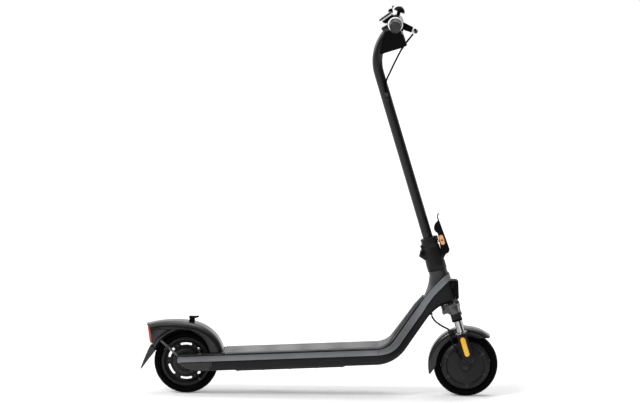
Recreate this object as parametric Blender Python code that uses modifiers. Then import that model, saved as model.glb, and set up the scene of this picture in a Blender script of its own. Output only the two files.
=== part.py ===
"""Electric kick scooter with a sprung fork, a hub motor and a folding stem.

The scooter stands on its tyres, faces +X, and its right side faces -Y. Sizes are in metres.
The front end is modelled in the steering frame: X is ahead of the steering axis, Z is along it,
and the origin is the front axle.
"""
import math

import bmesh
import bpy
from mathutils import Matrix, Vector

# Clearances
FIT_GAP = 0.0003
RUN_GAP = 0.0006

# Wheels and their places
WHEELBASE = 0.8855
TYRE_RADIUS = 0.102
TYRE_WIDTH = 0.050
TREAD_FLAT = 0.026
RIM_RADIUS = 0.078
RIM_WALL = 0.008
WHEEL_FACETS = 40
MUD_FLAP_REACH = 0.145
AXLE_HEIGHT = TYRE_RADIUS * math.cos(math.pi / WHEEL_FACETS)
OVERALL_LENGTH = MUD_FLAP_REACH + WHEELBASE + AXLE_HEIGHT
REAR_X = MUD_FLAP_REACH - OVERALL_LENGTH / 2
FRONT_X = REAR_X + WHEELBASE

# Chassis beam: deck, bend and downtube
DECK_PITCH = math.radians(2.7)
BELLY_HEIGHT = 0.0755          # height of the deck's underside line above the rear contact point
BEAM_DEPTH = 0.0535
DECK_HALF_WIDTH = 0.073
NECK_HALF_WIDTH = 0.032
BEND_RADIUS = 0.119
DOWNTUBE_ANGLE = math.radians(54.8)
DOWNTUBE_END_AHEAD = -0.06772   # where the downtube's underside ends, in the steering frame
DOWNTUBE_END_UP = 0.18084
BELLY_CORNER = 0.014
TOP_CORNER = 0.004
ARM_TIP_REACH = 0.0215          # how far the rear arms end behind the rear axle
ARM_TIP_RISE = 0.040
ARM_TIP_TAPER = 0.075
ARM_TIP_CROWN = 0.008
WHEEL_SLOT_HALF_WIDTH = 0.042
WHEEL_SLOT_FRONT = 0.116

# Steering axis and head tube
STEER_ANGLE = math.radians(17.0)
HEAD_BOTTOM = 0.2015
HEAD_TOP = 0.3140
HEAD_RADIUS = 0.029
STEERER_RADIUS = 0.014
HEAD_BORE_RADIUS = 0.0165
BEARING_RADIUS = 0.0205
BEARING_HEIGHT = 0.0085

# The bend rounds off the corner between the deck's underside and the downtube's
END_AHEAD_OF_REAR = (FRONT_X - REAR_X + DOWNTUBE_END_AHEAD * math.cos(STEER_ANGLE)
                     - DOWNTUBE_END_UP * math.sin(STEER_ANGLE))
END_OVER_BELLY = (AXLE_HEIGHT - BELLY_HEIGHT + DOWNTUBE_END_AHEAD * math.sin(STEER_ANGLE)
                  + DOWNTUBE_END_UP * math.cos(STEER_ANGLE))
BEND_SWEEP = DOWNTUBE_ANGLE - DECK_PITCH
BEND_TANGENT = BEND_RADIUS * math.tan(BEND_SWEEP / 2)
END_ALONG_DECK = END_AHEAD_OF_REAR * math.cos(DECK_PITCH) + END_OVER_BELLY * math.sin(DECK_PITCH)
END_OVER_DECK = END_OVER_BELLY * math.cos(DECK_PITCH) - END_AHEAD_OF_REAR * math.sin(DECK_PITCH)
CORNER_TO_END = END_OVER_DECK / math.sin(BEND_SWEEP)
DECK_RUN = END_ALONG_DECK - CORNER_TO_END * math.cos(BEND_SWEEP) - BEND_TANGENT
DOWNTUBE_RUN = CORNER_TO_END - BEND_TANGENT

# Deck fittings
MAT_THICKNESS = 0.003
MAT_SIDE_MARGIN = 0.005
MAT_REAR = 0.129
MAT_TOP_SHARE = 0.55           # how far the mat runs from the downtube's end towards the neck
TRIM_THICKNESS = 0.0032
TRIM_WIDTH_DECK = 0.0175
TRIM_WIDTH_NECK = 0.0215
TRIM_INSET_DECK = 0.004
TRIM_INSET_TUBE = 0.008
TRIM_INSET_NECK = 0.003
BAY_REAR = 0.168
BAY_TO_BEND = 0.110
BAY_FRONT = DECK_RUN - BAY_TO_BEND
BAY_HALF_WIDTH = 0.052
BAY_DEPTH = 0.044
COVER_OVERLAP = 0.009
COVER_HALF_WIDTH = 0.0575
COVER_THICKNESS = 0.003
BATTERY_END_GAP = 0.004
BATTERY_TO_CONTROLLER = 0.006
CONTROLLER_LENGTH = 0.085
CONTROLLER_END_GAP = 0.008
BATTERY_LENGTH = (BAY_FRONT - BAY_REAR - BATTERY_END_GAP - BATTERY_TO_CONTROLLER - CONTROLLER_LENGTH
                  - CONTROLLER_END_GAP)
BATTERY_HALF_WIDTH = 0.048
BATTERY_DEPTH = 0.040
CONTROLLER_HALF_WIDTH = 0.040
CONTROLLER_DEPTH = 0.030
PORT_TO_BEND = 0.071
PORT_U = DECK_RUN - PORT_TO_BEND
PORT_H = 0.014
PORT_RADIUS = 0.006
PORT_DEPTH = 0.012
CAP_LENGTH = 0.024
CAP_HEIGHT = 0.016
CAP_THICKNESS = 0.003

# Headlight
LAMP_HALF_WIDTH = 0.024
LAMP_TOP = 0.2713
LAMP_BOTTOM = 0.2055
LAMP_TOP_REACH = 0.0505
LAMP_BOTTOM_REACH = 0.0355
LAMP_LENS_THICKNESS = 0.003
LAMP_LENS_MARGIN = 0.004

# Rear end
REAR_AXLE_RADIUS = 0.006
REAR_AXLE_HALF_LENGTH = 0.060
HUB_HALF_WIDTH = 0.029
DRUM_RADIUS = 0.044
DRUM_WALL = 0.006
WEB_HALF_WIDTH = 0.004
WINDOW_COUNT = 6
WINDOW_INNER = 0.050
WINDOW_OUTER = 0.060
WINDOW_SWEEP = math.radians(40)
FENDER_WALL = 0.003
REAR_FENDER_RADIUS = 0.127
REAR_FENDER_HALF_WIDTH = 0.046
REAR_TAIL_HALF_WIDTH = 0.038
STAY_WIDTH = 0.007
STAY_THICKNESS = 0.003
STAY_OFFSET = 0.038
STAY_EYE_RADIUS = 0.012
FLAP_HALF_WIDTH = 0.030
HOOK_HALF_WIDTH = 0.008

# Fork
LEG_OFFSET = 0.058
FORK_LEAD = 0.016
CROWN_TOP = 0.2009
CROWN_DEPTH = 0.025
CROWN_BRIDGE_TOP = 0.188
CROWN_BOSS_RADIUS = 0.023
SLEEVE_RADIUS = 0.0165
SLEEVE_BOTTOM = 0.147
STANCHION_RADIUS = 0.0120
STANCHION_BORE = 0.0088
STANCHION_TOP = 0.188
STANCHION_BOTTOM = 0.045
LEG_RADIUS = 0.0155
LEG_TOP = 0.1035
SEAL_RADIUS = 0.0195
SEAL_HEIGHT = 0.007
LEG_BOTTOM = 0.0128
LEG_BORE_BOTTOM = 0.019
DROPOUT_RADIUS = 0.020
DROPOUT_INNER = 0.048
DROPOUT_OUTER = 0.062
FRONT_AXLE_RADIUS = 0.008
REFLECTOR_WIDTH = 0.017
REFLECTOR_LENGTH = 0.066
REFLECTOR_CENTRE = 0.061
REFLECTOR_THICKNESS = 0.003
CARRIER_DEPTH = 0.004
SPRING_RADIUS = 0.0074
SPRING_BORE = 0.005
FRONT_FENDER_RADIUS = 0.119
FRONT_FENDER_HALF_WIDTH = 0.034
FRONT_FENDER_SKIRT = 0.093
MOTOR_HALF_WIDTH = 0.022
MOTOR_COVER_RADIUS = 0.0767
MOTOR_COVER_REACH = 0.034
STATOR_RADIUS = 0.064
STATOR_HALF_WIDTH = 0.018
MOTOR_CABLE_RADIUS = 0.0022

# Folding joint
BASE_BOTTOM = 0.3145
BASE_TOP = 0.3912
BASE_RADIUS = 0.0305
BASE_TOP_RADIUS = 0.0275
STEERER_TOP = 0.336
HINGE_AHEAD = -0.030
HINGE_UP = 0.3775
HINGE_EAR_RADIUS = 0.009
HINGE_LUG_HALF_WIDTH = 0.0115
HINGE_EAR_OUTER = 0.021
HINGE_PIN_RADIUS = 0.004
COLLAR_TOP = 0.4195
COLLAR_RADIUS = 0.026
LATCH_PIVOT_AHEAD = 0.0355
LATCH_PIVOT_UP = 0.3625
LATCH_HALF_WIDTH = 0.015
LATCH_WALL = 0.004
LATCH_PIN_RADIUS = 0.003
BUTTON_WIDTH = 0.014
BUTTON_LENGTH = 0.032
BUTTON_UP = 0.4020
BUTTON_AHEAD = 0.0405
BUTTON_PROUD = 0.003

# Stem, bar and controls
BAR_AHEAD = 0.0945
BAR_UP = 1.0965
STEM_RADIUS = 0.016
STEM_BEND_RISE = 0.1365         # from the end of the straight stem up to the bar
STEM_STRAIGHT_TOP = BAR_UP - STEM_BEND_RISE
STEM_BEND_RADIUS = 0.135
STEM_BEND_SWEEP = math.radians(72)
PORT_BELOW_BEND = 0.064
PORT_ON_STEM = STEM_STRAIGHT_TOP - PORT_BELOW_BEND
CABLE_PORT_TURN = math.radians(80)    # from the stem's front towards its right
CABLE_PORT_HALF_WIDTH = 0.0045
CABLE_PORT_LENGTH = 0.014
CABLE_PORT_PROUD = 0.0075
BAR_RADIUS = 0.0111
BAR_WALL = 0.002
BAR_HALF_LENGTH = 0.235
GRIP_LENGTH = 0.122
GRIP_RADIUS = 0.017
GRIP_END_RADIUS = 0.0185
GRIP_FLANGE_RADIUS = 0.0235
GRIP_CAP = 0.005
GRIP_START = BAR_HALF_LENGTH - GRIP_LENGTH
HEAD_COVER_HALF_WIDTH = 0.021
DASH_BACK = 0.0235              # the display's middle behind the bar, and above it
DASH_RISE = 0.031
DASH_AHEAD = BAR_AHEAD - DASH_BACK
DASH_UP = BAR_UP + DASH_RISE
DASH_TILT = math.radians(-18.4)
DASH_HALF_LENGTH = 0.0205
DASH_HALF_WIDTH = 0.037
DASH_DEPTH = 0.013
DASH_LENS_THICKNESS = 0.002
POWER_BUTTON_RADIUS = 0.005
THROTTLE_WIDTH = 0.023
THROTTLE_INNER = GRIP_START - THROTTLE_WIDTH
THROTTLE_RING_WIDTH = 0.009
THROTTLE_REACH = 0.046
LEVER_PITCH = math.radians(46)
PERCH_WIDTH = 0.024
PERCH_TO_GRIP = 0.003
PERCH_INNER = GRIP_START - PERCH_TO_GRIP - PERCH_WIDTH
LEVER_PIVOT_REACH = 0.036
LEVER_TIP_INSET = 0.009
LEVER_TIP = BAR_HALF_LENGTH - LEVER_TIP_INSET
ADJUSTER_INSET = 0.0045
ADJUSTER_SIDE = PERCH_INNER + ADJUSTER_INSET
ADJUSTER_REACH = 0.0590
LEVER_BLADE_REACH = 0.072
BRAKE_CABLE_RADIUS = 0.0025
BELL_TO_PERCH = 0.026
BELL_OFFSET = PERCH_INNER - BELL_TO_PERCH
BELL_RADIUS = 0.0165
BELL_LEAD = 0.019               # the dome's foot ahead of the bar, and above it
BELL_RISE = 0.0285
BELL_AHEAD = BAR_AHEAD + BELL_LEAD
BELL_UP = BAR_UP + BELL_RISE
BELL_TILT = math.radians(45)
STRIKER_HINGE_BACK = 0.0155
STRIKER_HINGE_UP = 0.0135
STRIKER_PIN = 0.0015

# Kickstand
STAND_U = 0.300
STAND_LUG_INSET = 0.015
STAND_LUG_INNER = DECK_HALF_WIDTH - STAND_LUG_INSET
STAND_LUG_WIDTH = 0.008
STAND_RADIUS = 0.009
STAND_DROP = 0.0102
STAND_LENGTH = 0.072
STAND_LEG_RADIUS = 0.005

NUMBER_OF_ARC_STEPS = 4

parts = bpy.data.collections.new("electric_scooter")
cutters = bpy.data.collections.new("cutters")


def clear_scene():
    """Remove what the scene holds and add the two collections."""
    for thing in list(bpy.data.objects):
        bpy.data.objects.remove(thing, do_unlink=True)
    bpy.context.scene.collection.children.link(parts)
    bpy.context.scene.collection.children.link(cutters)


def material(name, colour, roughness, metallic=0.0):
    """One plain surface finish."""
    finish = bpy.data.materials.new(name)
    finish.use_nodes = True
    finish.diffuse_color = (*colour, 1.0)
    shader = finish.node_tree.nodes["Principled BSDF"]
    shader.inputs["Base Color"].default_value = (*colour, 1.0)
    shader.inputs["Roughness"].default_value = roughness
    shader.inputs["Metallic"].default_value = metallic
    return finish


def make_materials():
    """The finishes that the pieces share."""
    return {
        "frame_paint": material("frame_paint", (0.035, 0.035, 0.037), 0.45, 0.3),
        "trim_silver": material("trim_silver", (0.19, 0.20, 0.22), 0.35, 0.8),
        "black_plastic": material("black_plastic", (0.012, 0.012, 0.012), 0.55),
        "grey_plastic": material("grey_plastic", (0.05, 0.05, 0.052), 0.5),
        "mat_rubber": material("mat_rubber", (0.09, 0.09, 0.092), 0.85),
        "tyre_rubber": material("tyre_rubber", (0.01, 0.01, 0.01), 0.8),
        "grip_rubber": material("grip_rubber", (0.045, 0.045, 0.045), 0.8),
        "chrome": material("chrome", (0.75, 0.75, 0.77), 0.12, 1.0),
        "steel": material("steel", (0.45, 0.45, 0.46), 0.35, 1.0),
        "amber": material("amber", (0.91, 0.48, 0.01), 0.3),
        "orange": material("orange", (0.90, 0.30, 0.05), 0.4),
        "red_lens": material("red_lens", (0.58, 0.03, 0.02), 0.25),
        "clear_lens": material("clear_lens", (0.5, 0.5, 0.52), 0.1),
        "display_glass": material("display_glass", (0.006, 0.006, 0.007), 0.08),
        "battery_wrap": material("battery_wrap", (0.02, 0.06, 0.12), 0.6),
    }


def new_pivot(name, parent, at, turn=(0.0, 0.0, 0.0)):
    """An empty on a joint's axis. Its pieces are modelled in the frame of the parent."""
    empty = bpy.data.objects.new(name, None)
    empty.empty_display_size = 0.02
    parts.objects.link(empty)
    if parent is not None:
        empty.parent = parent["empty"]
    origin = Vector(at)
    shift = parent["origin"] if parent is not None and parent["same_axes"] else Vector((0, 0, 0))
    empty.location = origin - shift
    empty.rotation_euler = turn
    return {"empty": empty, "origin": origin, "same_axes": not any(turn)}


def attach(thing, pivot):
    """Hang a piece on a pivot without moving it in its assembly frame."""
    thing.parent = pivot["empty"]
    if pivot["same_axes"]:
        thing.location = thing.location - pivot["origin"]
    return thing


def add_mesh(name, work, finish, pivot=None, smooth=True):
    """Turn a bmesh into a named piece."""
    bmesh.ops.recalc_face_normals(work, faces=work.faces)
    mesh = bpy.data.meshes.new(name)
    work.to_mesh(mesh)
    work.free()
    if smooth:
        mesh.shade_smooth()
        mesh.set_sharp_from_angle(angle=math.radians(35))
    thing = bpy.data.objects.new(name, mesh)
    parts.objects.link(thing)
    if finish is not None:
        mesh.materials.append(finish)
    if pivot is not None:
        attach(thing, pivot)
    return thing


def box(name, low, high, finish=None, pivot=None, rounding=0.0):
    """A block between two corners, with rounded edges where asked."""
    low, high = Vector(low), Vector(high)
    work = bmesh.new()
    size = high - low
    place = Matrix.Translation((low + high) / 2) @ Matrix.Diagonal((*size, 1.0))
    bmesh.ops.create_cube(work, size=1.0, matrix=place)
    thing = add_mesh(name, work, finish, pivot, smooth=False)
    if rounding:
        bevel = thing.modifiers.new("rounding", "BEVEL")
        bevel.width = rounding
        bevel.segments = 2
    return thing


def rod(name, start, end, radius, finish=None, pivot=None, sides=20):
    """A round bar between two points."""
    start, end = Vector(start), Vector(end)
    along = end - start
    turn = along.to_track_quat("Z", "Y").to_matrix().to_4x4()
    work = bmesh.new()
    bmesh.ops.create_cone(
        work, cap_ends=True, segments=sides, radius1=radius, radius2=radius, depth=along.length,
        matrix=Matrix.Translation((start + end) / 2) @ turn)
    return add_mesh(name, work, finish, pivot)


def turned(name, profile, finish=None, pivot=None, at=(0, 0, 0), axis="Y", steps=24, tilt=0.0, spin=0.0,
           closed=False):
    """A turned piece. The profile of (radius, height) runs down its outer side.

    axis Y lays the piece across the scooter, turned by spin; axis Z keeps it upright, leaned by tilt.
    """
    work = bmesh.new()
    corners = [work.verts.new((radius, 0.0, height)) for radius, height in profile]
    pairs = list(zip(corners, corners[1:]))
    if closed:
        pairs.append((corners[-1], corners[0]))
    for first, second in pairs:
        work.edges.new((first, second))
    mesh = bpy.data.meshes.new(name)
    work.to_mesh(mesh)
    work.free()
    thing = bpy.data.objects.new(name, mesh)
    parts.objects.link(thing)
    if finish is not None:
        mesh.materials.append(finish)
    screw = thing.modifiers.new("turn", "SCREW")
    screw.axis = "Z"
    screw.steps = steps
    screw.render_steps = steps
    screw.use_merge_vertices = True
    screw.merge_threshold = 0.00001
    screw.use_smooth_shade = True
    thing.location = at
    if axis == "Y":
        thing.rotation_euler = (math.radians(-90), math.pi / steps + spin, 0.0)
    else:
        thing.rotation_euler = (0.0, tilt, 0.0)
    if pivot is not None:
        attach(thing, pivot)
    return thing


def curve_to_mesh(thing, finish):
    """Replace a curve by its mesh, with the end caps welded on."""
    bpy.context.view_layer.update()
    seen = thing.evaluated_get(bpy.context.evaluated_depsgraph_get())
    mesh = bpy.data.meshes.new_from_object(seen)
    work = bmesh.new()
    work.from_mesh(mesh)
    bmesh.ops.remove_doubles(work, verts=work.verts, dist=0.00001)
    bmesh.ops.recalc_face_normals(work, faces=work.faces)
    work.to_mesh(mesh)
    work.free()
    mesh.shade_smooth()
    mesh.set_sharp_from_angle(angle=math.radians(35))
    name = thing.name
    place = thing.matrix_world.copy()
    bpy.data.objects.remove(thing, do_unlink=True)
    solid = bpy.data.objects.new(name, mesh)
    parts.objects.link(solid)
    solid.matrix_world = place
    mesh.materials.clear()
    if finish is not None:
        mesh.materials.append(finish)
    return solid


def plate(name, outline, low, high, finish=None, pivot=None, plane="XZ"):
    """A flat outline given a thickness: across the scooter for XZ, along Z for XY."""
    data = bpy.data.curves.new(name, "CURVE")
    data.dimensions = "2D"
    data.fill_mode = "BOTH"
    data.extrude = (high - low) / 2
    line = data.splines.new("POLY")
    line.points.add(len(outline) - 1)
    for point, (first, second) in zip(line.points, outline):
        point.co = (first, second, 0.0, 1.0)
    line.use_cyclic_u = True
    thing = bpy.data.objects.new(name, data)
    parts.objects.link(thing)
    if plane == "XZ":
        thing.rotation_euler = (math.radians(90), 0.0, 0.0)
        thing.location = (0.0, (low + high) / 2, 0.0)
    else:
        thing.location = (0.0, 0.0, (low + high) / 2)
    solid = curve_to_mesh(thing, finish)
    if pivot is not None:
        attach(solid, pivot)
    return solid


def tube(name, points, radius, finish=None, pivot=None, fineness=3):
    """A round tube or cord along a list of points."""
    data = bpy.data.curves.new(name, "CURVE")
    data.dimensions = "3D"
    data.bevel_depth = radius
    data.bevel_resolution = fineness
    data.use_fill_caps = True
    line = data.splines.new("POLY")
    line.points.add(len(points) - 1)
    for point, place in zip(line.points, points):
        point.co = (*place, 1.0)
    thing = bpy.data.objects.new(name, data)
    parts.objects.link(thing)
    solid = curve_to_mesh(thing, finish)
    if pivot is not None:
        attach(solid, pivot)
    return solid


def smooth_route(corners, steps):
    """Points on one smooth curve through the corners of a cord's route."""
    corners = [Vector(corner) for corner in corners]
    padded = [corners[0] * 2 - corners[1]] + corners + [corners[-1] * 2 - corners[-2]]
    route = []
    for before, start, end, after in zip(padded, padded[1:], padded[2:], padded[3:]):
        for step in range(steps):
            t = step / steps
            route.append(0.5 * (
                start * 2 + (end - before) * t
                + (before * 2 - start * 5 + end * 4 - after) * t ** 2
                + (start * 3 - before - end * 3 + after) * t ** 3))
    route.append(corners[-1])
    return route


def loft(name, rings, finish=None, pivot=None):
    """A closed skin over a row of rings that have the same number of points."""
    work = bmesh.new()
    rows = [[work.verts.new(point) for point in ring] for ring in rings]
    count = len(rows[0])
    for first, second in zip(rows, rows[1:]):
        for index in range(count):
            after = (index + 1) % count
            work.faces.new((first[index], first[after], second[after], second[index]))
    work.faces.new(rows[0])
    work.faces.new(reversed(rows[-1]))
    return add_mesh(name, work, finish, pivot)


def boolean(thing, tool, operation):
    """Cut a tool out of a piece, or join it on, and put the tool away."""
    change = thing.modifiers.new(tool.name, "BOOLEAN")
    change.operation = operation
    change.solver = "EXACT"
    change.object = tool
    if tool.name in parts.objects:
        parts.objects.unlink(tool)
        cutters.objects.link(tool)
    tool.hide_render = True
    tool.display_type = "WIRE"


def cut(thing, *tools):
    """Cut each tool out of a piece."""
    for tool in tools:
        boolean(thing, tool, "DIFFERENCE")


def join(thing, *tools):
    """Join each tool onto a piece."""
    for tool in tools:
        boolean(thing, tool, "UNION")


def polar(radius, degrees):
    """A point on a circle, from an angle above the forward horizontal."""
    angle = math.radians(degrees)
    return (radius * math.cos(angle), radius * math.sin(angle))


def arc(centre, radius, start, end, steps):
    """Points along an arc, with its angles in degrees."""
    points = []
    for step in range(steps + 1):
        across, up = polar(radius, start + (end - start) * step / steps)
        points.append((centre[0] + across, centre[1] + up))
    return points


def rounded_section(half_width, low, high, low_corner, high_corner):
    """A section (across, up) with round corners, as one ring of points."""
    room = min(half_width, (high - low) / 2) * 0.9
    low_corner = min(low_corner, room)
    high_corner = min(high_corner, room)
    across_low, across_high = half_width - low_corner, half_width - high_corner
    steps = NUMBER_OF_ARC_STEPS
    ring = arc((across_low, low + low_corner), low_corner, -90, 0, steps)
    ring += arc((across_high, high - high_corner), high_corner, 0, 90, steps)
    ring += arc((-across_high, high - high_corner), high_corner, 90, 180, steps)
    ring += arc((-across_low, low + low_corner), low_corner, 180, 270, steps)
    return ring


def channel_section(half_width, depth, wall, corner):
    """A U-shaped section (across, up), open below, as one ring of points."""
    corner = min(corner, depth * 0.9, half_width * 0.9)
    inner_corner = max(corner - wall, corner * 0.3)
    steps = NUMBER_OF_ARC_STEPS - 1
    outer_width, inner_width = half_width, half_width - wall
    ring = [(outer_width, 0.0)]
    ring += arc((outer_width - corner, depth - corner), corner, 0, 90, steps)
    ring += arc((corner - outer_width, depth - corner), corner, 90, 180, steps)
    ring += [(-outer_width, 0.0), (-inner_width, 0.0)]
    ring += arc((inner_corner - inner_width, depth - wall - inner_corner), inner_corner, 180, 90, steps)
    ring += arc((inner_width - inner_corner, depth - wall - inner_corner), inner_corner, 90, 0, steps)
    ring += [(inner_width, 0.0)]
    return ring


def channel_ring(edge, crown, half_width, wall, corner):
    """A U-shaped ring that stands between its edge point and its crown point (x, z)."""
    edge, crown = Vector((edge[0], 0.0, edge[1])), Vector((crown[0], 0.0, crown[1]))
    up = crown - edge
    depth = up.length
    up.normalize()
    ring = []
    for across, height in channel_section(half_width, depth, wall, corner):
        ring.append(edge + up * height + Vector((0.0, across, 0.0)))
    return ring


def blend(first, second, share):
    """A value between two values, eased at both ends."""
    share = min(max(share, 0.0), 1.0)
    eased = share * share * (3 - 2 * share)
    return first + (second - first) * eased


def steer_to_world(ahead, up):
    """A point of the steering frame as world x and z."""
    x = FRONT_X + ahead * math.cos(STEER_ANGLE) - up * math.sin(STEER_ANGLE)
    z = AXLE_HEIGHT + ahead * math.sin(STEER_ANGLE) + up * math.cos(STEER_ANGLE)
    return x, z


def beam_station(low, high, half_width, inset, band):
    """One cross-section of the chassis beam, between its underside and its top point (x, z)."""
    low, high = Vector((low[0], 0.0, low[1])), Vector((high[0], 0.0, high[1]))
    up = (high - low).normalized()
    return {"low": low, "up": up, "depth": (high - low).length,
            "half_width": half_width, "inset": inset, "band": band}


def deck_point(along, up):
    """A point of the deck's own frame as world x and z. It starts below the rear axle."""
    x = REAR_X + along * math.cos(DECK_PITCH) - up * math.sin(DECK_PITCH)
    z = BELLY_HEIGHT + along * math.sin(DECK_PITCH) + up * math.cos(DECK_PITCH)
    return x, z


def arm_tip_stations():
    """The rounded rear ends of the two arms, from the tip forwards."""
    stations = []
    for share in (0.0, 0.04, 0.12, 0.28, 0.5, 0.75, 1.0):
        back = ARM_TIP_TAPER * share
        low = ARM_TIP_RISE * (1 - math.sqrt(1 - (1 - share) ** 2))
        crown_share = min(back / ARM_TIP_CROWN, 1.0)
        drop = (BEAM_DEPTH - ARM_TIP_RISE) * 0.9 * (1 - math.sqrt(1 - (1 - crown_share) ** 2))
        along = back - ARM_TIP_REACH
        stations.append(beam_station(
            deck_point(along, low), deck_point(along, BEAM_DEPTH - drop),
            DECK_HALF_WIDTH, TRIM_INSET_DECK, TRIM_WIDTH_DECK))
    return stations


def tube_width(share):
    """Half width of the beam, from the deck (0) to the neck (1)."""
    return blend(DECK_HALF_WIDTH, NECK_HALF_WIDTH, share)


def bend_stations():
    """The bend between deck and downtube, then the downtube."""
    stations = []
    arc_length = BEND_RADIUS * BEND_SWEEP
    total = arc_length + DOWNTUBE_RUN
    start_x, start_z = deck_point(DECK_RUN, 0.0)
    centre_x = start_x - BEND_RADIUS * math.sin(DECK_PITCH)
    centre_z = start_z + BEND_RADIUS * math.cos(DECK_PITCH)
    inner = BEND_RADIUS - BEAM_DEPTH
    steps = 8
    for step in range(steps + 1):
        angle = DECK_PITCH + BEND_SWEEP * step / steps
        outward = Vector((math.sin(angle), -math.cos(angle)))
        low = Vector((centre_x, centre_z)) + outward * BEND_RADIUS
        high = Vector((centre_x, centre_z)) + outward * inner
        share = arc_length * step / steps / total
        stations.append(beam_station(
            low, high, tube_width(share),
            blend(TRIM_INSET_DECK, TRIM_INSET_TUBE, step / steps),
            blend(TRIM_WIDTH_DECK, TRIM_WIDTH_NECK, step / steps)))
    forward = Vector((math.cos(DOWNTUBE_ANGLE), math.sin(DOWNTUBE_ANGLE)))
    for step in range(1, 4):
        run = DOWNTUBE_RUN * step / 3
        stations.append(beam_station(
            low + forward * run, high + forward * run, tube_width((arc_length + run) / total),
            TRIM_INSET_TUBE, TRIM_WIDTH_NECK))
    return stations


# Neck sections: underside and top as (ahead, up) of the steering frame, and the half width
NECK_SECTIONS = (
    ((-0.049, HEAD_BOTTOM - 0.010), (-0.067, 0.2435), NECK_HALF_WIDTH),
    ((-0.022, HEAD_BOTTOM), (-0.043, 0.2615), NECK_HALF_WIDTH),
    ((0.005, HEAD_BOTTOM), (-0.015, 0.2775), NECK_HALF_WIDTH),
    ((0.020, HEAD_BOTTOM), (0.017, 0.2935), NECK_HALF_WIDTH - 0.003),
    ((HEAD_RADIUS, HEAD_BOTTOM + 0.002), (HEAD_RADIUS, 0.2965), NECK_HALF_WIDTH - 0.013),
)


def neck_stations():
    """The front of the beam, where it closes round the head tube."""
    stations = []
    for low, high, half_width in NECK_SECTIONS:
        stations.append(beam_station(
            steer_to_world(*low), steer_to_world(*high), half_width,
            TRIM_INSET_NECK, TRIM_WIDTH_NECK))
    return stations


def section_ring(station, half_width, low, high, low_corner, high_corner):
    """A rounded ring in the plane of a beam station."""
    ring = []
    for across, height in rounded_section(half_width, low, high, low_corner, high_corner):
        ring.append(station["low"] + station["up"] * height + Vector((0.0, across, 0.0)))
    return ring


def deck_box(name, along, across, up, finish=None, pivot=None, rounding=0.0):
    """A block in the deck's own frame, which is pitched up towards the front."""
    thing = box(name, (along[0], across[0], up[0]), (along[1], across[1], up[1]), finish, None, rounding)
    thing.location = (REAR_X, 0.0, BELLY_HEIGHT)
    thing.rotation_euler = (0.0, -DECK_PITCH, 0.0)
    if pivot is not None:
        attach(thing, pivot)
    return thing


def make_chassis(finishes, frame, steer):
    """The beam with its battery bay, wheel slot, head tube and small sockets."""
    stations = arm_tip_stations() + bend_stations() + neck_stations()
    rings = [section_ring(s, s["half_width"], 0.0, s["depth"], BELLY_CORNER, TOP_CORNER)
             for s in stations]
    chassis = loft("chassis", rings, finishes["frame_paint"], frame)
    head_sections = (
        (HEAD_TOP, -HEAD_RADIUS, HEAD_RADIUS, HEAD_RADIUS),
        (0.298, -0.032, HEAD_RADIUS, HEAD_RADIUS),
        (0.278, -0.041, HEAD_RADIUS - 0.001, 0.030),
        (0.264, -0.050, HEAD_RADIUS - 0.002, 0.030),
        (0.252, -0.059, HEAD_RADIUS - 0.004, 0.029),
        (0.234, -0.068, HEAD_RADIUS - 0.008, 0.027),
    )
    head_rings = []
    count = 24
    for up, rear, front, half_width in head_sections:
        ring = []
        for index in range(count):
            angle = 2 * math.pi * index / count
            ahead = (front + rear) / 2 + (front - rear) / 2 * math.cos(angle)
            ring.append(Vector((ahead, half_width * math.sin(angle), up)))
        head_rings.append(ring)
    join(chassis, loft("head_tube", head_rings, None, steer))
    lug_outer = STAND_LUG_INNER + STAND_LUG_WIDTH
    join(chassis, deck_box(
        "stand_lug", (STAND_U - STAND_RADIUS, STAND_U + STAND_RADIUS),
        (STAND_LUG_INNER, lug_outer), (-STAND_DROP - 0.008, 0.006)))
    slot_rear = -ARM_TIP_REACH - 0.02
    cut(chassis, deck_box(
        "wheel_slot", (slot_rear, WHEEL_SLOT_FRONT), (-WHEEL_SLOT_HALF_WIDTH, WHEEL_SLOT_HALF_WIDTH),
        (-0.05, 0.10)))
    cut(chassis, deck_box(
        "battery_bay", (BAY_REAR, BAY_FRONT), (-BAY_HALF_WIDTH, BAY_HALF_WIDTH), (-0.02, BAY_DEPTH)))
    bore = rod("head_bore", (0, 0, HEAD_BOTTOM - 0.02), (0, 0, HEAD_TOP + 0.02), HEAD_BORE_RADIUS, None,
               steer)
    seat_radius = BEARING_RADIUS + FIT_GAP
    seat_depth = BEARING_HEIGHT + FIT_GAP
    lower = rod("lower_seat", (0, 0, HEAD_BOTTOM - 0.02), (0, 0, HEAD_BOTTOM + seat_depth), seat_radius,
                None, steer)
    upper = rod("upper_seat", (0, 0, HEAD_TOP - seat_depth), (0, 0, HEAD_TOP + 0.02), seat_radius, None,
                steer)
    cut(chassis, bore, lower, upper)
    hole_radius = REAR_AXLE_RADIUS + FIT_GAP
    hole_end = REAR_AXLE_HALF_LENGTH + FIT_GAP
    cut(chassis, rod("axle_hole", (REAR_X, -hole_end, AXLE_HEIGHT), (REAR_X, hole_end, AXLE_HEIGHT),
                     hole_radius, None, frame))
    port_x, port_z = deck_point(PORT_U, PORT_H)
    cut(chassis, rod("port_hole", (port_x, DECK_HALF_WIDTH - PORT_DEPTH, port_z),
                     (port_x, DECK_HALF_WIDTH + 0.01, port_z), PORT_RADIUS, None, frame))
    return chassis


def between(first, second, share):
    """A beam station part of the way from one station to the next."""
    low = first["low"].lerp(second["low"], share)
    first_top = first["low"] + first["up"] * first["depth"]
    second_top = second["low"] + second["up"] * second["depth"]
    high = first_top.lerp(second_top, share)
    half_width = first["half_width"] + (second["half_width"] - first["half_width"]) * share
    return beam_station((low.x, low.z), (high.x, high.z), half_width, first["inset"], first["band"])


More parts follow.
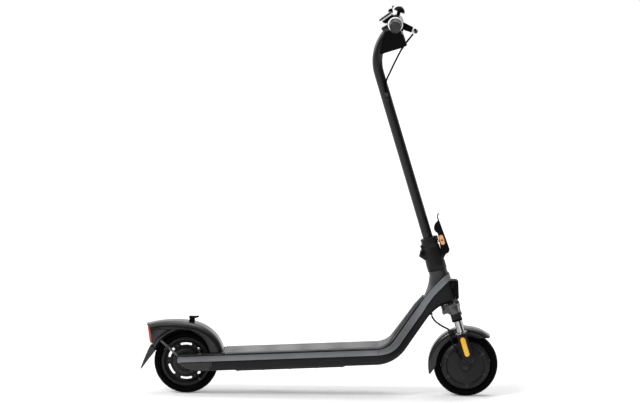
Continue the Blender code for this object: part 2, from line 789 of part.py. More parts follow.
def make_deck_mat(finishes, frame):
    """The rubber mat over the deck and up the downtube."""
    rear = beam_station(deck_point(MAT_REAR, 0.0), deck_point(MAT_REAR, BEAM_DEPTH),
                        DECK_HALF_WIDTH, 0.0, 0.0)
    stations = bend_stations()
    top = between(stations[-1], neck_stations()[0], MAT_TOP_SHARE)
    rings = []
    for station in [rear] + stations + [top]:
        low = station["depth"] + FIT_GAP
        rings.append(section_ring(station, station["half_width"] - MAT_SIDE_MARGIN,
                                  low, low + MAT_THICKNESS, 0.0008, 0.0012))
    loft("deck_mat", rings, finishes["mat_rubber"], frame)


def make_side_trim(finishes, frame):
    """The silver band: along the right side, round the front of the neck and back on the left."""
    side = arm_tip_stations()[1:] + bend_stations() + neck_stations()
    bases = []
    for station in side:
        high = station["depth"] - station["inset"]
        low = max(high - station["band"], station["depth"] * 0.05)
        bases.append({"at": station["low"], "up": station["up"], "low": low, "high": high,
                      "across": station["half_width"]})
    front = bases[-1]
    normal_ahead = Vector((math.cos(STEER_ANGLE), 0.0, math.sin(STEER_ANGLE)))
    rings = []

    def ring_at(base, sign, outward):
        surface = base["at"] + Vector((0.0, sign * base["across"], 0.0))
        inner = outward * FIT_GAP
        outer = outward * (FIT_GAP + TRIM_THICKNESS)
        low, high = base["up"] * base["low"], base["up"] * base["high"]
        return [surface + inner + low, surface + outer + low,
                surface + outer + high, surface + inner + high]

    turn_out = {len(bases) - 1: 0.85, len(bases) - 2: 0.35}
    right = []
    for index, base in enumerate(bases):
        lean = turn_out.get(index, 0.0) * math.pi / 2
        out = Vector((0.0, -math.cos(lean), 0.0)) + normal_ahead * math.sin(lean)
        spread = 1.3 if lean else 1.0
        right.append((base, out * spread))
    for base, out in right:
        rings.append(ring_at(base, -1, out))
    middle = dict(front)
    middle["across"] = 0.0
    rings.append(ring_at(middle, 1, normal_ahead * 1.3))
    for base, out in reversed(right):
        mirrored = Vector((out.x, -out.y, out.z))
        rings.append(ring_at(base, 1, mirrored))
    loft("side_trim", rings, finishes["trim_silver"], frame)


def make_deck_contents(finishes, frame):
    """Battery, controller and the cover below them."""
    start = BAY_REAR + BATTERY_END_GAP
    roof = BAY_DEPTH - FIT_GAP
    deck_box("battery_pack", (start, start + BATTERY_LENGTH), (-BATTERY_HALF_WIDTH, BATTERY_HALF_WIDTH),
             (roof - BATTERY_DEPTH, roof), finishes["battery_wrap"], frame, 0.003)
    front = start + BATTERY_LENGTH + BATTERY_TO_CONTROLLER
    deck_box("motor_controller", (front, front + CONTROLLER_LENGTH),
             (-CONTROLLER_HALF_WIDTH, CONTROLLER_HALF_WIDTH),
             (roof - CONTROLLER_DEPTH, roof), finishes["steel"], frame, 0.002)
    deck_box("bottom_cover", (BAY_REAR - COVER_OVERLAP, BAY_FRONT + COVER_OVERLAP),
             (-COVER_HALF_WIDTH, COVER_HALF_WIDTH), (-FIT_GAP - COVER_THICKNESS, -FIT_GAP),
             finishes["black_plastic"], frame, 0.001)


def make_headlight(finishes, steer):
    """The lamp box on the front of the neck, with an upright front and its lens."""
    back = HEAD_RADIUS + TRIM_THICKNESS * 0.3
    lean = math.tan(STEER_ANGLE)
    top_front = LAMP_TOP - (LAMP_TOP_REACH - back) * lean
    low = Vector((LAMP_BOTTOM_REACH, 0.0, LAMP_BOTTOM))
    high = Vector((LAMP_TOP_REACH, 0.0, top_front))
    outline = ((back, LAMP_BOTTOM + 0.002), (low.x, low.z), (high.x, high.z), (back, LAMP_TOP))
    plate("headlight_housing", outline, -LAMP_HALF_WIDTH, LAMP_HALF_WIDTH, finishes["black_plastic"], steer)
    along = (high - low).normalized()
    out = Vector((along.z, 0.0, -along.x))
    start, end = low + along * LAMP_LENS_MARGIN, high - along * LAMP_LENS_MARGIN
    inner, outer = out * FIT_GAP, out * (FIT_GAP + LAMP_LENS_THICKNESS)
    corners = [(p.x, p.z) for p in (start + inner, start + outer, end + outer, end + inner)]
    reach = LAMP_HALF_WIDTH - LAMP_LENS_MARGIN
    plate("headlight_lens", corners, -reach, reach, finishes["clear_lens"], steer)


def make_headset(finishes, steer):
    """The two bearings that carry the steerer."""
    places = {"headset_bearing_lower": HEAD_BOTTOM - FIT_GAP,
              "headset_bearing_upper": HEAD_TOP - BEARING_HEIGHT}
    inner = STEERER_RADIUS + FIT_GAP
    for name, low in places.items():
        profile = [(inner, low + BEARING_HEIGHT), (BEARING_RADIUS, low + BEARING_HEIGHT),
                   (BEARING_RADIUS, low), (inner, low)]
        turned(name, profile, finishes["steel"], steer, axis="Z", steps=24, closed=True)


def tyre_profile():
    """Tyre section as (radius, across), down its outer side and back along the rim."""
    half, flat = TYRE_WIDTH / 2, TREAD_FLAT / 2
    seat = RIM_RADIUS + FIT_GAP
    outer = [(seat, half - 0.006), (seat + 0.003, half - 0.0015), (seat + 0.011, half),
             (TYRE_RADIUS - 0.006, half - 0.003), (TYRE_RADIUS, flat)]
    return outer + [(radius, -across) for radius, across in reversed(outer)]


def make_rear_wheel(finishes, wheel):
    """Rear tyre and the rim with its drum and six windows."""
    at = (REAR_X, 0.0, AXLE_HEIGHT)
    turned("rear_tyre", tyre_profile(), finishes["tyre_rubber"], wheel, at, steps=WHEEL_FACETS, closed=True)
    seat, well = TYRE_WIDTH / 2 - 0.006, RIM_RADIUS - RIM_WALL
    bore = REAR_AXLE_RADIUS + RUN_GAP
    drum_bore = DRUM_RADIUS - DRUM_WALL
    profile = [
        (bore, 0.004), (drum_bore, 0.004), (drum_bore, HUB_HALF_WIDTH), (DRUM_RADIUS, HUB_HALF_WIDTH),
        (DRUM_RADIUS, WEB_HALF_WIDTH), (well, WEB_HALF_WIDTH), (well, seat), (RIM_RADIUS, seat),
        (RIM_RADIUS, -seat), (well, -seat), (well, -WEB_HALF_WIDTH), (DRUM_RADIUS, -WEB_HALF_WIDTH),
        (DRUM_RADIUS - 0.004, -HUB_HALF_WIDTH), (bore, -HUB_HALF_WIDTH)]
    rim = turned("rear_rim", profile, finishes["black_plastic"], wheel, at, steps=WHEEL_FACETS, closed=True)
    for index in range(WINDOW_COUNT):
        middle = 90 + index * 360 / WINDOW_COUNT
        sweep = math.degrees(WINDOW_SWEEP) / 2
        centre = (REAR_X, AXLE_HEIGHT)
        outline = arc(centre, WINDOW_OUTER, middle - sweep, middle + sweep, 4)
        outline += arc(centre, WINDOW_INNER, middle + sweep, middle - sweep, 4)
        cut(rim, plate(f"window_{index}", outline, -0.012, 0.012, None, wheel))


def make_rear_axle(finishes, frame):
    """The axle with its brake backing plate on the left and a spacer on the right."""
    shaft, collar = REAR_AXLE_RADIUS, STAY_EYE_RADIUS - 0.002
    plate_in = HUB_HALF_WIDTH + RUN_GAP
    plate_out = STAY_OFFSET - FIT_GAP
    end = REAR_AXLE_HALF_LENGTH
    profile = [
        (0.0, end), (shaft, end), (shaft, plate_out), (collar, plate_out), (collar, plate_out - 0.004),
        (DRUM_RADIUS, plate_out - 0.004), (DRUM_RADIUS, plate_in), (collar, plate_in),
        (shaft, plate_in), (shaft, -plate_in), (collar, -plate_in),
        (collar, -plate_out), (shaft, -plate_out), (shaft, -end), (0.0, -end)]
    turned("rear_axle", profile, finishes["steel"], frame, (REAR_X, 0.0, AXLE_HEIGHT), steps=24)


def deck_top_at(x_behind):
    """Height over the axle of the chassis top, at a distance ahead of the rear axle."""
    rise = BEAM_DEPTH / math.cos(DECK_PITCH)
    return BELLY_HEIGHT + x_behind * math.tan(DECK_PITCH) + rise - AXLE_HEIGHT


def rear_fender_stations():
    """Where the rear fender's skirt edge and crown run, from its foot to its tail."""
    radius = REAR_FENDER_RADIUS
    wide, tail = REAR_FENDER_HALF_WIDTH, REAR_TAIL_HALF_WIDTH
    crown_x, edge_x = radius * math.cos(math.radians(16.5)), 0.079
    seat = FIT_GAP + 0.0002
    return [
        ((edge_x, deck_top_at(edge_x) + seat), (crown_x, deck_top_at(crown_x) + seat), wide),
        (polar(radius - 0.037, 38), polar(radius, 33), wide),
        (polar(radius - 0.031, 55), polar(radius, 50), wide),
        (polar(radius - 0.026, 73), polar(radius, 68), wide),
        ((0.006, radius - 0.022), (0.010, radius), wide),
        ((-0.032, radius - 0.022), (-0.035, radius + 0.003), (wide + tail) / 2),
        ((-0.070, radius - 0.023), (-0.083, radius), tail),
        ((-0.116, radius - 0.021), (-0.124, radius - 0.010), tail)]


def make_rear_fender(finishes, frame):
    """Fender shell, liner with lamp housing, lens, mud flap, hook and stays."""
    rings = []
    for edge, crown, half_width in rear_fender_stations():
        place = (REAR_X, AXLE_HEIGHT)
        ring = channel_ring((edge[0] + place[0], edge[1] + place[1]),
                            (crown[0] + place[0], crown[1] + place[1]),
                            half_width, FENDER_WALL, 0.020)
        rings.append(ring)
    loft("rear_fender", rings, finishes["grey_plastic"], frame)

    inner_half = REAR_TAIL_HALF_WIDTH - FENDER_WALL - FIT_GAP
    liner = arc((REAR_X, AXLE_HEIGHT), 0.109, 98, 152, 8)
    housing_rear = [(-0.1035, 0.0600), (-0.1085, 0.1075)]
    outline = liner + [(REAR_X - 0.100, AXLE_HEIGHT + 0.0565)]
    outline += [(REAR_X + x, AXLE_HEIGHT + z) for x, z in housing_rear]
    outline += [(REAR_X - 0.072, AXLE_HEIGHT + 0.1100), (REAR_X - 0.016, AXLE_HEIGHT + 0.1115)]
    plate("tail_light_housing", outline, -inner_half, inner_half, finishes["black_plastic"], frame)
    lens_reach = inner_half - 0.003
    corners = [(x - FIT_GAP * 1.2, z) for x, z in housing_rear]
    corners += [(-0.1185, 0.1065), (-0.1125, 0.0610)]
    corners = [(REAR_X + x, AXLE_HEIGHT + z) for x, z in corners]
    plate("tail_light_lens", corners, -lens_reach, lens_reach, finishes["red_lens"], frame)

    top_crown, top_edge = (REAR_X - 0.115, AXLE_HEIGHT + 0.0485), (REAR_X - 0.089, AXLE_HEIGHT + 0.0435)
    tip_crown = (REAR_X - MUD_FLAP_REACH, AXLE_HEIGHT - 0.025)
    tip_edge = (tip_crown[0] + 0.0055, tip_crown[1] + 0.003)
    rings = [channel_ring(top_edge, top_crown, FLAP_HALF_WIDTH, FENDER_WALL, 0.006),
             channel_ring(tip_edge, tip_crown, FLAP_HALF_WIDTH - 0.004, FENDER_WALL, 0.004)]
    flap = loft("mud_flap", rings, finishes["grey_plastic"], frame)
    tab = [(-0.1002, 0.0560), (-0.1030, 0.0588), (-0.1140, 0.0475), (-0.1162, 0.0430), (-0.1120, 0.0420),
           (-0.1010, 0.0455)]
    tab = [(REAR_X + x, AXLE_HEIGHT + z) for x, z in tab]
    join(flap, plate("flap_tab", tab, -FLAP_HALF_WIDTH * 0.6, FLAP_HALF_WIDTH * 0.6, None, frame))

    clear = REAR_FENDER_RADIUS + FIT_GAP
    rear_x, front_x, beak_x = 0.008, 0.0285, 0.040
    foot = [(x, math.sqrt(clear ** 2 - (x - 0.004) ** 2) + 0.0002) for x in (rear_x, front_x)]
    peak = foot[0][1] + 0.016
    outline = foot + [(front_x - 0.003, peak - 0.005), (beak_x, peak - 0.002), (beak_x, peak),
                      (rear_x + 0.003, peak)]
    outline = [(REAR_X + x, AXLE_HEIGHT + z) for x, z in outline]
    plate("folding_hook", outline, -HOOK_HALF_WIDTH, HOOK_HALF_WIDTH, finishes["black_plastic"], frame)

    for side, sign in (("right", -1), ("left", 1)):
        make_fender_stay(f"fender_stay_{side}", sign, inner_half, finishes["grey_plastic"], frame)


def make_fender_stay(name, sign, housing_half, finish, frame):
    """A flat bar from an eye on the rear axle up to the side of the liner."""
    end = Vector((-0.078, 0.070))
    along = end.normalized()
    side = Vector((-along.y, along.x)) * STAY_WIDTH / 2
    centre = Vector((REAR_X, AXLE_HEIGHT))
    outline = [centre + end + side, centre + side, centre - side, centre + end - side]
    near = STAY_OFFSET
    far = near + STAY_THICKNESS
    low, high = sorted((sign * near, sign * far))
    stay = plate(name, [(p.x, p.y) for p in outline], low, high, finish, frame)
    join(stay, rod(f"{name}_eye", (REAR_X, low, AXLE_HEIGHT), (REAR_X, high, AXLE_HEIGHT),
                   STAY_EYE_RADIUS, None, frame))
    cut(stay, rod(f"{name}_hole", (REAR_X, sign * (near - 0.01), AXLE_HEIGHT),
                  (REAR_X, sign * (far + 0.01), AXLE_HEIGHT), REAR_AXLE_RADIUS + FIT_GAP, None, frame))
    foot = centre + end - along * STAY_WIDTH / 2
    join(stay, rod(f"{name}_foot", (foot.x, sign * (housing_half + FIT_GAP), foot.y),
                   (foot.x, sign * (near + 0.001), foot.y), STAY_WIDTH / 2 - 0.0005, None, frame, sides=12))


def make_brake_arm(finishes, arm, pivot_at):
    """The lever on the drum brake's backing plate."""
    low = STAY_OFFSET - 0.004 + 0.0005
    high = low + 0.003
    end = (pivot_at[0] + 0.028, pivot_at[1] - 0.022)
    centre = Vector(pivot_at)
    along = (Vector(end) - centre).normalized()
    side = Vector((-along.y, along.x)) * 0.004
    outline = [centre + side, centre - side, Vector(end) - side, Vector(end) + side]
    lever = plate("brake_arm", [(p.x, p.y) for p in outline], low, high, finishes["steel"], arm)
    join(lever, rod("brake_arm_eye", (centre.x, low, centre.y), (centre.x, high, centre.y), 0.008, None, arm))


def make_fork_crown(finishes, steer):
    """Crown bridge, its round boss, its two sleeves and the steerer."""
    bottom = CROWN_TOP - CROWN_DEPTH
    crown = box("fork_crown", (-CROWN_BOSS_RADIUS, -0.049, bottom), (0.033, 0.049, CROWN_BRIDGE_TOP),
                finishes["grey_plastic"], steer)
    join(crown, rod("crown_boss", (0, 0, bottom + 0.004), (0, 0, CROWN_TOP), CROWN_BOSS_RADIUS, None, steer,
                    sides=28))
    join(crown, rod("steerer", (0, 0, bottom + 0.005), (0, 0, STEERER_TOP - FIT_GAP), STEERER_RADIUS, None,
                    steer))
    shoulder = [(-0.012, CROWN_BRIDGE_TOP), (-0.002, CROWN_TOP), (0.033, CROWN_TOP), (0.0325, 0.172),
                (0.001, 0.172), (-0.006, 0.177)]
    for sign in (-1, 1):
        low, high = sorted((sign * 0.047, sign * (LEG_OFFSET + 0.009)))
        join(crown, plate(f"shoulder_{sign}", shoulder, low, high, None, steer))
    for sign in (-1, 1):
        across = sign * LEG_OFFSET
        join(crown, rod(f"sleeve_{sign}", (FORK_LEAD, across, SLEEVE_BOTTOM),
                        (FORK_LEAD, across, CROWN_TOP - 0.002), SLEEVE_RADIUS, None, steer, sides=24))
        cut(crown, rod(f"sleeve_bore_{sign}", (FORK_LEAD, across, SLEEVE_BOTTOM - 0.01),
                       (FORK_LEAD, across, STANCHION_TOP + FIT_GAP), STANCHION_RADIUS + FIT_GAP, None, steer,
                       sides=24))
    for side, sign in (("right", -1), ("left", 1)):
        outer, inner = STANCHION_RADIUS, STANCHION_BORE
        roof = STANCHION_TOP - 0.006
        profile = [(0.0, STANCHION_TOP), (outer, STANCHION_TOP), (outer, STANCHION_BOTTOM),
                   (inner, STANCHION_BOTTOM), (inner, roof), (0.0, roof)]
        turned(f"stanchion_{side}", profile, finishes["chrome"], steer,
               (FORK_LEAD, sign * LEG_OFFSET, 0.0), axis="Z")
        low, high = LEG_BORE_BOTTOM + FIT_GAP, roof - FIT_GAP
        profile = [(SPRING_BORE, high), (SPRING_RADIUS, high), (SPRING_RADIUS, low), (SPRING_BORE, low)]
        turned(f"fork_spring_{side}", profile, finishes["steel"], steer,
               (FORK_LEAD, sign * LEG_OFFSET, 0.0), axis="Z", steps=16, closed=True)


def stadium(centre, half_width, half_length, steps):
    """An upright pill outline."""
    straight = half_length - half_width
    ring = arc((centre[0], centre[1] + straight), half_width, 0, 180, steps)
    ring += arc((centre[0], centre[1] - straight), half_width, 180, 360, steps)
    return ring


def make_lower_fork(finishes, lower):
    """Both legs, reflectors, axle and stator."""
    for side, sign in (("right", -1), ("left", 1)):
        across = sign * LEG_OFFSET
        top = LEG_TOP + SEAL_HEIGHT
        profile = [
            (0.0, top), (SEAL_RADIUS - 0.002, top), (SEAL_RADIUS, top - 0.002), (SEAL_RADIUS, LEG_TOP),
            (LEG_RADIUS, LEG_TOP), (LEG_RADIUS, LEG_BOTTOM), (0.0, LEG_BOTTOM)]
        leg = turned(f"fork_leg_{side}", profile, finishes["black_plastic"], lower,
                     (FORK_LEAD, across, 0.0), axis="Z", steps=24)
        low, high = sorted((sign * DROPOUT_INNER, sign * DROPOUT_OUTER))
        web = [(FORK_LEAD - LEG_RADIUS + 0.002, 0.040), (-DROPOUT_RADIUS * 0.8, 0.012), (0.0, -0.010),
               (FORK_LEAD + 0.006, 0.004), (FORK_LEAD + LEG_RADIUS - 0.002, 0.020)]
        join(leg, plate(f"web_{side}", web, low, high, None, lower))
        join(leg, rod(f"dropout_{side}", (0, low, 0), (0, high, 0), DROPOUT_RADIUS, None, lower, sides=24))
        face = LEG_OFFSET + LEG_RADIUS
        carrier = stadium((FORK_LEAD, REFLECTOR_CENTRE), REFLECTOR_WIDTH / 2 + 0.003,
                          REFLECTOR_LENGTH / 2 + 0.004, 6)
        low, high = sorted((sign * (face - 0.008), sign * (face + CARRIER_DEPTH)))
        join(leg, plate(f"carrier_{side}", carrier, low, high, None, lower))
        hole = FRONT_AXLE_RADIUS + FIT_GAP
        reach = DROPOUT_OUTER + 0.012
        cut(leg, rod(f"dropout_hole_{side}", (0, sign * 0.04, 0), (0, sign * reach, 0), hole, None, lower))
        cut(leg, rod(f"leg_bore_{side}", (FORK_LEAD, across, LEG_BORE_BOTTOM),
                     (FORK_LEAD, across, top + 0.01), STANCHION_RADIUS + RUN_GAP, None, lower))
        pill = stadium((FORK_LEAD, REFLECTOR_CENTRE), REFLECTOR_WIDTH / 2, REFLECTOR_LENGTH / 2, 8)
        start = face + CARRIER_DEPTH + FIT_GAP
        low, high = sorted((sign * start, sign * (start + REFLECTOR_THICKNESS)))
        plate(f"reflector_{side}", pill, low, high, finishes["amber"], lower)
        if side == "right":
            add_cable_guide(leg, lower)

    shaft, collar, nut = FRONT_AXLE_RADIUS, 0.012, 0.012
    inner, outer = DROPOUT_INNER - FIT_GAP, DROPOUT_OUTER + FIT_GAP
    start = MOTOR_COVER_REACH + 0.002
    half = [(shaft, start), (collar, start), (collar, inner), (shaft, inner), (shaft, outer),
            (nut, outer), (nut, outer + 0.008), (0.0, outer + 0.008)]
    profile = list(reversed(half)) + [(radius, -across) for radius, across in half]
    turned("front_axle", profile, finishes["steel"], lower, steps=24)
    bore = FRONT_AXLE_RADIUS + FIT_GAP
    profile = [(bore, STATOR_HALF_WIDTH), (STATOR_RADIUS, STATOR_HALF_WIDTH),
               (STATOR_RADIUS, -STATOR_HALF_WIDTH), (bore, -STATOR_HALF_WIDTH)]
    turned("motor_stator", profile, finishes["steel"], lower, closed=True)


# The motor cable's path: free from the neck to the clip, then inside the guide down to the axle
CLIP_TOP = 0.1235
CABLE_SIDE = -0.044
CABLE_GUIDE_ROUTE = (
    (-0.0185, CABLE_SIDE, 0.106), (-0.019, CABLE_SIDE, 0.090), (-0.0175, CABLE_SIDE, 0.067),
    (-0.014, CABLE_SIDE, 0.043), (-0.008, -0.0435, 0.024), (-0.004, -0.043, 0.0175))


def add_cable_guide(leg, lower):
    """The clip and the sleeve that lead the motor cable down behind the right leg."""
    route = smooth_route(CABLE_GUIDE_ROUTE, 3)
    join(leg, tube("cable_guide", route, MOTOR_CABLE_RADIUS + 0.0008, None, lower, fineness=2))
    low, high = CABLE_SIDE - 0.0035, CABLE_SIDE + 0.0035
    join(leg, box("clip_arm", (-0.0215, low, LEG_TOP + 0.0005), (0.006, high, LEG_TOP + 0.0065), None, lower))
    join(leg, box("cable_clip", (-0.0225, low, LEG_TOP + 0.0002), (-0.004, high, CLIP_TOP), None, lower))


def make_front_fender(finishes, lower):
    """The front fender, carried by short arms on the inner sides of the legs."""
    rings = []
    steps = 11
    first, last = 50.0 - math.degrees(STEER_ANGLE), 194.0 - math.degrees(STEER_ANGLE)
    for step in range(steps + 1):
        angle = first + (last - first) * step / steps
        from_end = min(step, steps - step)
        skirt = FRONT_FENDER_SKIRT if from_end else FRONT_FENDER_SKIRT + 0.014
        rings.append(channel_ring(polar(skirt, angle), polar(FRONT_FENDER_RADIUS, angle),
                                  FRONT_FENDER_HALF_WIDTH, FENDER_WALL, 0.014))
    fender = loft("front_fender", rings, finishes["grey_plastic"], lower)
    for sign in (-1, 1):
        start, end = FRONT_FENDER_HALF_WIDTH - 0.0015, LEG_OFFSET - LEG_RADIUS - FIT_GAP
        low, high = sorted((sign * start, sign * end))
        join(fender, box(f"fender_arm_{sign}", (FORK_LEAD - 0.008, low, 0.082),
                         (FORK_LEAD + 0.008, high, 0.096), None, lower))


def make_front_wheel(finishes, wheel):
    """Front tyre, hub motor shell and its two covers."""
    turned("front_tyre", tyre_profile(), finishes["tyre_rubber"], wheel, steps=WHEEL_FACETS,
           spin=STEER_ANGLE, closed=True)
    well, half = RIM_RADIUS - RIM_WALL, MOTOR_HALF_WIDTH
    profile = [(well, half), (RIM_RADIUS, half), (RIM_RADIUS, -half), (well, -half)]
    turned("motor_hub", profile, finishes["black_plastic"], wheel, steps=WHEEL_FACETS,
           spin=STEER_ANGLE, closed=True)
    bore = FRONT_AXLE_RADIUS + RUN_GAP
    inner = MOTOR_HALF_WIDTH + FIT_GAP
    reach = MOTOR_COVER_REACH
    outline = [
        (bore, reach), (0.021, reach), (0.023, reach - 0.003), (0.058, reach - 0.004),
        (0.061, reach - 0.001), (0.068, reach - 0.001),
        (MOTOR_COVER_RADIUS, inner + 0.002), (MOTOR_COVER_RADIUS, inner), (bore, inner)]
    turned("motor_cover_left", outline, finishes["black_plastic"], wheel, steps=32, closed=True)
    mirrored = [(radius, -across) for radius, across in reversed(outline)]
    turned("motor_cover_right", mirrored, finishes["black_plastic"], wheel, steps=32, closed=True)


MOTOR_CABLE_ROUTE = ((-0.058, -0.012, 0.1800), (-0.0575, -0.014, 0.172), (-0.052, -0.021, 0.160),
                     (-0.042, -0.029, 0.1475), (-0.031, -0.037, 0.137), (-0.0225, -0.0425, 0.1305),
                     (-0.0192, -0.0438, 0.1270), (-0.0185, CABLE_SIDE, CLIP_TOP + 0.0005))


def make_motor_cable(finishes, steer):
    """The free loop of the motor cable, from the neck to the guide on the right leg."""
    tube("motor_cable", smooth_route(MOTOR_CABLE_ROUTE, 4), MOTOR_CABLE_RADIUS,
         finishes["black_plastic"], steer, fineness=2)


def make_fold_base(finishes, steer):
    """The lower half of the folding joint, with the hinge ears and the latch pin."""
    profile = [(0.0, BASE_TOP), (BASE_TOP_RADIUS, BASE_TOP), (BASE_TOP_RADIUS, BASE_TOP - 0.012),
               (BASE_RADIUS, BASE_BOTTOM + 0.020), (BASE_RADIUS, BASE_BOTTOM), (0.0, BASE_BOTTOM)]
    base = turned("fold_base", profile, finishes["black_plastic"], steer, axis="Z", steps=28)
    cut(base, rod("steerer_socket", (0, 0, BASE_BOTTOM - 0.01), (0, 0, STEERER_TOP),
                  STEERER_RADIUS + FIT_GAP, None, steer))
    ear_in = HINGE_LUG_HALF_WIDTH + RUN_GAP
    for sign in (-1, 1):
        low, high = sorted((sign * ear_in, sign * HINGE_EAR_OUTER))
        join(base, rod(f"ear_{sign}", (HINGE_AHEAD, low, HINGE_UP), (HINGE_AHEAD, high, HINGE_UP),
                       HINGE_EAR_RADIUS, None, steer))
        join(base, box(f"ear_web_{sign}", (HINGE_AHEAD, low, HINGE_UP - 0.020),
                       (-0.012, high, HINGE_UP + 0.006), None, steer))
    swing = HINGE_EAR_RADIUS + 0.0015
    cut(base, box("lug_slot", (HINGE_AHEAD - 0.03, -ear_in, HINGE_UP - swing),
                  (HINGE_AHEAD + swing, ear_in, BASE_TOP + 0.02), None, steer))
    reach = HINGE_EAR_OUTER + 0.02
    cut(base, rod("ear_hole", (HINGE_AHEAD, -reach, HINGE_UP), (HINGE_AHEAD, reach, HINGE_UP),
                  HINGE_PIN_RADIUS + FIT_GAP, None, steer))
    inner = LATCH_HALF_WIDTH - LATCH_WALL - RUN_GAP
    ear = (LATCH_PIVOT_AHEAD, LATCH_PIVOT_UP)
    gusset = [(0.020, ear[1] + 0.008), (0.020, ear[1] - 0.019), (0.0290, ear[1] - 0.019),
              (ear[0] + 0.006, ear[1] - 0.0068), (ear[0], ear[1] + 0.0085)]
    join(base, plate("latch_gusset", gusset, -inner, inner, None, steer))
    join(base, rod("latch_ear", (ear[0], -inner, ear[1]), (ear[0], inner, ear[1]), 0.009, None, steer))
    pin = LATCH_HALF_WIDTH - 0.0005
    join(base, rod("latch_pin", (ear[0], -pin, ear[1]), (ear[0], pin, ear[1]), LATCH_PIN_RADIUS, None, steer,
                   sides=16))

    pin_end = HINGE_EAR_OUTER + 0.002
    rod("hinge_pin", (HINGE_AHEAD, -pin_end, HINGE_UP), (HINGE_AHEAD, pin_end, HINGE_UP),
        HINGE_PIN_RADIUS, finishes["steel"], steer, sides=16)


def make_stem_collar(finishes, stem):
    """The upper half of the folding joint, with its hinge lug and front lug."""
    bottom = BASE_TOP + FIT_GAP
    profile = [(0.0, COLLAR_TOP), (COLLAR_RADIUS - 0.003, COLLAR_TOP), (COLLAR_RADIUS, COLLAR_TOP - 0.003),
               (COLLAR_RADIUS, bottom), (0.0, bottom)]
    collar = turned("stem_collar", profile, finishes["black_plastic"], stem, axis="Z", steps=28)
    half = HINGE_LUG_HALF_WIDTH
    join(collar, rod("lug", (HINGE_AHEAD, -half, HINGE_UP), (HINGE_AHEAD, half, HINGE_UP),
                     HINGE_EAR_RADIUS, None, stem))
    join(collar, box("lug_neck", (HINGE_AHEAD - 0.001, -half, HINGE_UP),
                     (HINGE_AHEAD + HINGE_EAR_RADIUS, half, bottom + 0.010), None, stem))
    join(collar, box("front_lug", (COLLAR_RADIUS - 0.006, -0.009, COLLAR_TOP - 0.016),
                     (COLLAR_RADIUS + 0.004, 0.009, COLLAR_TOP - 0.002), None, stem))
    cut(collar, rod("stem_socket", (0, 0, bottom + 0.003), (0, 0, COLLAR_TOP + 0.02), STEM_RADIUS + FIT_GAP,
                    None, stem, sides=24))
    cut(collar, rod("lug_hole", (HINGE_AHEAD, -half - 0.01, HINGE_UP), (HINGE_AHEAD, half + 0.01, HINGE_UP),
                    HINGE_PIN_RADIUS + RUN_GAP, None, stem, sides=16))


def make_latch(finishes, latch, button):
    """The latch lever, a channel with a hooked tab, and its safety button."""
    pivot = (LATCH_PIVOT_AHEAD, LATCH_PIVOT_UP)
    outline = arc(pivot, 0.0088, 190, 285, 5)
    outline += [(0.0495, 0.3565), (0.0550, 0.3650), (0.0495, 0.457), (0.0485, 0.472), (0.0545, 0.4835),
                (0.0520, 0.4845), (0.0455, 0.474), (0.0460, 0.462), (0.0410, 0.4595), (0.0330, 0.454),
                (0.0265, 0.443), (0.0275, 0.434), (0.0335, 0.4255)]
    lever = plate("latch_lever", outline, -LATCH_HALF_WIDTH, LATCH_HALF_WIDTH, finishes["black_plastic"],
                  latch)
    inner = LATCH_HALF_WIDTH - LATCH_WALL
    cut(lever, box("latch_channel", (0.0, -inner, 0.33), (LATCH_PIVOT_AHEAD + 0.0140, inner, 0.436), None,
                   latch))
    cut(lever, rod("latch_pin_hole", (pivot[0], -0.03, pivot[1]), (pivot[0], 0.03, pivot[1]),
                   LATCH_PIN_RADIUS + RUN_GAP, None, latch, sides=16))
    wide, long = BUTTON_WIDTH / 2, BUTTON_LENGTH / 2
    centre = (BUTTON_AHEAD, BUTTON_UP)
    hole = stadium(centre, wide + RUN_GAP, long + RUN_GAP, 6)
    cut(lever, plate("button_hole", hole, -LATCH_HALF_WIDTH - 0.01, -inner + 0.002, None, latch))
    plate("latch_button", stadium(centre, wide, long, 8), -LATCH_HALF_WIDTH - BUTTON_PROUD, -inner,
          finishes["orange"], button)


def stem_route(start):
    """The stem's centre line: straight, then bent forward towards the bar."""
    points = [(0.0, 0.0, start), (0.0, 0.0, STEM_STRAIGHT_TOP)]
    steps = 12
    for step in range(1, steps + 1):
        angle = STEM_BEND_SWEEP * step / steps
        points.append((STEM_BEND_RADIUS * (1 - math.cos(angle)), 0.0,
                       STEM_STRAIGHT_TOP + STEM_BEND_RADIUS * math.sin(angle)))
    return points


def dash_point(along, up):
    """A point of the display's own frame, in the steering frame."""
    return (DASH_AHEAD + along * math.cos(DASH_TILT) + up * math.sin(DASH_TILT),
            DASH_UP - along * math.sin(DASH_TILT) + up * math.cos(DASH_TILT))


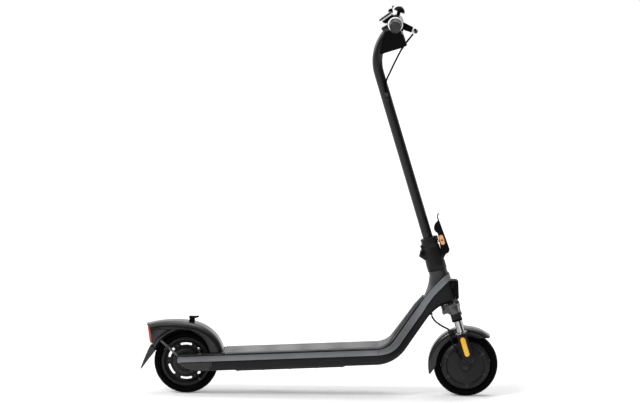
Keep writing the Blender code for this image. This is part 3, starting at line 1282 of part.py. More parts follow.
def make_stem(finishes, stem):
    """Stem tube, handlebar, grips and the cover between stem and bar."""
    start = BASE_TOP + FIT_GAP + 0.003 + FIT_GAP
    pole = tube("stem_tube", stem_route(start), STEM_RADIUS, finishes["frame_paint"], stem, fineness=6)
    port = box("cable_port", (STEM_RADIUS - 0.003, -CABLE_PORT_HALF_WIDTH, PORT_ON_STEM - CABLE_PORT_LENGTH),
               (STEM_RADIUS + CABLE_PORT_PROUD, CABLE_PORT_HALF_WIDTH, PORT_ON_STEM), None, stem)
    port.data.transform(Matrix.Rotation(-CABLE_PORT_TURN, 4, "Z"))
    join(pole, port)
    clear = BAR_RADIUS + FIT_GAP
    reach = BAR_HALF_LENGTH + 0.02
    cut(pole, rod("bar_saddle", (BAR_AHEAD, -0.05, BAR_UP), (BAR_AHEAD, 0.05, BAR_UP), clear, None, stem,
                  sides=24))

    end = BAR_HALF_LENGTH - GRIP_CAP - FIT_GAP
    inner = BAR_RADIUS - BAR_WALL
    profile = [(inner, end), (BAR_RADIUS, end), (BAR_RADIUS, -end), (inner, -end)]
    turned("handlebar", profile, finishes["black_plastic"], stem, (BAR_AHEAD, 0.0, BAR_UP), closed=True)

    outline = [(-0.0725, -0.0815), (-0.0595, -0.0800), (-0.0045, -0.0795), (0.0095, -0.0775),
               (0.0125, -0.0735), (0.0140, -0.0605), (0.0125, -0.0325), (0.0155, -0.0145),
               (0.0175, -0.0005), (0.0155, 0.0135), (0.0085, 0.0240)]
    outline = [(BAR_AHEAD + x, BAR_UP + z) for x, z in outline]
    floor = -DASH_DEPTH - FIT_GAP
    outline += [dash_point(DASH_HALF_LENGTH - 0.0002, floor), dash_point(0.0041 - DASH_HALF_LENGTH, floor)]
    back = [(-0.0385, -0.0025), (-0.0505, -0.0305), (-0.0665, -0.0585)]
    outline += [(BAR_AHEAD + x, BAR_UP + z) for x, z in back]
    cover = plate("head_cover", outline, -HEAD_COVER_HALF_WIDTH, HEAD_COVER_HALF_WIDTH,
                  finishes["black_plastic"], stem)
    cut(cover, tube("stem_clearance", stem_route(STEM_STRAIGHT_TOP - 0.05), STEM_RADIUS + FIT_GAP, None,
                    stem, fineness=6))
    cut(cover, rod("bar_clearance", (BAR_AHEAD, -reach, BAR_UP), (BAR_AHEAD, reach, BAR_UP), clear, None,
                   stem, sides=24))
    make_grips(finishes, stem)


def make_grips(finishes, stem):
    """The two rubber grips, each closed at its outer end."""
    bore = BAR_RADIUS + FIT_GAP
    start, end = GRIP_START, BAR_HALF_LENGTH
    floor = end - GRIP_CAP
    outline = [
        (0.0, end), (GRIP_END_RADIUS - 0.002, end), (GRIP_END_RADIUS, end - 0.003),
        (GRIP_RADIUS, end - 0.010), (GRIP_RADIUS, start + 0.012),
        (GRIP_FLANGE_RADIUS, start + 0.006), (GRIP_FLANGE_RADIUS, start),
        (bore, start), (bore, floor), (0.0, floor)]
    at = (BAR_AHEAD, 0.0, BAR_UP)
    turned("grip_left", outline, finishes["grip_rubber"], stem, at)
    mirrored = [(radius, -across) for radius, across in reversed(outline)]
    turned("grip_right", mirrored, finishes["grip_rubber"], stem, at)


def make_dash(finishes, dash, button):
    """The display on top of the cover, with its lens and the power button."""
    half_x, half_y = DASH_HALF_LENGTH, DASH_HALF_WIDTH
    housing = box("display_housing", (-half_x, -half_y, -DASH_DEPTH), (half_x, half_y, 0.0),
                  finishes["black_plastic"], dash, 0.002)
    button_x = -half_x + POWER_BUTTON_RADIUS + 0.003
    cut(housing, rod("power_well", (button_x, 0, -0.004), (button_x, 0, 0.01),
                     POWER_BUTTON_RADIUS + RUN_GAP, None, dash))
    lens_start = button_x + POWER_BUTTON_RADIUS + 0.002
    box("display_lens", (lens_start, -half_y + 0.003, FIT_GAP), (half_x - 0.002, half_y - 0.003,
        FIT_GAP + DASH_LENS_THICKNESS), finishes["display_glass"], dash, 0.0008)
    rod("power_button", (button_x, 0, -0.0020), (button_x, 0, 0.0020), POWER_BUTTON_RADIUS,
        finishes["grey_plastic"], button)


def bar_ring(name, inner, low, high, radius, finish, pivot):
    """A ring round the handlebar."""
    profile = [(inner, high), (radius, high), (radius, low), (inner, low)]
    return turned(name, profile, finish, pivot, (BAR_AHEAD, 0.0, BAR_UP), closed=True)


def make_throttle(finishes, stem, thumb):
    """The throttle's housing and its thumb lever on the right of the bar."""
    high = -THROTTLE_INNER
    low = high - THROTTLE_RING_WIDTH
    clear = BAR_RADIUS + FIT_GAP
    housing_end = FIT_GAP + 0.001 - GRIP_START
    housing = bar_ring("throttle_housing", clear, housing_end, low - RUN_GAP, 0.0195,
                       finishes["black_plastic"], stem)
    clamp = [(BAR_AHEAD + 0.006, BAR_UP - 0.015), (BAR_AHEAD + 0.014, BAR_UP - 0.011),
             (BAR_AHEAD + 0.0205, BAR_UP - 0.0225), (BAR_AHEAD + 0.014, BAR_UP - 0.0265)]
    join(housing, plate("throttle_clamp", clamp, housing_end, low - RUN_GAP, None, stem))
    lever = bar_ring("throttle_lever", BAR_RADIUS + RUN_GAP, low, high, 0.016, finishes["black_plastic"],
                     thumb)
    tip = BAR_AHEAD - THROTTLE_REACH
    outline = [(BAR_AHEAD - 0.0125, BAR_UP - 0.007), (BAR_AHEAD - 0.0125, BAR_UP + 0.007),
               (BAR_AHEAD - 0.030, BAR_UP + 0.005), (tip, BAR_UP + 0.001),
               (tip + 0.002, BAR_UP - 0.007), (tip + 0.007, BAR_UP - 0.0105),
               (BAR_AHEAD - 0.028, BAR_UP - 0.010)]
    join(lever, plate("thumb_paddle", outline, low, high + 0.012, None, thumb))


def make_brake_lever(finishes, perch_frame, pull):
    """The brake perch on the left of the bar and its lever. X points from the bar to the pivot."""
    clear = BAR_RADIUS + FIT_GAP
    low, high = PERCH_INNER, PERCH_INNER + PERCH_WIDTH
    profile = [(clear, high), (0.0165, high), (0.0165, low), (clear, low)]
    perch = turned("brake_perch", profile, finishes["black_plastic"], perch_frame, closed=True)
    pivot_y = high - 0.006
    reach = LEVER_PIVOT_REACH
    join(perch, box("perch_block", (0.0135, low, -0.0095), (reach + 0.010, high, 0.009), None, perch_frame))
    join(perch, rod("cable_adjuster", (reach + 0.008, ADJUSTER_SIDE, 0), (ADJUSTER_REACH, ADJUSTER_SIDE, 0),
                    0.0038, None, perch_frame, sides=16))
    thick = 0.005
    slot = thick + RUN_GAP
    cut(perch, box("lever_slot", (reach - 0.0085, pivot_y - 0.0085, -slot),
                   (reach + 0.012, high + 0.02, slot), None, perch_frame))
    join(perch, rod("lever_pin", (reach, pivot_y, -slot - 0.001), (reach, pivot_y, slot + 0.001), 0.0025,
                    None, perch_frame, sides=16))
    blade = LEVER_BLADE_REACH
    eye = arc((reach, pivot_y), 0.0072, 100, 350, 8)
    outline = eye + [
        (reach + 0.013, high), (blade - 0.004, high + 0.022), (blade + 0.004, high + 0.040),
        (blade + 0.005, LEVER_TIP - 0.010), (blade + 0.002, LEVER_TIP), (blade - 0.004, LEVER_TIP),
        (blade - 0.005, LEVER_TIP - 0.012), (blade - 0.006, high + 0.042),
        (blade - 0.013, high + 0.028), (reach + 0.002, high + 0.008)]
    lever = plate("brake_lever", outline, -thick, thick, finishes["black_plastic"], pull, plane="XY")
    cut(lever, rod("lever_hole", (reach, pivot_y, -0.02), (reach, pivot_y, 0.02), 0.0025 + RUN_GAP, None,
                   pull, sides=16))


# Corners of the brake cable, as shares of three spans: from the stem's axis to the bar, from the
# middle to the adjuster, and from the port up to the bar
BRAKE_CABLE_CORNERS = (
    (1.4381, 1.0000, 0.7865), (1.4635, 0.9967, 0.7681), (1.4444, 0.9812, 0.7456),
    (1.3651, 0.9392, 0.7157), (1.1672, 0.8398, 0.6529), (1.0000, 0.7293, 0.5935),
    (0.8487, 0.6188, 0.5307), (0.5492, 0.3757, 0.3855), (0.4286, 0.2265, 0.3237),
    (0.3333, 0.0939, 0.2748), (0.2593, -0.0166, 0.2379), (0.2011, -0.1050, 0.2070),
    (0.1429, -0.1713, 0.1646), (0.0899, -0.2066, 0.1097), (0.0529, -0.2243, 0.0499),
    (0.0381, -0.2287, 0.0030))


def make_brake_cable(finishes, stem):
    """The outer cable from the perch, round the front of the stem, to the port on its right."""
    corners = [(ahead * BAR_AHEAD, side * ADJUSTER_SIDE, PORT_ON_STEM + up * (BAR_UP - PORT_ON_STEM))
               for ahead, side, up in BRAKE_CABLE_CORNERS]
    tube("brake_cable", smooth_route(corners, 4), BRAKE_CABLE_RADIUS, finishes["black_plastic"], stem,
         fineness=2)


def make_bell(finishes, stem, striker):
    """A bell on the left of the bar: clamp, post and dome in one, and its sprung striker."""
    clear = BAR_RADIUS + FIT_GAP
    low = BELL_OFFSET
    high = low + 0.012
    middle = (low + high) / 2
    bell = bar_ring("bell", clear, low, high, 0.015, finishes["black_plastic"], stem)
    base = Vector((BELL_AHEAD, middle, BELL_UP))
    out = Vector((math.sin(BELL_TILT), 0.0, math.cos(BELL_TILT)))
    bar = Vector((BAR_AHEAD, middle, BAR_UP))
    join(bell, rod("bell_post", bar + (base - bar).normalized() * 0.0125, base + out * 0.004, 0.005, None,
                   stem, sides=16))
    wall = 0.0015
    outer = [polar(BELL_RADIUS, angle) for angle in (90, 68, 45, 22, 0)]
    inner = [polar(BELL_RADIUS - wall, angle) for angle in (0, 45, 90)]
    profile = [(0.0, outer[0][1])] + outer[1:]
    inner_profile = inner[:-1] + [(0.0, inner[-1][1])]
    dome = turned("bell_dome", profile + inner_profile, None, stem, base, axis="Z", tilt=BELL_TILT, steps=24)
    join(bell, dome)
    join(bell, rod("bell_stalk", base, base + out * (BELL_RADIUS - 0.0005), 0.0035, None, stem, sides=16))

    hinge = Vector((BAR_AHEAD - STRIKER_HINGE_BACK, 0.0, BAR_UP + STRIKER_HINGE_UP))
    reach = (hinge - Vector((BAR_AHEAD, 0.0, BAR_UP))).normalized()
    side = Vector((-reach.z, 0.0, reach.x)) * 0.0028
    root = hinge - reach * 0.0075
    web = [(v.x, v.z) for v in (root + side, root - side, hinge - side, hinge + side)]
    inner = middle - 0.003 - RUN_GAP
    for start, end in ((low, inner), (2 * middle - inner, high)):
        join(bell, plate(f"striker_ear_{start:.3f}", web, start, end, None, stem))
        join(bell, rod(f"striker_boss_{start:.3f}", (hinge.x, start, hinge.z), (hinge.x, end, hinge.z),
                       0.003, None, stem, sides=16))
    join(bell, rod("striker_pin", (hinge.x, low + 0.001, hinge.z), (hinge.x, high - 0.001, hinge.z),
                   STRIKER_PIN, None, stem, sides=12))
    outline = [(-0.0270, 0.0010), (-0.0210, 0.0020), (-0.0200, 0.0095), (-0.0150, 0.0150),
               (-0.0135, 0.0190), (-0.0165, 0.0210), (-0.0230, 0.0150), (-0.0310, 0.0135),
               (-0.0330, 0.0080), (-0.0315, 0.0010)]
    outline = [(BELL_AHEAD + x, BELL_UP + z) for x, z in outline]
    outline = [(hinge.x - 0.002, hinge.z - 0.002), (hinge.x + 0.002, hinge.z + 0.001)] + outline
    arm = plate("bell_striker", outline, middle - 0.003, middle + 0.003, finishes["steel"], striker)
    join(arm, rod("striker_eye", (hinge.x, middle - 0.003, hinge.z), (hinge.x, middle + 0.003, hinge.z),
                  0.0042, None, striker, sides=16))
    cut(arm, rod("striker_hole", (hinge.x, low, hinge.z), (hinge.x, high, hinge.z),
                 STRIKER_PIN + RUN_GAP, None, striker, sides=12))


def make_kickstand(finishes, frame, swing):
    """The side stand, folded back under the left edge of the deck."""
    lug_outer = STAND_LUG_INNER + STAND_LUG_WIDTH
    head_start = lug_outer + RUN_GAP
    x, z = deck_point(STAND_U, -STAND_DROP)
    head = rod("kickstand_leg", (x, head_start, z), (x, head_start + 0.008, z), STAND_RADIUS,
               finishes["black_plastic"], swing)
    x, z = deck_point(STAND_U - 0.004, -STAND_DROP + 0.001)
    tip_x, tip_z = deck_point(STAND_U - STAND_LENGTH, -STAND_DROP + 0.001)
    across = head_start + 0.0055
    join(head, rod("stand_tube", (x, across, z), (tip_x, across, tip_z), STAND_LEG_RADIUS, None, swing,
                   sides=16))
    return head


def make_charge_cap(finishes, cap):
    """The rubber flap over the charge port on the left side."""
    face = DECK_HALF_WIDTH + FIT_GAP
    deck_box("charge_port_cap", (PORT_U - CAP_LENGTH / 2, PORT_U + CAP_LENGTH / 2),
             (face, face + CAP_THICKNESS), (PORT_H - CAP_HEIGHT / 2, PORT_H + CAP_HEIGHT / 2),
             finishes["grip_rubber"], cap, 0.001)


def build():
    """Make every pivot and every piece."""
    clear_scene()
    finishes = make_materials()

    frame = new_pivot("frame_origin", None, (0, 0, 0))
    rear_wheel = new_pivot("rear_wheel_axis", frame, (REAR_X, 0, AXLE_HEIGHT))
    arm_at = (REAR_X + 0.026, AXLE_HEIGHT - 0.024)
    brake_arm = new_pivot("brake_arm_axis", frame, (arm_at[0], STAY_OFFSET, arm_at[1]))
    stand_x, stand_z = deck_point(STAND_U, -STAND_DROP)
    kickstand = new_pivot("kickstand_axis", frame, (stand_x, STAND_LUG_INNER + STAND_LUG_WIDTH, stand_z))
    cap_x, cap_z = deck_point(PORT_U, PORT_H + CAP_HEIGHT / 2)
    cap_face = DECK_HALF_WIDTH + FIT_GAP + CAP_THICKNESS
    charge_cap = new_pivot("charge_cap_axis", frame, (cap_x, cap_face, cap_z))

    steer = new_pivot("steering_axis", frame, (FRONT_X, 0, AXLE_HEIGHT), (0, -STEER_ANGLE, 0))
    lower = new_pivot("fork_travel_axis", steer, (0, 0, 0))
    front_wheel = new_pivot("front_wheel_axis", lower, (0, 0, 0))
    latch = new_pivot("latch_axis", steer, (LATCH_PIVOT_AHEAD, 0, LATCH_PIVOT_UP))
    latch_button = new_pivot("latch_button_axis", latch, (BUTTON_AHEAD, -LATCH_HALF_WIDTH, BUTTON_UP))
    stem = new_pivot("stem_fold_axis", steer, (HINGE_AHEAD, 0, HINGE_UP))
    thumb = new_pivot("throttle_axis", stem, (BAR_AHEAD, -THROTTLE_INNER, BAR_UP))
    striker = new_pivot("bell_striker_axis", stem,
                        (BAR_AHEAD - STRIKER_HINGE_BACK, BELL_OFFSET, BAR_UP + STRIKER_HINGE_UP))
    dash = new_pivot("dash_frame", stem, (DASH_AHEAD, 0, DASH_UP), (0, DASH_TILT, 0))
    power = new_pivot("power_button_axis", dash, (POWER_BUTTON_RADIUS + 0.003 - DASH_HALF_LENGTH, 0, 0))
    perch = new_pivot("perch_frame", stem, (BAR_AHEAD, 0, BAR_UP), (0, LEVER_PITCH, 0))
    pull = new_pivot("brake_lever_axis", perch, (LEVER_PIVOT_REACH, PERCH_INNER + PERCH_WIDTH - 0.006, 0))

    make_chassis(finishes, frame, steer)
    make_deck_mat(finishes, frame)
    make_side_trim(finishes, frame)
    make_deck_contents(finishes, frame)
    make_headlight(finishes, steer)
    make_headset(finishes, steer)
    make_rear_fender(finishes, frame)
    make_rear_axle(finishes, frame)
    make_rear_wheel(finishes, rear_wheel)
    make_brake_arm(finishes, brake_arm, arm_at)
    make_kickstand(finishes, frame, kickstand)
    make_charge_cap(finishes, charge_cap)
    make_fork_crown(finishes, steer)
    make_lower_fork(finishes, lower)
    make_front_fender(finishes, lower)
    make_front_wheel(finishes, front_wheel)
    make_motor_cable(finishes, steer)
    make_fold_base(finishes, steer)
    make_latch(finishes, latch, latch_button)
    make_stem_collar(finishes, stem)
    make_stem(finishes, stem)
    make_dash(finishes, dash, power)
    make_throttle(finishes, stem, thumb)
    make_brake_lever(finishes, perch, pull)
    make_brake_cable(finishes, stem)
    make_bell(finishes, stem, striker)
    bpy.context.view_layer.update()


build()
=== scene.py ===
"""The looks of the electric scooter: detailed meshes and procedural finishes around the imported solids.

Sizes are in metres. The scooter faces +X and its right side, which the camera sees, faces -Y.
The front end is modelled in the steering frame: X is ahead of the steering axis, Z is along it,
and the origin is the front axle.
"""
import math

import bmesh
import bpy
from mathutils import Matrix, Vector


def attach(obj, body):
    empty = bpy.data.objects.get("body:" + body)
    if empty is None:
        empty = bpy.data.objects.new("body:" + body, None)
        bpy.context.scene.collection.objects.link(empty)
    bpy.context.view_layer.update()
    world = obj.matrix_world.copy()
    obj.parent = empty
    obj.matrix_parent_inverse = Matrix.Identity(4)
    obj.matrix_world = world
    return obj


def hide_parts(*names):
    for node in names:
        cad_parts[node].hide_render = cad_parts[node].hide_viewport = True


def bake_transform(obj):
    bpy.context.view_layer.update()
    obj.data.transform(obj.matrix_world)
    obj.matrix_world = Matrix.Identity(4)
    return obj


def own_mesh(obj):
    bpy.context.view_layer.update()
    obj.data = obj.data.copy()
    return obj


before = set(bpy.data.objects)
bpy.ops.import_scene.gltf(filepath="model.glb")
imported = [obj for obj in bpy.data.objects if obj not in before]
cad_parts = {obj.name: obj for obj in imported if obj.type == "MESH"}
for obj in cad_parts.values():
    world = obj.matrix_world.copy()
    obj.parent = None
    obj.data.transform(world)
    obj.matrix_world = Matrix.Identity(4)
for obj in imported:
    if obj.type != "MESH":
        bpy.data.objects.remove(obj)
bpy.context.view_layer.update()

FIT = 0.0003
SIDES = (("right", -1), ("left", 1))

# Wheels and their places
TYRE_RADIUS = 0.102
RIM_RADIUS = 0.078
AXLE_HEIGHT = TYRE_RADIUS * math.cos(math.pi / 40)
WHEELBASE = 0.8855
REAR_X = 0.145 - (0.145 + WHEELBASE + AXLE_HEIGHT) / 2
FRONT_X = REAR_X + WHEELBASE

# Chassis beam
DECK_PITCH = math.radians(2.7)
BELLY_HEIGHT = 0.0755
BEAM_DEPTH = 0.0535
DECK_HALF_WIDTH = 0.073
NECK_HALF_WIDTH = 0.032
DECK_RUN = 0.606
BEND_RADIUS = 0.119
DOWNTUBE_ANGLE = math.radians(54.8)
DOWNTUBE_RUN = 0.123
STEER_ANGLE = math.radians(17.0)
STEER_DEGREES = math.degrees(STEER_ANGLE)
HEAD_BOTTOM = 0.2015
HEAD_TOP = 0.314
HEAD_RADIUS = 0.029
TRIM_INSET, TRIM_HEIGHT = 0.004, 0.0175
NECK_TRIM_INSET, NECK_TRIM_HEIGHT = 0.008, 0.0215
FENDER_RADIUS = 0.127
LAMP_HALF_WIDTH = 0.0347
MAT_THICKNESS = 0.003
MAT_MARGIN = 0.005

# Front end, in the steering frame
LEG_OFFSET = 0.058
FORK_LEAD = 0.016
CROWN_TOP = 0.2009
BASE_TOP = 0.3912
HINGE_AHEAD = -0.03
HINGE_UP = 0.3775
LATCH_PIVOT = (0.0355, 0.3625)
LATCH_BUTTON = (0.0405, 0.402)
COLLAR_TOP = 0.4195
STEM_RADIUS = 0.016
STEM_STRAIGHT_TOP = 0.96
STEM_BEND_RADIUS = 0.135
PORT_UP = STEM_STRAIGHT_TOP - 0.064
PORT_TURN = math.radians(80)
BAR_AHEAD = 0.0945
BAR_UP = 1.0965
BAR_RADIUS = 0.0111
BAR_HALF_LENGTH = 0.235
GRIP_START = 0.113
DASH_AHEAD = BAR_AHEAD - 0.0235
DASH_UP = BAR_UP + 0.031
DASH_TILT = math.radians(-18.4)
DASH_HALF_LENGTH = 0.0205
DASH_HALF_WIDTH = 0.037
DASH_DEPTH = 0.013
BAR_DROOP = math.radians(1.5)
LEVER_PITCH = math.radians(46)
COVER_HALF_WIDTH = 0.021
PERCH_GAP = 0.003
PERCH_WIDTH = 0.024
BELL_GAP = 0.026

# Springs inside the stanchions
SPRING_BOTTOM = 0.0205
SPRING_TOP = 0.1805
SPRING_RADIUS = 0.0062
SPRING_WIRE_RADIUS = 0.0011
SPRING_TURNS = 18

# Cables. The brake cable's corners are shares of three spans: from the stem's axis to the bar, from the
# middle to the adjuster, and from the port up to the bar. The motor cable's are in the steering frame.
CABLE_RADIUS = 0.0028
ADJUSTER_SIDE = 0.0905
BRAKE_CABLE_CORNERS = (
    (1.4381, 1.0, 0.7865), (1.4635, 0.9967, 0.7681), (1.4444, 0.9812, 0.7456),
    (1.3651, 0.9392, 0.7157), (1.1672, 0.8398, 0.6529), (1.0, 0.7293, 0.5935),
    (0.8487, 0.6188, 0.5307), (0.5492, 0.3757, 0.3855), (0.4286, 0.2265, 0.3237),
    (0.3333, 0.0939, 0.2748), (0.2593, -0.0166, 0.2379), (0.2011, -0.105, 0.207),
    (0.1429, -0.1713, 0.1646), (0.0899, -0.2066, 0.1097), (0.0529, -0.2243, 0.0499),
    (0.0381, -0.2287, 0.003))
MOTOR_CABLE_CORNERS = (
    (-0.058, -0.012, 0.18), (-0.0575, -0.014, 0.172), (-0.052, -0.021, 0.16), (-0.042, -0.029, 0.1475),
    (-0.031, -0.037, 0.137), (-0.0225, -0.0425, 0.1305), (-0.0192, -0.0438, 0.127), (-0.0185, -0.044, 0.124))

# The camera's place, worked out from the photograph's perspective
CAMERA_AZIMUTH = math.radians(1.8)
CAMERA_ELEVATION = math.radians(6.2)
CAMERA_DISTANCE = 9.2
CAMERA_ROLL = math.radians(0.3669)
CAMERA_TARGET = Vector(((REAR_X + FRONT_X) / 2, 0.0, 0.6))
CAMERA_SENSOR = 36.0
CAMERA_LENS = 164.13
CAMERA_SHIFT = (-0.01046, 0.00686)

# The studio's light. Each lamp has the direction that it stands in, its strength and its spread in degrees.
AMBIENT = 0.35
FLOOR_GLOW = 0.24
FLOOR_REACH = 20.0
SUNS = (
    ("key_lamp", (-0.6, -0.5, 0.8), 1.6, 20),
    ("top_lamp", (0.1, 0.2, 1.0), 1.0, 40),
    ("rim_lamp", (-1.0, 0.25, 0.35), 1.0, 30),
)


def about_y(angle):
    return Matrix.Rotation(angle, 4, "Y")


def shift(x, y, z):
    return Matrix.Translation((x, y, z))


def facing(at, out):
    """A frame at a point, with its Z along a direction."""
    return Matrix.Translation(at) @ Vector(out).to_track_quat("Z", "Y").to_matrix().to_4x4()


def span(sign, near, far):
    """Two distances from the middle as the low and the high end on one side."""
    return sorted((sign * near, sign * far))


STEER = shift(FRONT_X, 0, AXLE_HEIGHT) @ about_y(-STEER_ANGLE)
DECK = shift(REAR_X, 0, BELLY_HEIGHT) @ about_y(-DECK_PITCH)
REAR = shift(REAR_X, 0, AXLE_HEIGHT)
BAR = STEER @ shift(BAR_AHEAD, 0, BAR_UP)
DASH = STEER @ shift(DASH_AHEAD, 0, DASH_UP) @ about_y(DASH_TILT)
PERCH = BAR @ about_y(LEVER_PITCH)


def polar(radius, degrees):
    angle = math.radians(degrees)
    return radius * math.cos(angle), radius * math.sin(angle)


def arc(centre, radius, start, end, steps):
    """Points along an arc, with its angles in degrees."""
    points = []
    for step in range(steps + 1):
        across, up = polar(radius, start + (end - start) * step / steps)
        points.append((centre[0] + across, centre[1] + up))
    return points


def stadium(centre, half_width, half_length, steps=14):
    """An upright pill outline."""
    straight = half_length - half_width
    return (arc((centre[0], centre[1] + straight), half_width, 0, 180, steps)
            + arc((centre[0], centre[1] - straight), half_width, 180, 360, steps))


def rounded_box(low, high, radius, steps=5):
    """A flat box outline with round corners."""
    (x0, z0), (x1, z1) = low, high
    r = radius
    return (arc((x1 - r, z0 + r), r, -90, 0, steps) + arc((x1 - r, z1 - r), r, 0, 90, steps)
            + arc((x0 + r, z1 - r), r, 90, 180, steps) + arc((x0 + r, z0 + r), r, 180, 270, steps))


def curve_through(points, steps, loop=False):
    """Points on one smooth curve through the given ones."""
    points = [Vector(point) for point in points]
    if loop:
        padded = [points[-1]] + points + [points[0], points[1]]
    else:
        padded = [points[0] * 2 - points[1]] + points + [points[-1] * 2 - points[-2]]
    route = []
    for before, start, end, after in zip(padded, padded[1:], padded[2:], padded[3:]):
        for step in range(steps):
            t = step / steps
            route.append(0.5 * (
                start * 2 + (end - before) * t
                + (before * 2 - start * 5 + end * 4 - after) * t ** 2
                + (start * 3 - before - end * 3 + after) * t ** 3))
    if not loop:
        route.append(points[-1])
    return route


def softened(outline, radius, steps=3):
    """An outline whose corners are each cut to a small arc."""
    points = [Vector(point) for point in outline]
    count = len(points)
    result = []
    for index, corner in enumerate(points):
        before, after = points[index - 1], points[(index + 1) % count]
        back, ahead = before - corner, after - corner
        reach = min(radius, back.length * 0.45, ahead.length * 0.45)
        start, end = corner + back.normalized() * reach, corner + ahead.normalized() * reach
        for step in range(steps + 1):
            t = step / steps
            result.append(start * (1 - t) ** 2 + corner * 2 * t * (1 - t) + end * t ** 2)
    return [tuple(point) for point in result]


def eased(first, second, share):
    """A value between two values, eased at both ends."""
    share = min(max(share, 0.0), 1.0)
    return first + (second - first) * share * share * (3 - 2 * share)


class Shape:
    """A piece in the making. Each call adds one solid, rounded and placed, in the current finish."""

    def __init__(self, place=Matrix()):
        self.mesh = bmesh.new()
        self.place = place.copy()
        self.finish = 0

    def take(self, part, bevel=0.0, segments=2, place=None, angle=30):
        """Weld, round, colour and place a solid, and add it to the piece."""
        bmesh.ops.remove_doubles(part, verts=part.verts[:], dist=0.000001)
        bmesh.ops.recalc_face_normals(part, faces=part.faces[:])
        if bevel:
            limit = math.radians(angle)
            edges = [e for e in part.edges if len(e.link_faces) == 2 and e.calc_face_angle() > limit]
            bmesh.ops.bevel(part, geom=edges, offset=bevel, segments=segments, profile=0.5,
                            affect="EDGES", clamp_overlap=True)
        for face in part.faces:
            face.material_index = self.finish
        bmesh.ops.transform(part, matrix=self.place @ (place or Matrix()), verts=part.verts[:])
        data = bpy.data.meshes.new("part")
        part.to_mesh(data)
        part.free()
        self.mesh.from_mesh(data)
        bpy.data.meshes.remove(data)
        return self

    def block(self, low, high, bevel=0.0, **more):
        """A block between two corners."""
        low, high = Vector(low), Vector(high)
        part = bmesh.new()
        bmesh.ops.create_cube(part, size=1.0, matrix=Matrix.Translation((low + high) / 2)
                              @ Matrix.Diagonal((*(high - low), 1.0)))
        return self.take(part, bevel, **more)

    def prism(self, outline, low, high, bevel=0.0, plane="XZ", **more):
        """A flat outline given a thickness: across for XZ, upwards for XY."""
        if plane == "XZ":
            rings = [[(a, height, b) for a, b in outline] for height in (low, high)]
        else:
            rings = [[(a, b, height) for a, b in outline] for height in (low, high)]
        return self.skin(rings, bevel=bevel, **more)

    def lathe(self, profile, steps=64, axis="Y", loop=False, bevel=0.0, sign=1, **more):
        """A turned solid from (radius, height) points. A profile with a bore is closed by loop."""
        part = bmesh.new()
        rows = []
        for radius, height in profile:
            row = []
            for index in range(steps if radius > 0 else 1):
                angle = 2 * math.pi * index / steps
                a, b = radius * math.cos(angle), radius * math.sin(angle)
                row.append(part.verts.new((a, sign * height, b) if axis == "Y" else (a, b, sign * height)))
            rows.append(row)
        for first, second in zip(rows, rows[1:] + (rows[:1] if loop else [])):
            if len(first) == len(second) == 1:
                continue
            for index in range(steps):
                after = (index + 1) % steps
                corners = [first[index], first[after]] if len(first) > 1 else first[:]
                corners += [second[after], second[index]] if len(second) > 1 else second
                part.faces.new(corners)
        return self.take(part, bevel, **more)

    def rod(self, start, end, radius, sides=32, bevel=0.0, tip=None, **more):
        """A round bar between two points, tapered to the tip's radius."""
        start, end = Vector(start), Vector(end)
        along = end - start
        part = bmesh.new()
        bmesh.ops.create_cone(part, cap_ends=True, segments=sides, radius1=radius,
                              radius2=radius if tip is None else tip, depth=along.length,
                              matrix=facing((start + end) / 2, along))
        return self.take(part, bevel, **more)

    def skin(self, rings, caps=True, bevel=0.0, loop=False, **more):
        """A skin over rings of equally many points, capped or closed from the last ring to the first."""
        part = bmesh.new()
        rows = [[part.verts.new(point) for point in ring] for ring in rings]
        count = len(rows[0])
        for first, second in zip(rows, rows[1:] + (rows[:1] if loop else [])):
            for index in range(count):
                after = (index + 1) % count
                part.faces.new((first[index], first[after], second[after], second[index]))
        if caps and not loop:
            part.faces.new(rows[0])
            part.faces.new(rows[-1])
        return self.take(part, bevel, **more)

    def tube(self, points, radius, sides=16, caps=True, **more):
        """A round tube along points; radius is one number, or a function of the share of the way."""
        points = [Vector(point) for point in points]
        last = len(points) - 1
        side = None
        rings = []
        for index, point in enumerate(points):
            along = (points[min(index + 1, last)] - points[max(index - 1, 0)]).normalized()
            if side is None:
                side = along.orthogonal().normalized()
            side = (side - along * side.dot(along)).normalized()
            other = along.cross(side)
            wide = radius(index / last) if callable(radius) else radius
            rings.append([point + side * wide * math.cos(2 * math.pi * k / sides)
                          + other * wide * math.sin(2 * math.pi * k / sides) for k in range(sides)])
        return self.skin(rings, caps, **more)

    def screw(self, at, out, radius, height=0.0016):
        """A round screw head with a socket, standing on a surface."""
        bore = radius * 0.5
        profile = [(0, height * 0.2), (bore, height * 0.25), (bore, height * 0.96), (radius * 0.86, height),
                   (radius, height * 0.5), (radius, -0.0004), (0, -0.0004)]
        return self.lathe(profile, 30, "Z", place=facing(at, Vector(out).normalized()))

    def nut(self, at, out, radius, height):
        """A six-sided nut with chamfered corners and a washer under it."""
        place = facing(at, Vector(out).normalized())
        self.rod((0, 0, 0), (0, 0, height * 0.22), radius * 1.12, 40, 0.0002, place=place)
        hexagon = [polar(radius, 60 * k) for k in range(6)]
        return self.prism(hexagon, height * 0.2, height, 0.0006, "XY", place=place)


def link(name, data):
    """A new object in the scene."""
    thing = bpy.data.objects.new(name, data)
    bpy.context.scene.collection.objects.link(thing)
    return thing


def solid_object(name, work):
    """The shape as an object in the scene."""
    data = bpy.data.meshes.new(name)
    work.mesh.to_mesh(data)
    work.mesh.free()
    return link(name, data)


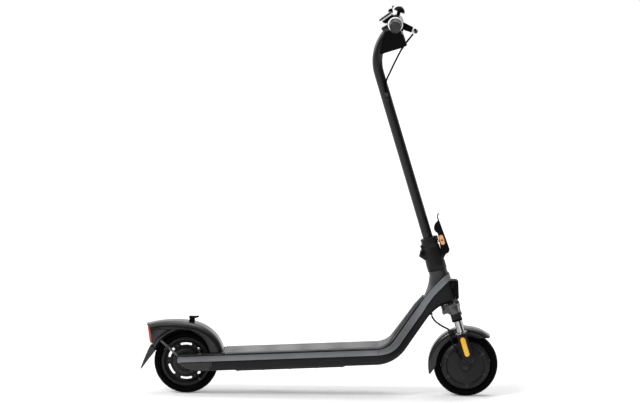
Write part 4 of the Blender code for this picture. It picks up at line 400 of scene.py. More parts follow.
def add(name, work, kinds, body, replaces=(), cuts=(), joins=(), bevel=0.0, crease=32):
    """Turn a shape into a finished piece that moves with a body and stands for the named solids.

    Its faces get the finishes of the named kinds in turn."""
    thing = solid_object(name, work)
    tools = []
    for operation, group in (("UNION", joins), ("DIFFERENCE", cuts)):
        for number, tool in enumerate(group):
            tools.append(solid_object(f"{name}_tool_{operation}_{number}", tool))
            change = thing.modifiers.new("change", "BOOLEAN")
            change.operation = operation
            change.solver = "EXACT"
            change.object = tools[-1]
    if bevel:
        rounding = thing.modifiers.new("rounding", "BEVEL")
        rounding.width = bevel
        rounding.segments = 2
        rounding.limit_method = "ANGLE"
        rounding.angle_limit = math.radians(crease)
    if thing.modifiers:
        bpy.context.view_layer.update()
        seen = thing.evaluated_get(bpy.context.evaluated_depsgraph_get())
        data = bpy.data.meshes.new_from_object(seen)
        thing.modifiers.clear()
        thing.data = data
        data.name = name
    for tool in tools:
        bpy.data.objects.remove(tool, do_unlink=True)
    kinds = kinds.split()
    indices = [min(face.material_index, len(kinds) - 1) for face in thing.data.polygons]
    thing.data.materials.clear()
    for kind in kinds:
        thing.data.materials.append(FINISHES[kind])
    thing.data.polygons.foreach_set("material_index", indices)
    thing.data.shade_smooth()
    thing.data.set_sharp_from_angle(angle=math.radians(crease))
    if body is not None:
        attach(thing, body)
    if replaces:
        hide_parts(*replaces)
    return thing


class Nodes:
    """A node tree in the making, of a material or of the world."""

    def __init__(self, data):
        self.data = data
        self.data.use_nodes = True
        self.tree = self.data.node_tree

    def put(self, value, socket):
        """Set a socket to a value, or link it to another node's output."""
        if isinstance(value, bpy.types.NodeSocket):
            self.tree.links.new(value, socket)
        else:
            socket.default_value = value

    def node(self, kind, inputs=(), **settings):
        made = self.tree.nodes.new(kind)
        for key, value in settings.items():
            setattr(made, key, value)
        for key, value in dict(inputs).items():
            self.put(value, made.inputs[key])
        return made

    def math(self, operation, first, second=0.0):
        return self.node("ShaderNodeMath", {0: first, 1: second}, operation=operation).outputs[0]

    def spread(self, value, low, high, to_low=0.0, to_high=1.0, **settings):
        """Stretch a range of values to another range, and hold it there."""
        inputs = {"Value": value, "From Min": low, "From Max": high, "To Min": to_low, "To Max": to_high}
        return self.node("ShaderNodeMapRange", inputs, **settings).outputs["Result"]

    def seen_rays(self, rays):
        """The rays from the camera, also those that mirrors and glass pass on."""
        passed_on = self.math("MAXIMUM", rays["Is Glossy Ray"], rays["Is Transmission Ray"])
        return self.math("MAXIMUM", rays["Is Camera Ray"], passed_on)


class Finish(Nodes):
    """One procedural finish, built up from a Principled shader."""

    def __init__(self, name, roughness=0.5, metallic=0.0, specular=0.5):
        super().__init__(bpy.data.materials.new(name))
        self.shader = self.tree.nodes["Principled BSDF"]
        self.shader.inputs["Roughness"].default_value = roughness
        self.shader.inputs["Metallic"].default_value = metallic
        self.shader.inputs["Specular IOR Level"].default_value = specular
        self.place = self.tree.nodes.new("ShaderNodeTexCoord").outputs["Object"]
        self.normal = None

    def mapped(self, where=None, **change):
        """A place, or else the place on the object, turned or scaled along each axis."""
        inputs = {"Vector": self.place if where is None else where, **change}
        return self.node("ShaderNodeMapping", inputs).outputs["Vector"]

    def noise(self, scale, detail=3.0, where=None, roughness=0.55):
        made = self.node("ShaderNodeTexNoise", {
            "Vector": self.place if where is None else where, "Scale": scale, "Detail": detail,
            "Roughness": roughness})
        return made.outputs["Fac"]

    def cells(self, scale, where=None, randomness=1.0):
        made = self.node("ShaderNodeTexVoronoi", {
            "Vector": self.place if where is None else where, "Scale": scale, "Randomness": randomness})
        return made.outputs["Distance"]

    def mix(self, share, first, second):
        made = self.node("ShaderNodeMix", data_type="RGBA")
        self.put(share, made.inputs[0])
        for index, colour in ((6, first), (7, second)):
            self.put(colour if isinstance(colour, bpy.types.NodeSocket) else (*colour, 1.0),
                     made.inputs[index])
        return made.outputs[2]

    def bump(self, height, depth, strength=1.0):
        """Add a bump of that depth on top of those before it."""
        made = self.node("ShaderNodeBump", {"Height": height, "Distance": depth, "Strength": strength})
        if self.normal is not None:
            self.tree.links.new(self.normal, made.inputs["Normal"])
        self.normal = made.outputs["Normal"]

    def edges(self, low=0.53, high=0.62):
        """Where the surface has an outer edge, from the mesh's own curvature."""
        point = self.node("ShaderNodeNewGeometry").outputs["Pointiness"]
        return self.spread(point, low, high)

    def upwards(self):
        """How far a surface faces up."""
        normal = self.node("ShaderNodeNewGeometry").outputs["Normal"]
        parts = self.node("ShaderNodeSeparateXYZ", {"Vector": normal})
        return parts.outputs["Z"]

    def done(self, colour=None, roughness=None):
        if colour is not None:
            self.put(colour, self.shader.inputs["Base Color"])
        if roughness is not None:
            self.put(roughness, self.shader.inputs["Roughness"])
        if self.normal is not None:
            self.put(self.normal, self.shader.inputs["Normal"])
        return self.data


def shade(colour, amount):
    return tuple(min(channel * amount, 1.0) for channel in colour)


def coated(name, colour, roughness, specular=0.5, metallic=0.0, depth=0.00006, mottle=0.16, wear=0.35,
           dust=0.1, cells=False, lighter=None):
    """A painted or moulded surface: mottled colour, grain, smudges, rubbed edges and a little dust."""
    grain = 1500.0
    f = Finish(name, roughness, metallic, specular)
    patches = f.noise(11.0, 5.0)
    fine = f.noise(260.0, 3.0)
    base = f.mix(f.spread(patches, 0.32, 0.68), shade(colour, 1 - mottle), shade(colour, 1 + mottle))
    base = f.mix(f.spread(fine, 0.35, 0.7, 0.0, 0.5), base, shade(colour, 1 + mottle * 1.4))
    rubbed = f.math("MULTIPLY", f.edges(), f.spread(f.noise(75.0, 4.0), 0.42, 0.62))
    base = f.mix(f.math("MULTIPLY", rubbed, wear), base, lighter or shade(colour, 3.2))
    settled = f.math("MULTIPLY", f.spread(f.upwards(), 0.35, 1.0), f.spread(f.noise(48.0, 6.0), 0.4, 0.75))
    base = f.mix(f.math("MULTIPLY", settled, dust), base, (0.3, 0.29, 0.27))
    smudges = f.spread(f.noise(26.0, 6.0), 0.3, 0.75, -0.05, 0.07)
    streaks = f.spread(f.noise(1.0, 3.0, f.mapped(Scale=(60.0, 900.0, 900.0))), 0.58, 0.8, 0.0, 0.1)
    rough = f.math("ADD", f.math("ADD", roughness, smudges), streaks)
    rough = f.math("ADD", rough, f.math("MULTIPLY", settled, 0.12))
    if cells:
        f.bump(f.cells(grain), depth)
        f.bump(f.noise(grain * 0.45, 3.0), depth * 0.8)
    else:
        f.bump(f.noise(grain, 2.0), depth)
    f.bump(f.noise(55.0, 2.0), 0.0001, 0.35)
    return f.done(base, rough)


def rubber(name, colour, roughness, specular, depth=0.00012, dust=0.0):
    """Rubber with a fine skin, greyer where it is rubbed and dusty in places."""
    f = Finish(name, roughness, 0.0, specular)
    base = f.mix(f.spread(f.noise(16.0, 5.0), 0.3, 0.7), shade(colour, 0.8), shade(colour, 1.25))
    rubbed = f.math("MULTIPLY", f.edges(0.52, 0.6), f.spread(f.noise(90.0, 4.0), 0.35, 0.65))
    base = f.mix(f.math("MULTIPLY", rubbed, 0.45), base, shade(colour, 2.6))
    spots = f.spread(f.noise(140.0, 5.0), 0.55, 0.8)
    base = f.mix(f.math("MULTIPLY", spots, dust), base, (0.1, 0.095, 0.085))
    f.bump(f.noise(900.0, 3.0), depth)
    f.bump(f.noise(120.0, 2.0), 0.0001, 0.5)
    rough = f.spread(f.noise(40.0, 5.0), 0.3, 0.75, roughness - 0.08, roughness + 0.1)
    return f.done(base, rough)


def metal(name, colour, roughness, edge=0.4):
    """Bare or plated metal with a drawn grain, faint tarnish and brighter edges."""
    f = Finish(name, roughness, 1.0, 0.5)
    depth = 0.00002
    drawn = f.noise(1.0, 3.0, f.mapped(Scale=(40.0, 40.0, 1400.0)))
    cloudy = f.noise(34.0, 6.0)
    base = f.mix(f.spread(drawn, 0.3, 0.7), shade(colour, 0.92), shade(colour, 1.06))
    base = f.mix(f.spread(cloudy, 0.5, 0.8, 0.0, 0.25), base, shade(colour, 0.55))
    base = f.mix(f.math("MULTIPLY", f.edges(), edge), base, (0.85, 0.85, 0.86))
    rough = f.math("ADD", f.spread(cloudy, 0.3, 0.75, roughness, roughness + 0.12),
                   f.spread(drawn, 0.3, 0.7, -0.03, 0.04))
    f.bump(drawn, depth)
    f.bump(f.noise(420.0, 3.0), depth * 1.5, 0.6)
    return f.done(base, rough)


def lens(name, colour, roughness=0.12, lamp_and_painted_glow=0.0, grid=900.0, depth=0.0004, through=0.0):
    """A clear or coloured moulded lens with a prism pattern behind its face, which may emit light: lamp
    light on the tail lamp, painted light on the amber reflector, which is no lamp.
    """
    f = Finish(name, roughness, 0.0, 0.5)
    f.shader.inputs["IOR"].default_value = 1.49
    f.shader.inputs["Coat Weight"].default_value = 0.6
    f.shader.inputs["Coat Roughness"].default_value = 0.06
    if through:
        f.shader.inputs["Transmission Weight"].default_value = through
    prism = f.cells(grid, randomness=0.0)
    base = f.mix(f.spread(prism, 0.05, 0.65), shade(colour, 1.25), shade(colour, 0.72))
    base = f.mix(f.spread(f.noise(60.0, 4.0), 0.4, 0.8, 0.0, 0.25), base, shade(colour, 0.85))
    # Emitted light: lamp light for the tail lamp's lens, painted light for the amber reflector.
    if lamp_and_painted_glow:
        f.put(base, f.shader.inputs["Emission Color"])
        f.shader.inputs["Emission Strength"].default_value = lamp_and_painted_glow
    f.bump(prism, depth, 0.5)
    return f.done(base, f.spread(f.noise(90.0, 5.0), 0.3, 0.8, roughness * 0.7, roughness * 1.8))


def chrome_with_painted_reflections(name):
    """Dark chrome, drawn along the steering axis, with painted reflections: lighter and darker streaks along
    the axis painted into its colour.
    """
    f = Finish(name, 0.12, 1.0, 0.5)
    axis_stretched_place = f.mapped(f.mapped(Rotation=(0.0, STEER_ANGLE, 0.0)), Scale=(170.0, 170.0, 1.5))
    wide = f.noise(1.0, 1.0, axis_stretched_place, 0.4)
    fine = f.noise(4.0, 3.0, axis_stretched_place)
    # Painted reflections: wide light and dark bands along the steering axis stand in for the studio's
    # reflections on the tube.
    base = f.mix(f.spread(wide, 0.44, 0.56), (0.03, 0.03, 0.033), (0.5, 0.5, 0.52))
    # Finer light streaks, also painted reflection; the same noise gives the drawn grain's bump.
    base = f.mix(f.spread(fine, 0.4, 0.7, 0.0, 0.35), base, (0.16, 0.16, 0.17))
    base = f.mix(f.math("MULTIPLY", f.edges(), 0.4), base, (0.85, 0.85, 0.86))
    f.bump(fine, 0.00002)
    f.bump(f.noise(420.0, 3.0), 0.00002, 0.6)
    return f.done(base, f.spread(f.noise(34.0, 6.0), 0.3, 0.75, 0.08, 0.2))


def mat_finish(name):
    """The deck mat: a fine raised lattice in grey rubber, darker where it climbs the downtube."""
    f = Finish(name, 0.75, 0.0, 0.35)
    lattice = f.cells(190.0, f.mapped(Rotation=(0.0, 0.0, math.radians(45))), randomness=0.0)
    fine = f.noise(1300.0, 3.0)
    grey = (0.255, 0.255, 0.257)
    base = f.mix(f.spread(lattice, 0.2, 0.62), shade(grey, 1.35), shade(grey, 0.6))
    worn = f.spread(f.noise(9.0, 4.0), 0.45, 0.7)
    base = f.mix(f.math("MULTIPLY", worn, 0.35), base, shade(grey, 1.15))
    base = f.mix(f.spread(f.noise(320.0, 4.0), 0.55, 0.8, 0.0, 0.4), base, (0.09, 0.088, 0.08))
    height = f.node("ShaderNodeSeparateXYZ", {"Vector": f.place}).outputs["Z"]
    base = f.mix(f.spread(height, 0.145, 0.2), base, (0.045, 0.045, 0.046))
    f.bump(f.spread(lattice, 0.15, 0.6, 1.0, 0.0), 0.0006)
    f.bump(fine, 0.0002)
    return f.done(base, f.spread(f.noise(30.0, 4.0), 0.3, 0.8, 0.62, 0.88))


FINISHES = {
    "body": coated("body_black", (0.0085, 0.0085, 0.0088), 0.4, 0.18),
    # Grey paint of the neck, also used for painted highlights on the head cover and the cable port.
    "neck": coated("neck_grey", (0.027, 0.0275, 0.0275), 0.3, 0.5, 0.3, lighter=(0.12, 0.12, 0.12)),
    "stem": coated("stem_black", (0.0045, 0.0045, 0.0047), 0.28, 0.36, lighter=(0.03, 0.03, 0.03),
                   dust=0.02),
    "base": coated("base_black", (0.0078, 0.0078, 0.0081), 0.42, 0.18),
    "trim": coated("trim_silver", (0.175, 0.178, 0.19), 0.38, 0.45, 0.35, wear=0.2, dust=0.05,
                   lighter=(0.42, 0.42, 0.43), depth=0.00003),
    "plastic": coated("plastic_black", (0.0015, 0.0015, 0.0015), 0.48, 0.08, cells=True, dust=0.0,
                      lighter=(0.012, 0.012, 0.012)),
    "fender": coated("fender_grey", (0.01, 0.01, 0.0102), 0.22, 0.42, cells=True, depth=0.00002, dust=0.01),
    "hub": coated("hub_black", (0.015, 0.015, 0.0152), 0.38, 0.2, cells=True, dust=0.03,
                  lighter=(0.06, 0.06, 0.06), wear=0.6),
    "crown": coated("crown_grey", (0.062, 0.063, 0.064), 0.36, 0.4, 0.4, lighter=(0.3, 0.3, 0.3), wear=0.7),
    # Near-black for grooves and joints, and for patches of painted shade.
    "groove": coated("groove_black", (0.0012, 0.0012, 0.0012), 0.7, 0.06, wear=0.0, dust=0.05),
    "tyre": rubber("tyre_rubber", (0.0008, 0.0008, 0.0008), 0.62, 0.04, dust=0.02),
    "grip": rubber("grip_rubber", (0.0035, 0.0035, 0.0035), 0.27, 0.45, depth=0.00002, dust=0.03),
    "cap": rubber("grip_cap", (0.04, 0.04, 0.041), 0.6, 0.15, dust=0.1),
    "flange": coated("flange_silver", (0.88, 0.88, 0.88), 0.3, 0.5, 0.1, mottle=0.04, wear=0.1, dust=0.0,
                     lighter=(0.95, 0.95, 0.95)),
    "cable": rubber("cable_jacket", (0.0006, 0.0006, 0.0006), 0.5, 0.02, dust=0.0),
    # Chrome with painted reflection bands, for the stanchions, seals and headlight reflectors.
    "chrome": chrome_with_painted_reflections("chrome"),
    "steel": metal("steel", (0.42, 0.42, 0.43), 0.3),
    "dark_steel": metal("dark_steel", (0.045, 0.045, 0.048), 0.4, edge=0.15),
    "mat": mat_finish("mat_rubber"),
    # The amber reflector emits a little light: painted light, for a reflector is no lamp.
    "amber": lens("amber_reflector", (0.95, 0.5, 0.0), 0.16, 0.12, grid=520.0),
    "orange": coated("orange_plastic", (0.86, 0.42, 0.17), 0.36, 0.5, mottle=0.06, wear=0.2, dust=0.0,
                     lighter=(0.95, 0.62, 0.35)),
    "orange_edge": coated("orange_edge", (0.62, 0.2, 0.03), 0.4, 0.4, mottle=0.06, wear=0.1, dust=0.0,
                          lighter=(0.85, 0.4, 0.15)),
    "red": lens("red_lens", (0.6, 0.03, 0.018), 0.14, 0.14, grid=430.0),
    "clear": lens("clear_lens", (0.3, 0.31, 0.32), 0.05, through=0.85, grid=260.0, depth=0.0002),
    "glass": lens("display_glass", (0.004, 0.004, 0.0045), 0.05, grid=2000.0, depth=0.00002),
    # Light grey for small parts, and for strips of painted highlight.
    "light": coated("light_strip", (0.46, 0.46, 0.47), 0.3, 0.5, mottle=0.05, wear=0.1, dust=0.05,
                    lighter=(0.6, 0.6, 0.6)),
    "white": coated("white_trim", (0.9, 0.9, 0.9), 0.25, 0.5, mottle=0.03, wear=0.1, dust=0.0,
                    lighter=(0.95, 0.95, 0.95)),
    "battery": coated("battery_wrap", (0.02, 0.06, 0.12), 0.45, 0.5, lighter=(0.2, 0.3, 0.4)),
}
HIDDEN = {
    "battery_pack": "battery", "motor_controller": "dark_steel", "headset_bearing_lower": "steel",
    "headset_bearing_upper": "steel", "motor_stator": "dark_steel",
}


def tread_cut(angle, across):
    """How deep the tread is cut at a place on the tyre, with the pattern staggered between the sides."""
    left = across > 0
    reach = abs(across)
    turn = angle / (2 * math.pi)
    depth = 0.0
    if 0.0052 < reach < 0.0072:
        depth = 0.0014
    notch = (turn * 20 + reach * 22 + 0.25 * left) % 1.0
    if reach > 0.0085 and notch < 0.16:
        depth = max(depth, 0.0026 if reach < 0.0225 else 0.0014)
    chevron = (turn * 20 + reach * 12) % 1.0
    if chevron < 0.11:
        depth = max(depth, 0.0014 + 0.06 * min(reach, 0.02))
    sipe = (turn * 40 - reach * 30 + 0.5 * left) % 1.0
    if 0.0078 < reach < 0.015 and sipe < 0.13 or reach < 0.0046 and sipe < 0.16:
        depth = max(depth, 0.0011)
    return depth


def tyre(name, place, body):
    """A tyre with a rounded carcass, cut tread blocks, and rings on its walls."""
    crown, half_tread, tread_start, count = 0.10155, 0.0225, 0.0945, 480
    wall = [(RIM_RADIUS + FIT, -0.0188), (0.0805, -0.0222), (0.0835, -0.024), (0.0862, -0.0247),
            (0.0866, -0.025), (0.0884, -0.025), (0.0888, -0.0247), (0.0925, -0.0243), (0.0955, -0.0235)]
    across = [-half_tread + 0.0015 * k for k in range(31)]
    profile = wall + [(crown - 0.0048 * (abs(y) / half_tread) ** 3.2, y) for y in across]
    profile += [(radius, -y) for radius, y in reversed(wall)] + [(RIM_RADIUS + FIT, 0.0)]
    rings = []
    for radius, y in profile:
        ring = []
        for index in range(count):
            angle = 2 * math.pi * index / count
            out = radius - (tread_cut(angle, y) if radius > tread_start else 0.0)
            ring.append((out * math.cos(angle), y, out * math.sin(angle)))
        rings.append(ring)
    shape = Shape(place)
    shape.skin(rings, loop=True)
    shape.tube([(RIM_RADIUS + 0.004, -0.0215, 0), (RIM_RADIUS + 0.006, -0.0235, 0)], 0.0006, 8)
    return add(f"{name}_tread", shape, "tyre", body, [name], crease=38)


def rear_wheel():
    """Rear rim with its spokeless web, six windows, raised ring, drum, bolts and valve."""
    web, valve = 0.0042, -0.9
    rim = Shape(REAR)
    rim.lathe([
        (0.0066, 0.0045), (0.038, 0.0045), (0.038, 0.0286), (0.04, 0.029), (0.044, 0.0286), (0.044, 0.012),
        (0.0452, web + 0.002), (0.047, web), (0.064, web), (0.0665, web + 0.001), (0.068, 0.015),
        (0.07, 0.0186), (0.0765, 0.019), (RIM_RADIUS, 0.018),
        (RIM_RADIUS, -0.018), (0.0768, -0.019), (0.0745, -0.0193), (0.0735, -0.0205), (0.0715, -0.021),
        (0.0695, -0.0203), (0.0685, -0.0185), (0.0672, -0.012), (0.0655, -web - 0.002), (0.063, -web),
        (0.047, -web), (0.0448, -web - 0.002), (0.0435, -0.013), (0.042, -0.025), (0.04, -0.028),
        (0.037, -0.029), (0.0255, -0.029), (0.0245, -0.0283), (0.0225, -0.0283), (0.0215, -0.029),
        (0.0066, -0.029)], 128, loop=True)
    windows = []
    for index in range(6):
        middle = 90 + 60 * index
        outline = arc((0, 0), 0.0588, middle - 17, middle + 17, 12) + [polar(0.0551, middle + 20)]
        outline += arc((0, 0), 0.0514, middle + 17, middle - 17, 12) + [polar(0.0551, middle - 20)]
        windows.append(Shape(REAR).prism(outline, -0.02, 0.02))
    add("rear_wheel_rim", rim, "hub", "rear_wheel", ["rear_rim"], cuts=windows, bevel=0.0008, crease=40)
    trim = Shape(REAR)
    for index in range(6):
        x, z = polar(0.056, 60 + 60 * index)
        trim.screw((x, -web, z), (0, -1, 0), 0.0028, 0.0018)
        x, z = polar(0.032, 60 * index)
        trim.screw((x, -0.029, z), (0, -1, 0), 0.0022, 0.0014)
    trim.rod((0.0735 * math.cos(valve), -0.019, 0.0735 * math.sin(valve)),
             (0.065 * math.cos(valve), -0.0215, 0.065 * math.sin(valve)), 0.0022, 16, tip=0.0016)
    add("rear_wheel_screws", trim, "dark_steel", "rear_wheel")
    tyre("rear_tyre", REAR, "rear_wheel")


def hub_motor():
    """The front wheel: tyre, motor rim, and on each side a cover with a ring and six screw bosses."""
    tyre("front_tyre", STEER, "front_wheel")
    hub = Shape(STEER)
    hub.lathe([(0.07, 0.0218), (0.0772, 0.0219), (RIM_RADIUS, 0.0205), (RIM_RADIUS, -0.0205),
               (0.0772, -0.0219), (0.07, -0.0218)], 128, loop=True)
    add("motor_rim", hub, "hub", "front_wheel", ["motor_hub"])
    face = [(0.0088, 0.033), (0.0088, 0.0338), (0.0195, 0.034), (0.021, 0.0336), (0.0222, 0.0318),
            (0.025, 0.0311), (0.04, 0.0309), (0.056, 0.0303), (0.059, 0.0296), (0.0606, 0.031),
            (0.0612, 0.0326), (0.0625, 0.0333), (0.0662, 0.0333), (0.0676, 0.0326), (0.0682, 0.0308),
            (0.07, 0.0288), (0.0738, 0.0268), (0.0757, 0.025), (0.0766, 0.0232), (0.0766, 0.0224),
            (0.0088, 0.0224)]
    boss = [(0, 0.0337), (0.005, 0.0337), (0.0062, 0.0328), (0.0068, 0.028), (0, 0.028)]
    ear = [(-0.011, -0.0042), (-0.011, 0.0042), (-0.002, 0.0058), (-0.002, -0.0058)]
    head = [(0, 0.0342), (0.0013, 0.034), (0.0014, 0.0352), (0.0026, 0.0352), (0.003, 0.0345),
            (0.003, 0.0334), (0, 0.0334)]
    for side, sign in SIDES:
        cover, screws = Shape(STEER), Shape(STEER)
        cover.lathe(face, 144, loop=True, sign=sign)
        for index in range(6):
            angle = 35 + 60 * index - STEER_DEGREES
            x, z = polar(0.0655, angle)
            place = shift(x, 0, z) @ about_y(-math.radians(angle))
            cover.lathe(boss, 36, place=place, sign=sign)
            cover.prism(ear, *span(sign, 0.029, 0.0326), 0.0012, place=place)
            screws.lathe(head, 24, place=shift(x, 0, z), sign=sign)
        for index in range(6):
            middle = 65 + 60 * index - STEER_DEGREES
            outline = arc((0, 0), 0.0575, middle - 17, middle + 17, 14)
            outline += arc((0, 0), 0.0562, middle + 17, middle - 17, 14)
            cover.prism(outline, *span(sign, 0.0298, 0.0309), 0.0004)
        add(f"motor_cover_plate_{side}", cover, "hub", "front_wheel", [f"motor_cover_{side}"], crease=34)
        add(f"motor_cover_screws_{side}", screws, "dark_steel", "front_wheel")


def rear_axle():
    """Axle, drum brake plate with its ribs, spacer and the brake arm's pivot."""
    axle = Shape(REAR)
    axle.lathe([(0, 0.06), (0.0052, 0.06), (0.006, 0.0592), (0.006, 0.0377), (0.0098, 0.0377),
                (0.0098, 0.0338), (0.02, 0.0336), (0.0225, 0.035), (0.025, 0.0352), (0.0265, 0.0338),
                (0.04, 0.0336), (0.0432, 0.033), (0.0438, 0.0316), (0.0438, 0.0298), (0.01, 0.0297),
                (0.006, 0.0297), (0.006, -0.0297), (0.01, -0.0297), (0.01, -0.0377), (0.006, -0.0377),
                (0.006, -0.0592), (0.0052, -0.06), (0, -0.06)], 72)
    for index in range(5):
        angle = math.radians(100 + 50 * index)
        c, s = math.cos(angle), math.sin(angle)
        axle.rod((0.0262 * c, 0.0344, 0.0262 * s), (0.04 * c, 0.0344, 0.04 * s), 0.0012, 12, tip=0.0009)
    add("rear_axle_and_plate", axle, "dark_steel", "frame", ["rear_axle"])
    arm = Shape(shift(REAR_X + 0.026, 0, AXLE_HEIGHT - 0.024))
    low, high = 0.0345, 0.0375
    end = Vector((0.028, -0.022))
    along = end.normalized()
    side = Vector((-along.y, along.x)) * 0.0042
    arm.prism([side, -side, end - side * 0.8, end + side * 0.8], low, high, 0.0006)
    arm.rod((0, low, 0), (0, high, 0), 0.008, 32, 0.0005)
    arm.nut((0, high, 0), (0, 1, 0), 0.0042, 0.0018)
    arm.rod((end.x, low, end.y), (end.x, high, end.y), 0.0042, 24, 0.0004)
    add("brake_arm_lever", arm, "steel", "brake_arm", ["brake_arm"])


def beam_point(low, high, half_width, inset=0.0, band=0.0):
    """A cross-section of the beam: its lowest point, which way and how far it goes up, and its band."""
    low, high = Vector((low[0], 0.0, low[1])), Vector((high[0], 0.0, high[1]))
    return {"low": low, "up": (high - low).normalized(), "depth": (high - low).length,
            "half_width": half_width, "inset": inset, "band": band}


def deck_point(along, up):
    point = DECK @ Vector((along, 0.0, up))
    return point.x, point.z


def steer_point(ahead, up):
    point = STEER @ Vector((ahead, 0.0, up))
    return point.x, point.z


def beam_stations():
    """Cross-sections of the beam: the arms' rounded tips, the deck, the bend, the downtube, the neck."""
    stations = []
    for share in (0.0, 0.01, 0.03, 0.06, 0.1, 0.16, 0.24, 0.34, 0.46, 0.6, 0.78, 1.0):
        back = 0.075 * share
        low = 0.04 * (1 - math.sqrt(1 - (1 - share) ** 2))
        crown = min(back / 0.008, 1.0)
        drop = (BEAM_DEPTH - 0.04) * 0.9 * (1 - math.sqrt(1 - (1 - crown) ** 2))
        along = back - 0.0215
        stations.append(beam_point(deck_point(along, low), deck_point(along, BEAM_DEPTH - drop),
                                   DECK_HALF_WIDTH, TRIM_INSET, TRIM_HEIGHT))
    for along in [0.0535 + 0.0325 * k for k in range(1, 17)]:
        stations.append(beam_point(deck_point(along, 0.0), deck_point(along, BEAM_DEPTH), DECK_HALF_WIDTH,
                                   TRIM_INSET, TRIM_HEIGHT))
    sweep = DOWNTUBE_ANGLE - DECK_PITCH
    arc_length = BEND_RADIUS * sweep
    total = arc_length + DOWNTUBE_RUN
    start_x, start_z = deck_point(DECK_RUN, 0.0)
    centre = Vector((start_x - BEND_RADIUS * math.sin(DECK_PITCH),
                     start_z + BEND_RADIUS * math.cos(DECK_PITCH)))
    steps = 28
    for step in range(steps + 1):
        angle = DECK_PITCH + sweep * step / steps
        outward = Vector((math.sin(angle), -math.cos(angle)))
        low, high = centre + outward * BEND_RADIUS, centre + outward * (BEND_RADIUS - BEAM_DEPTH)
        wide = eased(DECK_HALF_WIDTH, NECK_HALF_WIDTH, arc_length * step / steps / total)
        stations.append(beam_point(low, high, wide, eased(TRIM_INSET, NECK_TRIM_INSET, step / steps),
                                   eased(TRIM_HEIGHT, NECK_TRIM_HEIGHT, step / steps)))
    forward = Vector((math.cos(DOWNTUBE_ANGLE), math.sin(DOWNTUBE_ANGLE)))
    for step in range(1, 13):
        run = DOWNTUBE_RUN * step / 12
        wide = eased(DECK_HALF_WIDTH, NECK_HALF_WIDTH, (arc_length + run) / total)
        stations.append(beam_point(low + forward * run, high + forward * run, wide, NECK_TRIM_INSET,
                                   NECK_TRIM_HEIGHT))
    neck = [((-0.049, HEAD_BOTTOM - 0.01), (-0.067, 0.2435), NECK_HALF_WIDTH),
            ((-0.022, HEAD_BOTTOM), (-0.043, 0.2615), NECK_HALF_WIDTH),
            ((0.005, HEAD_BOTTOM), (-0.015, 0.2775), NECK_HALF_WIDTH),
            ((0.02, HEAD_BOTTOM), (0.017, 0.2935), NECK_HALF_WIDTH - 0.003),
            ((HEAD_RADIUS, HEAD_BOTTOM + 0.002), (HEAD_RADIUS, 0.2965), NECK_HALF_WIDTH - 0.013)]
    knots = [(s["low"].xz, (s["low"] + s["up"] * s["depth"]).xz, s["half_width"]) for s in stations[-2:]]
    knots += [(Vector(steer_point(*a)), Vector(steer_point(*b)), wide) for a, b, wide in neck]
    lows = curve_through([k[0] for k in knots], 4)[4:]
    highs = curve_through([k[1] for k in knots], 4)[4:]
    wides = curve_through([(k[2], 0) for k in knots], 4)[4:]
    for index in range(1, len(lows)):
        share = min(index / 4, 1.0)
        stations.append(beam_point(lows[index], highs[index], min(wides[index].x, NECK_HALF_WIDTH),
                                   eased(NECK_TRIM_INSET, 0.003, share), NECK_TRIM_HEIGHT))
    return stations


STATIONS = beam_stations()


def section(half_width, low, high, low_corner, high_corner, steps=7):
    """A box outline, as (across, up), with one corner radius below and another one above."""
    room = min(half_width, (high - low) / 2) * 0.9
    a, b = min(low_corner, room), min(high_corner, room)
    ring = arc((half_width - a, low + a), a, -90, 0, steps)
    ring += arc((half_width - b, high - b), b, 0, 90, steps)
    ring += arc((b - half_width, high - b), b, 90, 180, steps)
    ring += arc((a - half_width, low + a), a, 180, 270, steps)
    return ring


def beam_ring(station, outline):
    """An (across, up) outline put at a station of the beam."""
    return [station["low"] + station["up"] * up + Vector((0, across, 0)) for across, up in outline]


def trim_ends(station):
    """How far up the silver band starts and ends."""
    high = station["depth"] - station["inset"]
    return max(high - station["band"], station["depth"] * 0.05), high


def chassis():
    """The beam with wheel slot and head tube: black below the silver band, grey above it at the neck."""
    body = Shape()
    body.skin([beam_ring(s, section(s["half_width"], 0.0, s["depth"], 0.014, 0.004)) for s in STATIONS])
    head = Shape(STEER)
    sections = curve_through([
        (0.234, -0.068, 0.021, 0.027), (0.252, -0.059, 0.025, 0.029), (0.264, -0.05, 0.027, 0.03),
        (0.278, -0.041, 0.028, 0.03), (0.298, -0.032, 0.029, 0.029), (0.306, -0.0295, 0.029, 0.029),
        (HEAD_TOP, -0.029, 0.029, 0.029)], 4)
    rings = []
    for up, rear, front, wide in sections:
        angles = [2 * math.pi * index / 64 for index in range(64)]
        rings.append([((front + rear) / 2 + (front - rear) / 2 * math.cos(angle), wide * math.sin(angle), up)
                      for angle in angles])
    head.skin(rings)
    slot = Shape(DECK).block((-0.0415, -0.042, -0.05), (0.116, 0.042, 0.1), 0.006, segments=4)
    bay = Shape(DECK).block((0.168, -0.052, -0.02), (0.496, 0.052, 0.044))
    seam = Shape(DECK).block((0.0795, -0.08, -0.01), (0.0803, 0.08, 0.0335))
    bore = Shape(STEER).rod((0, 0, HEAD_BOTTOM - 0.02), (0, 0, HEAD_TOP + 0.02), 0.0208, 48)
    lug = Shape(DECK).block((0.291, 0.058, -0.0182), (0.309, 0.066, 0.006), 0.001)
    thing = add("chassis_beam", body, "body neck fender", "frame", ["chassis"], joins=[head, lug],
                cuts=[slot, bay, bore, seam], bevel=0.0009, crease=40)
    paint_regions(thing)


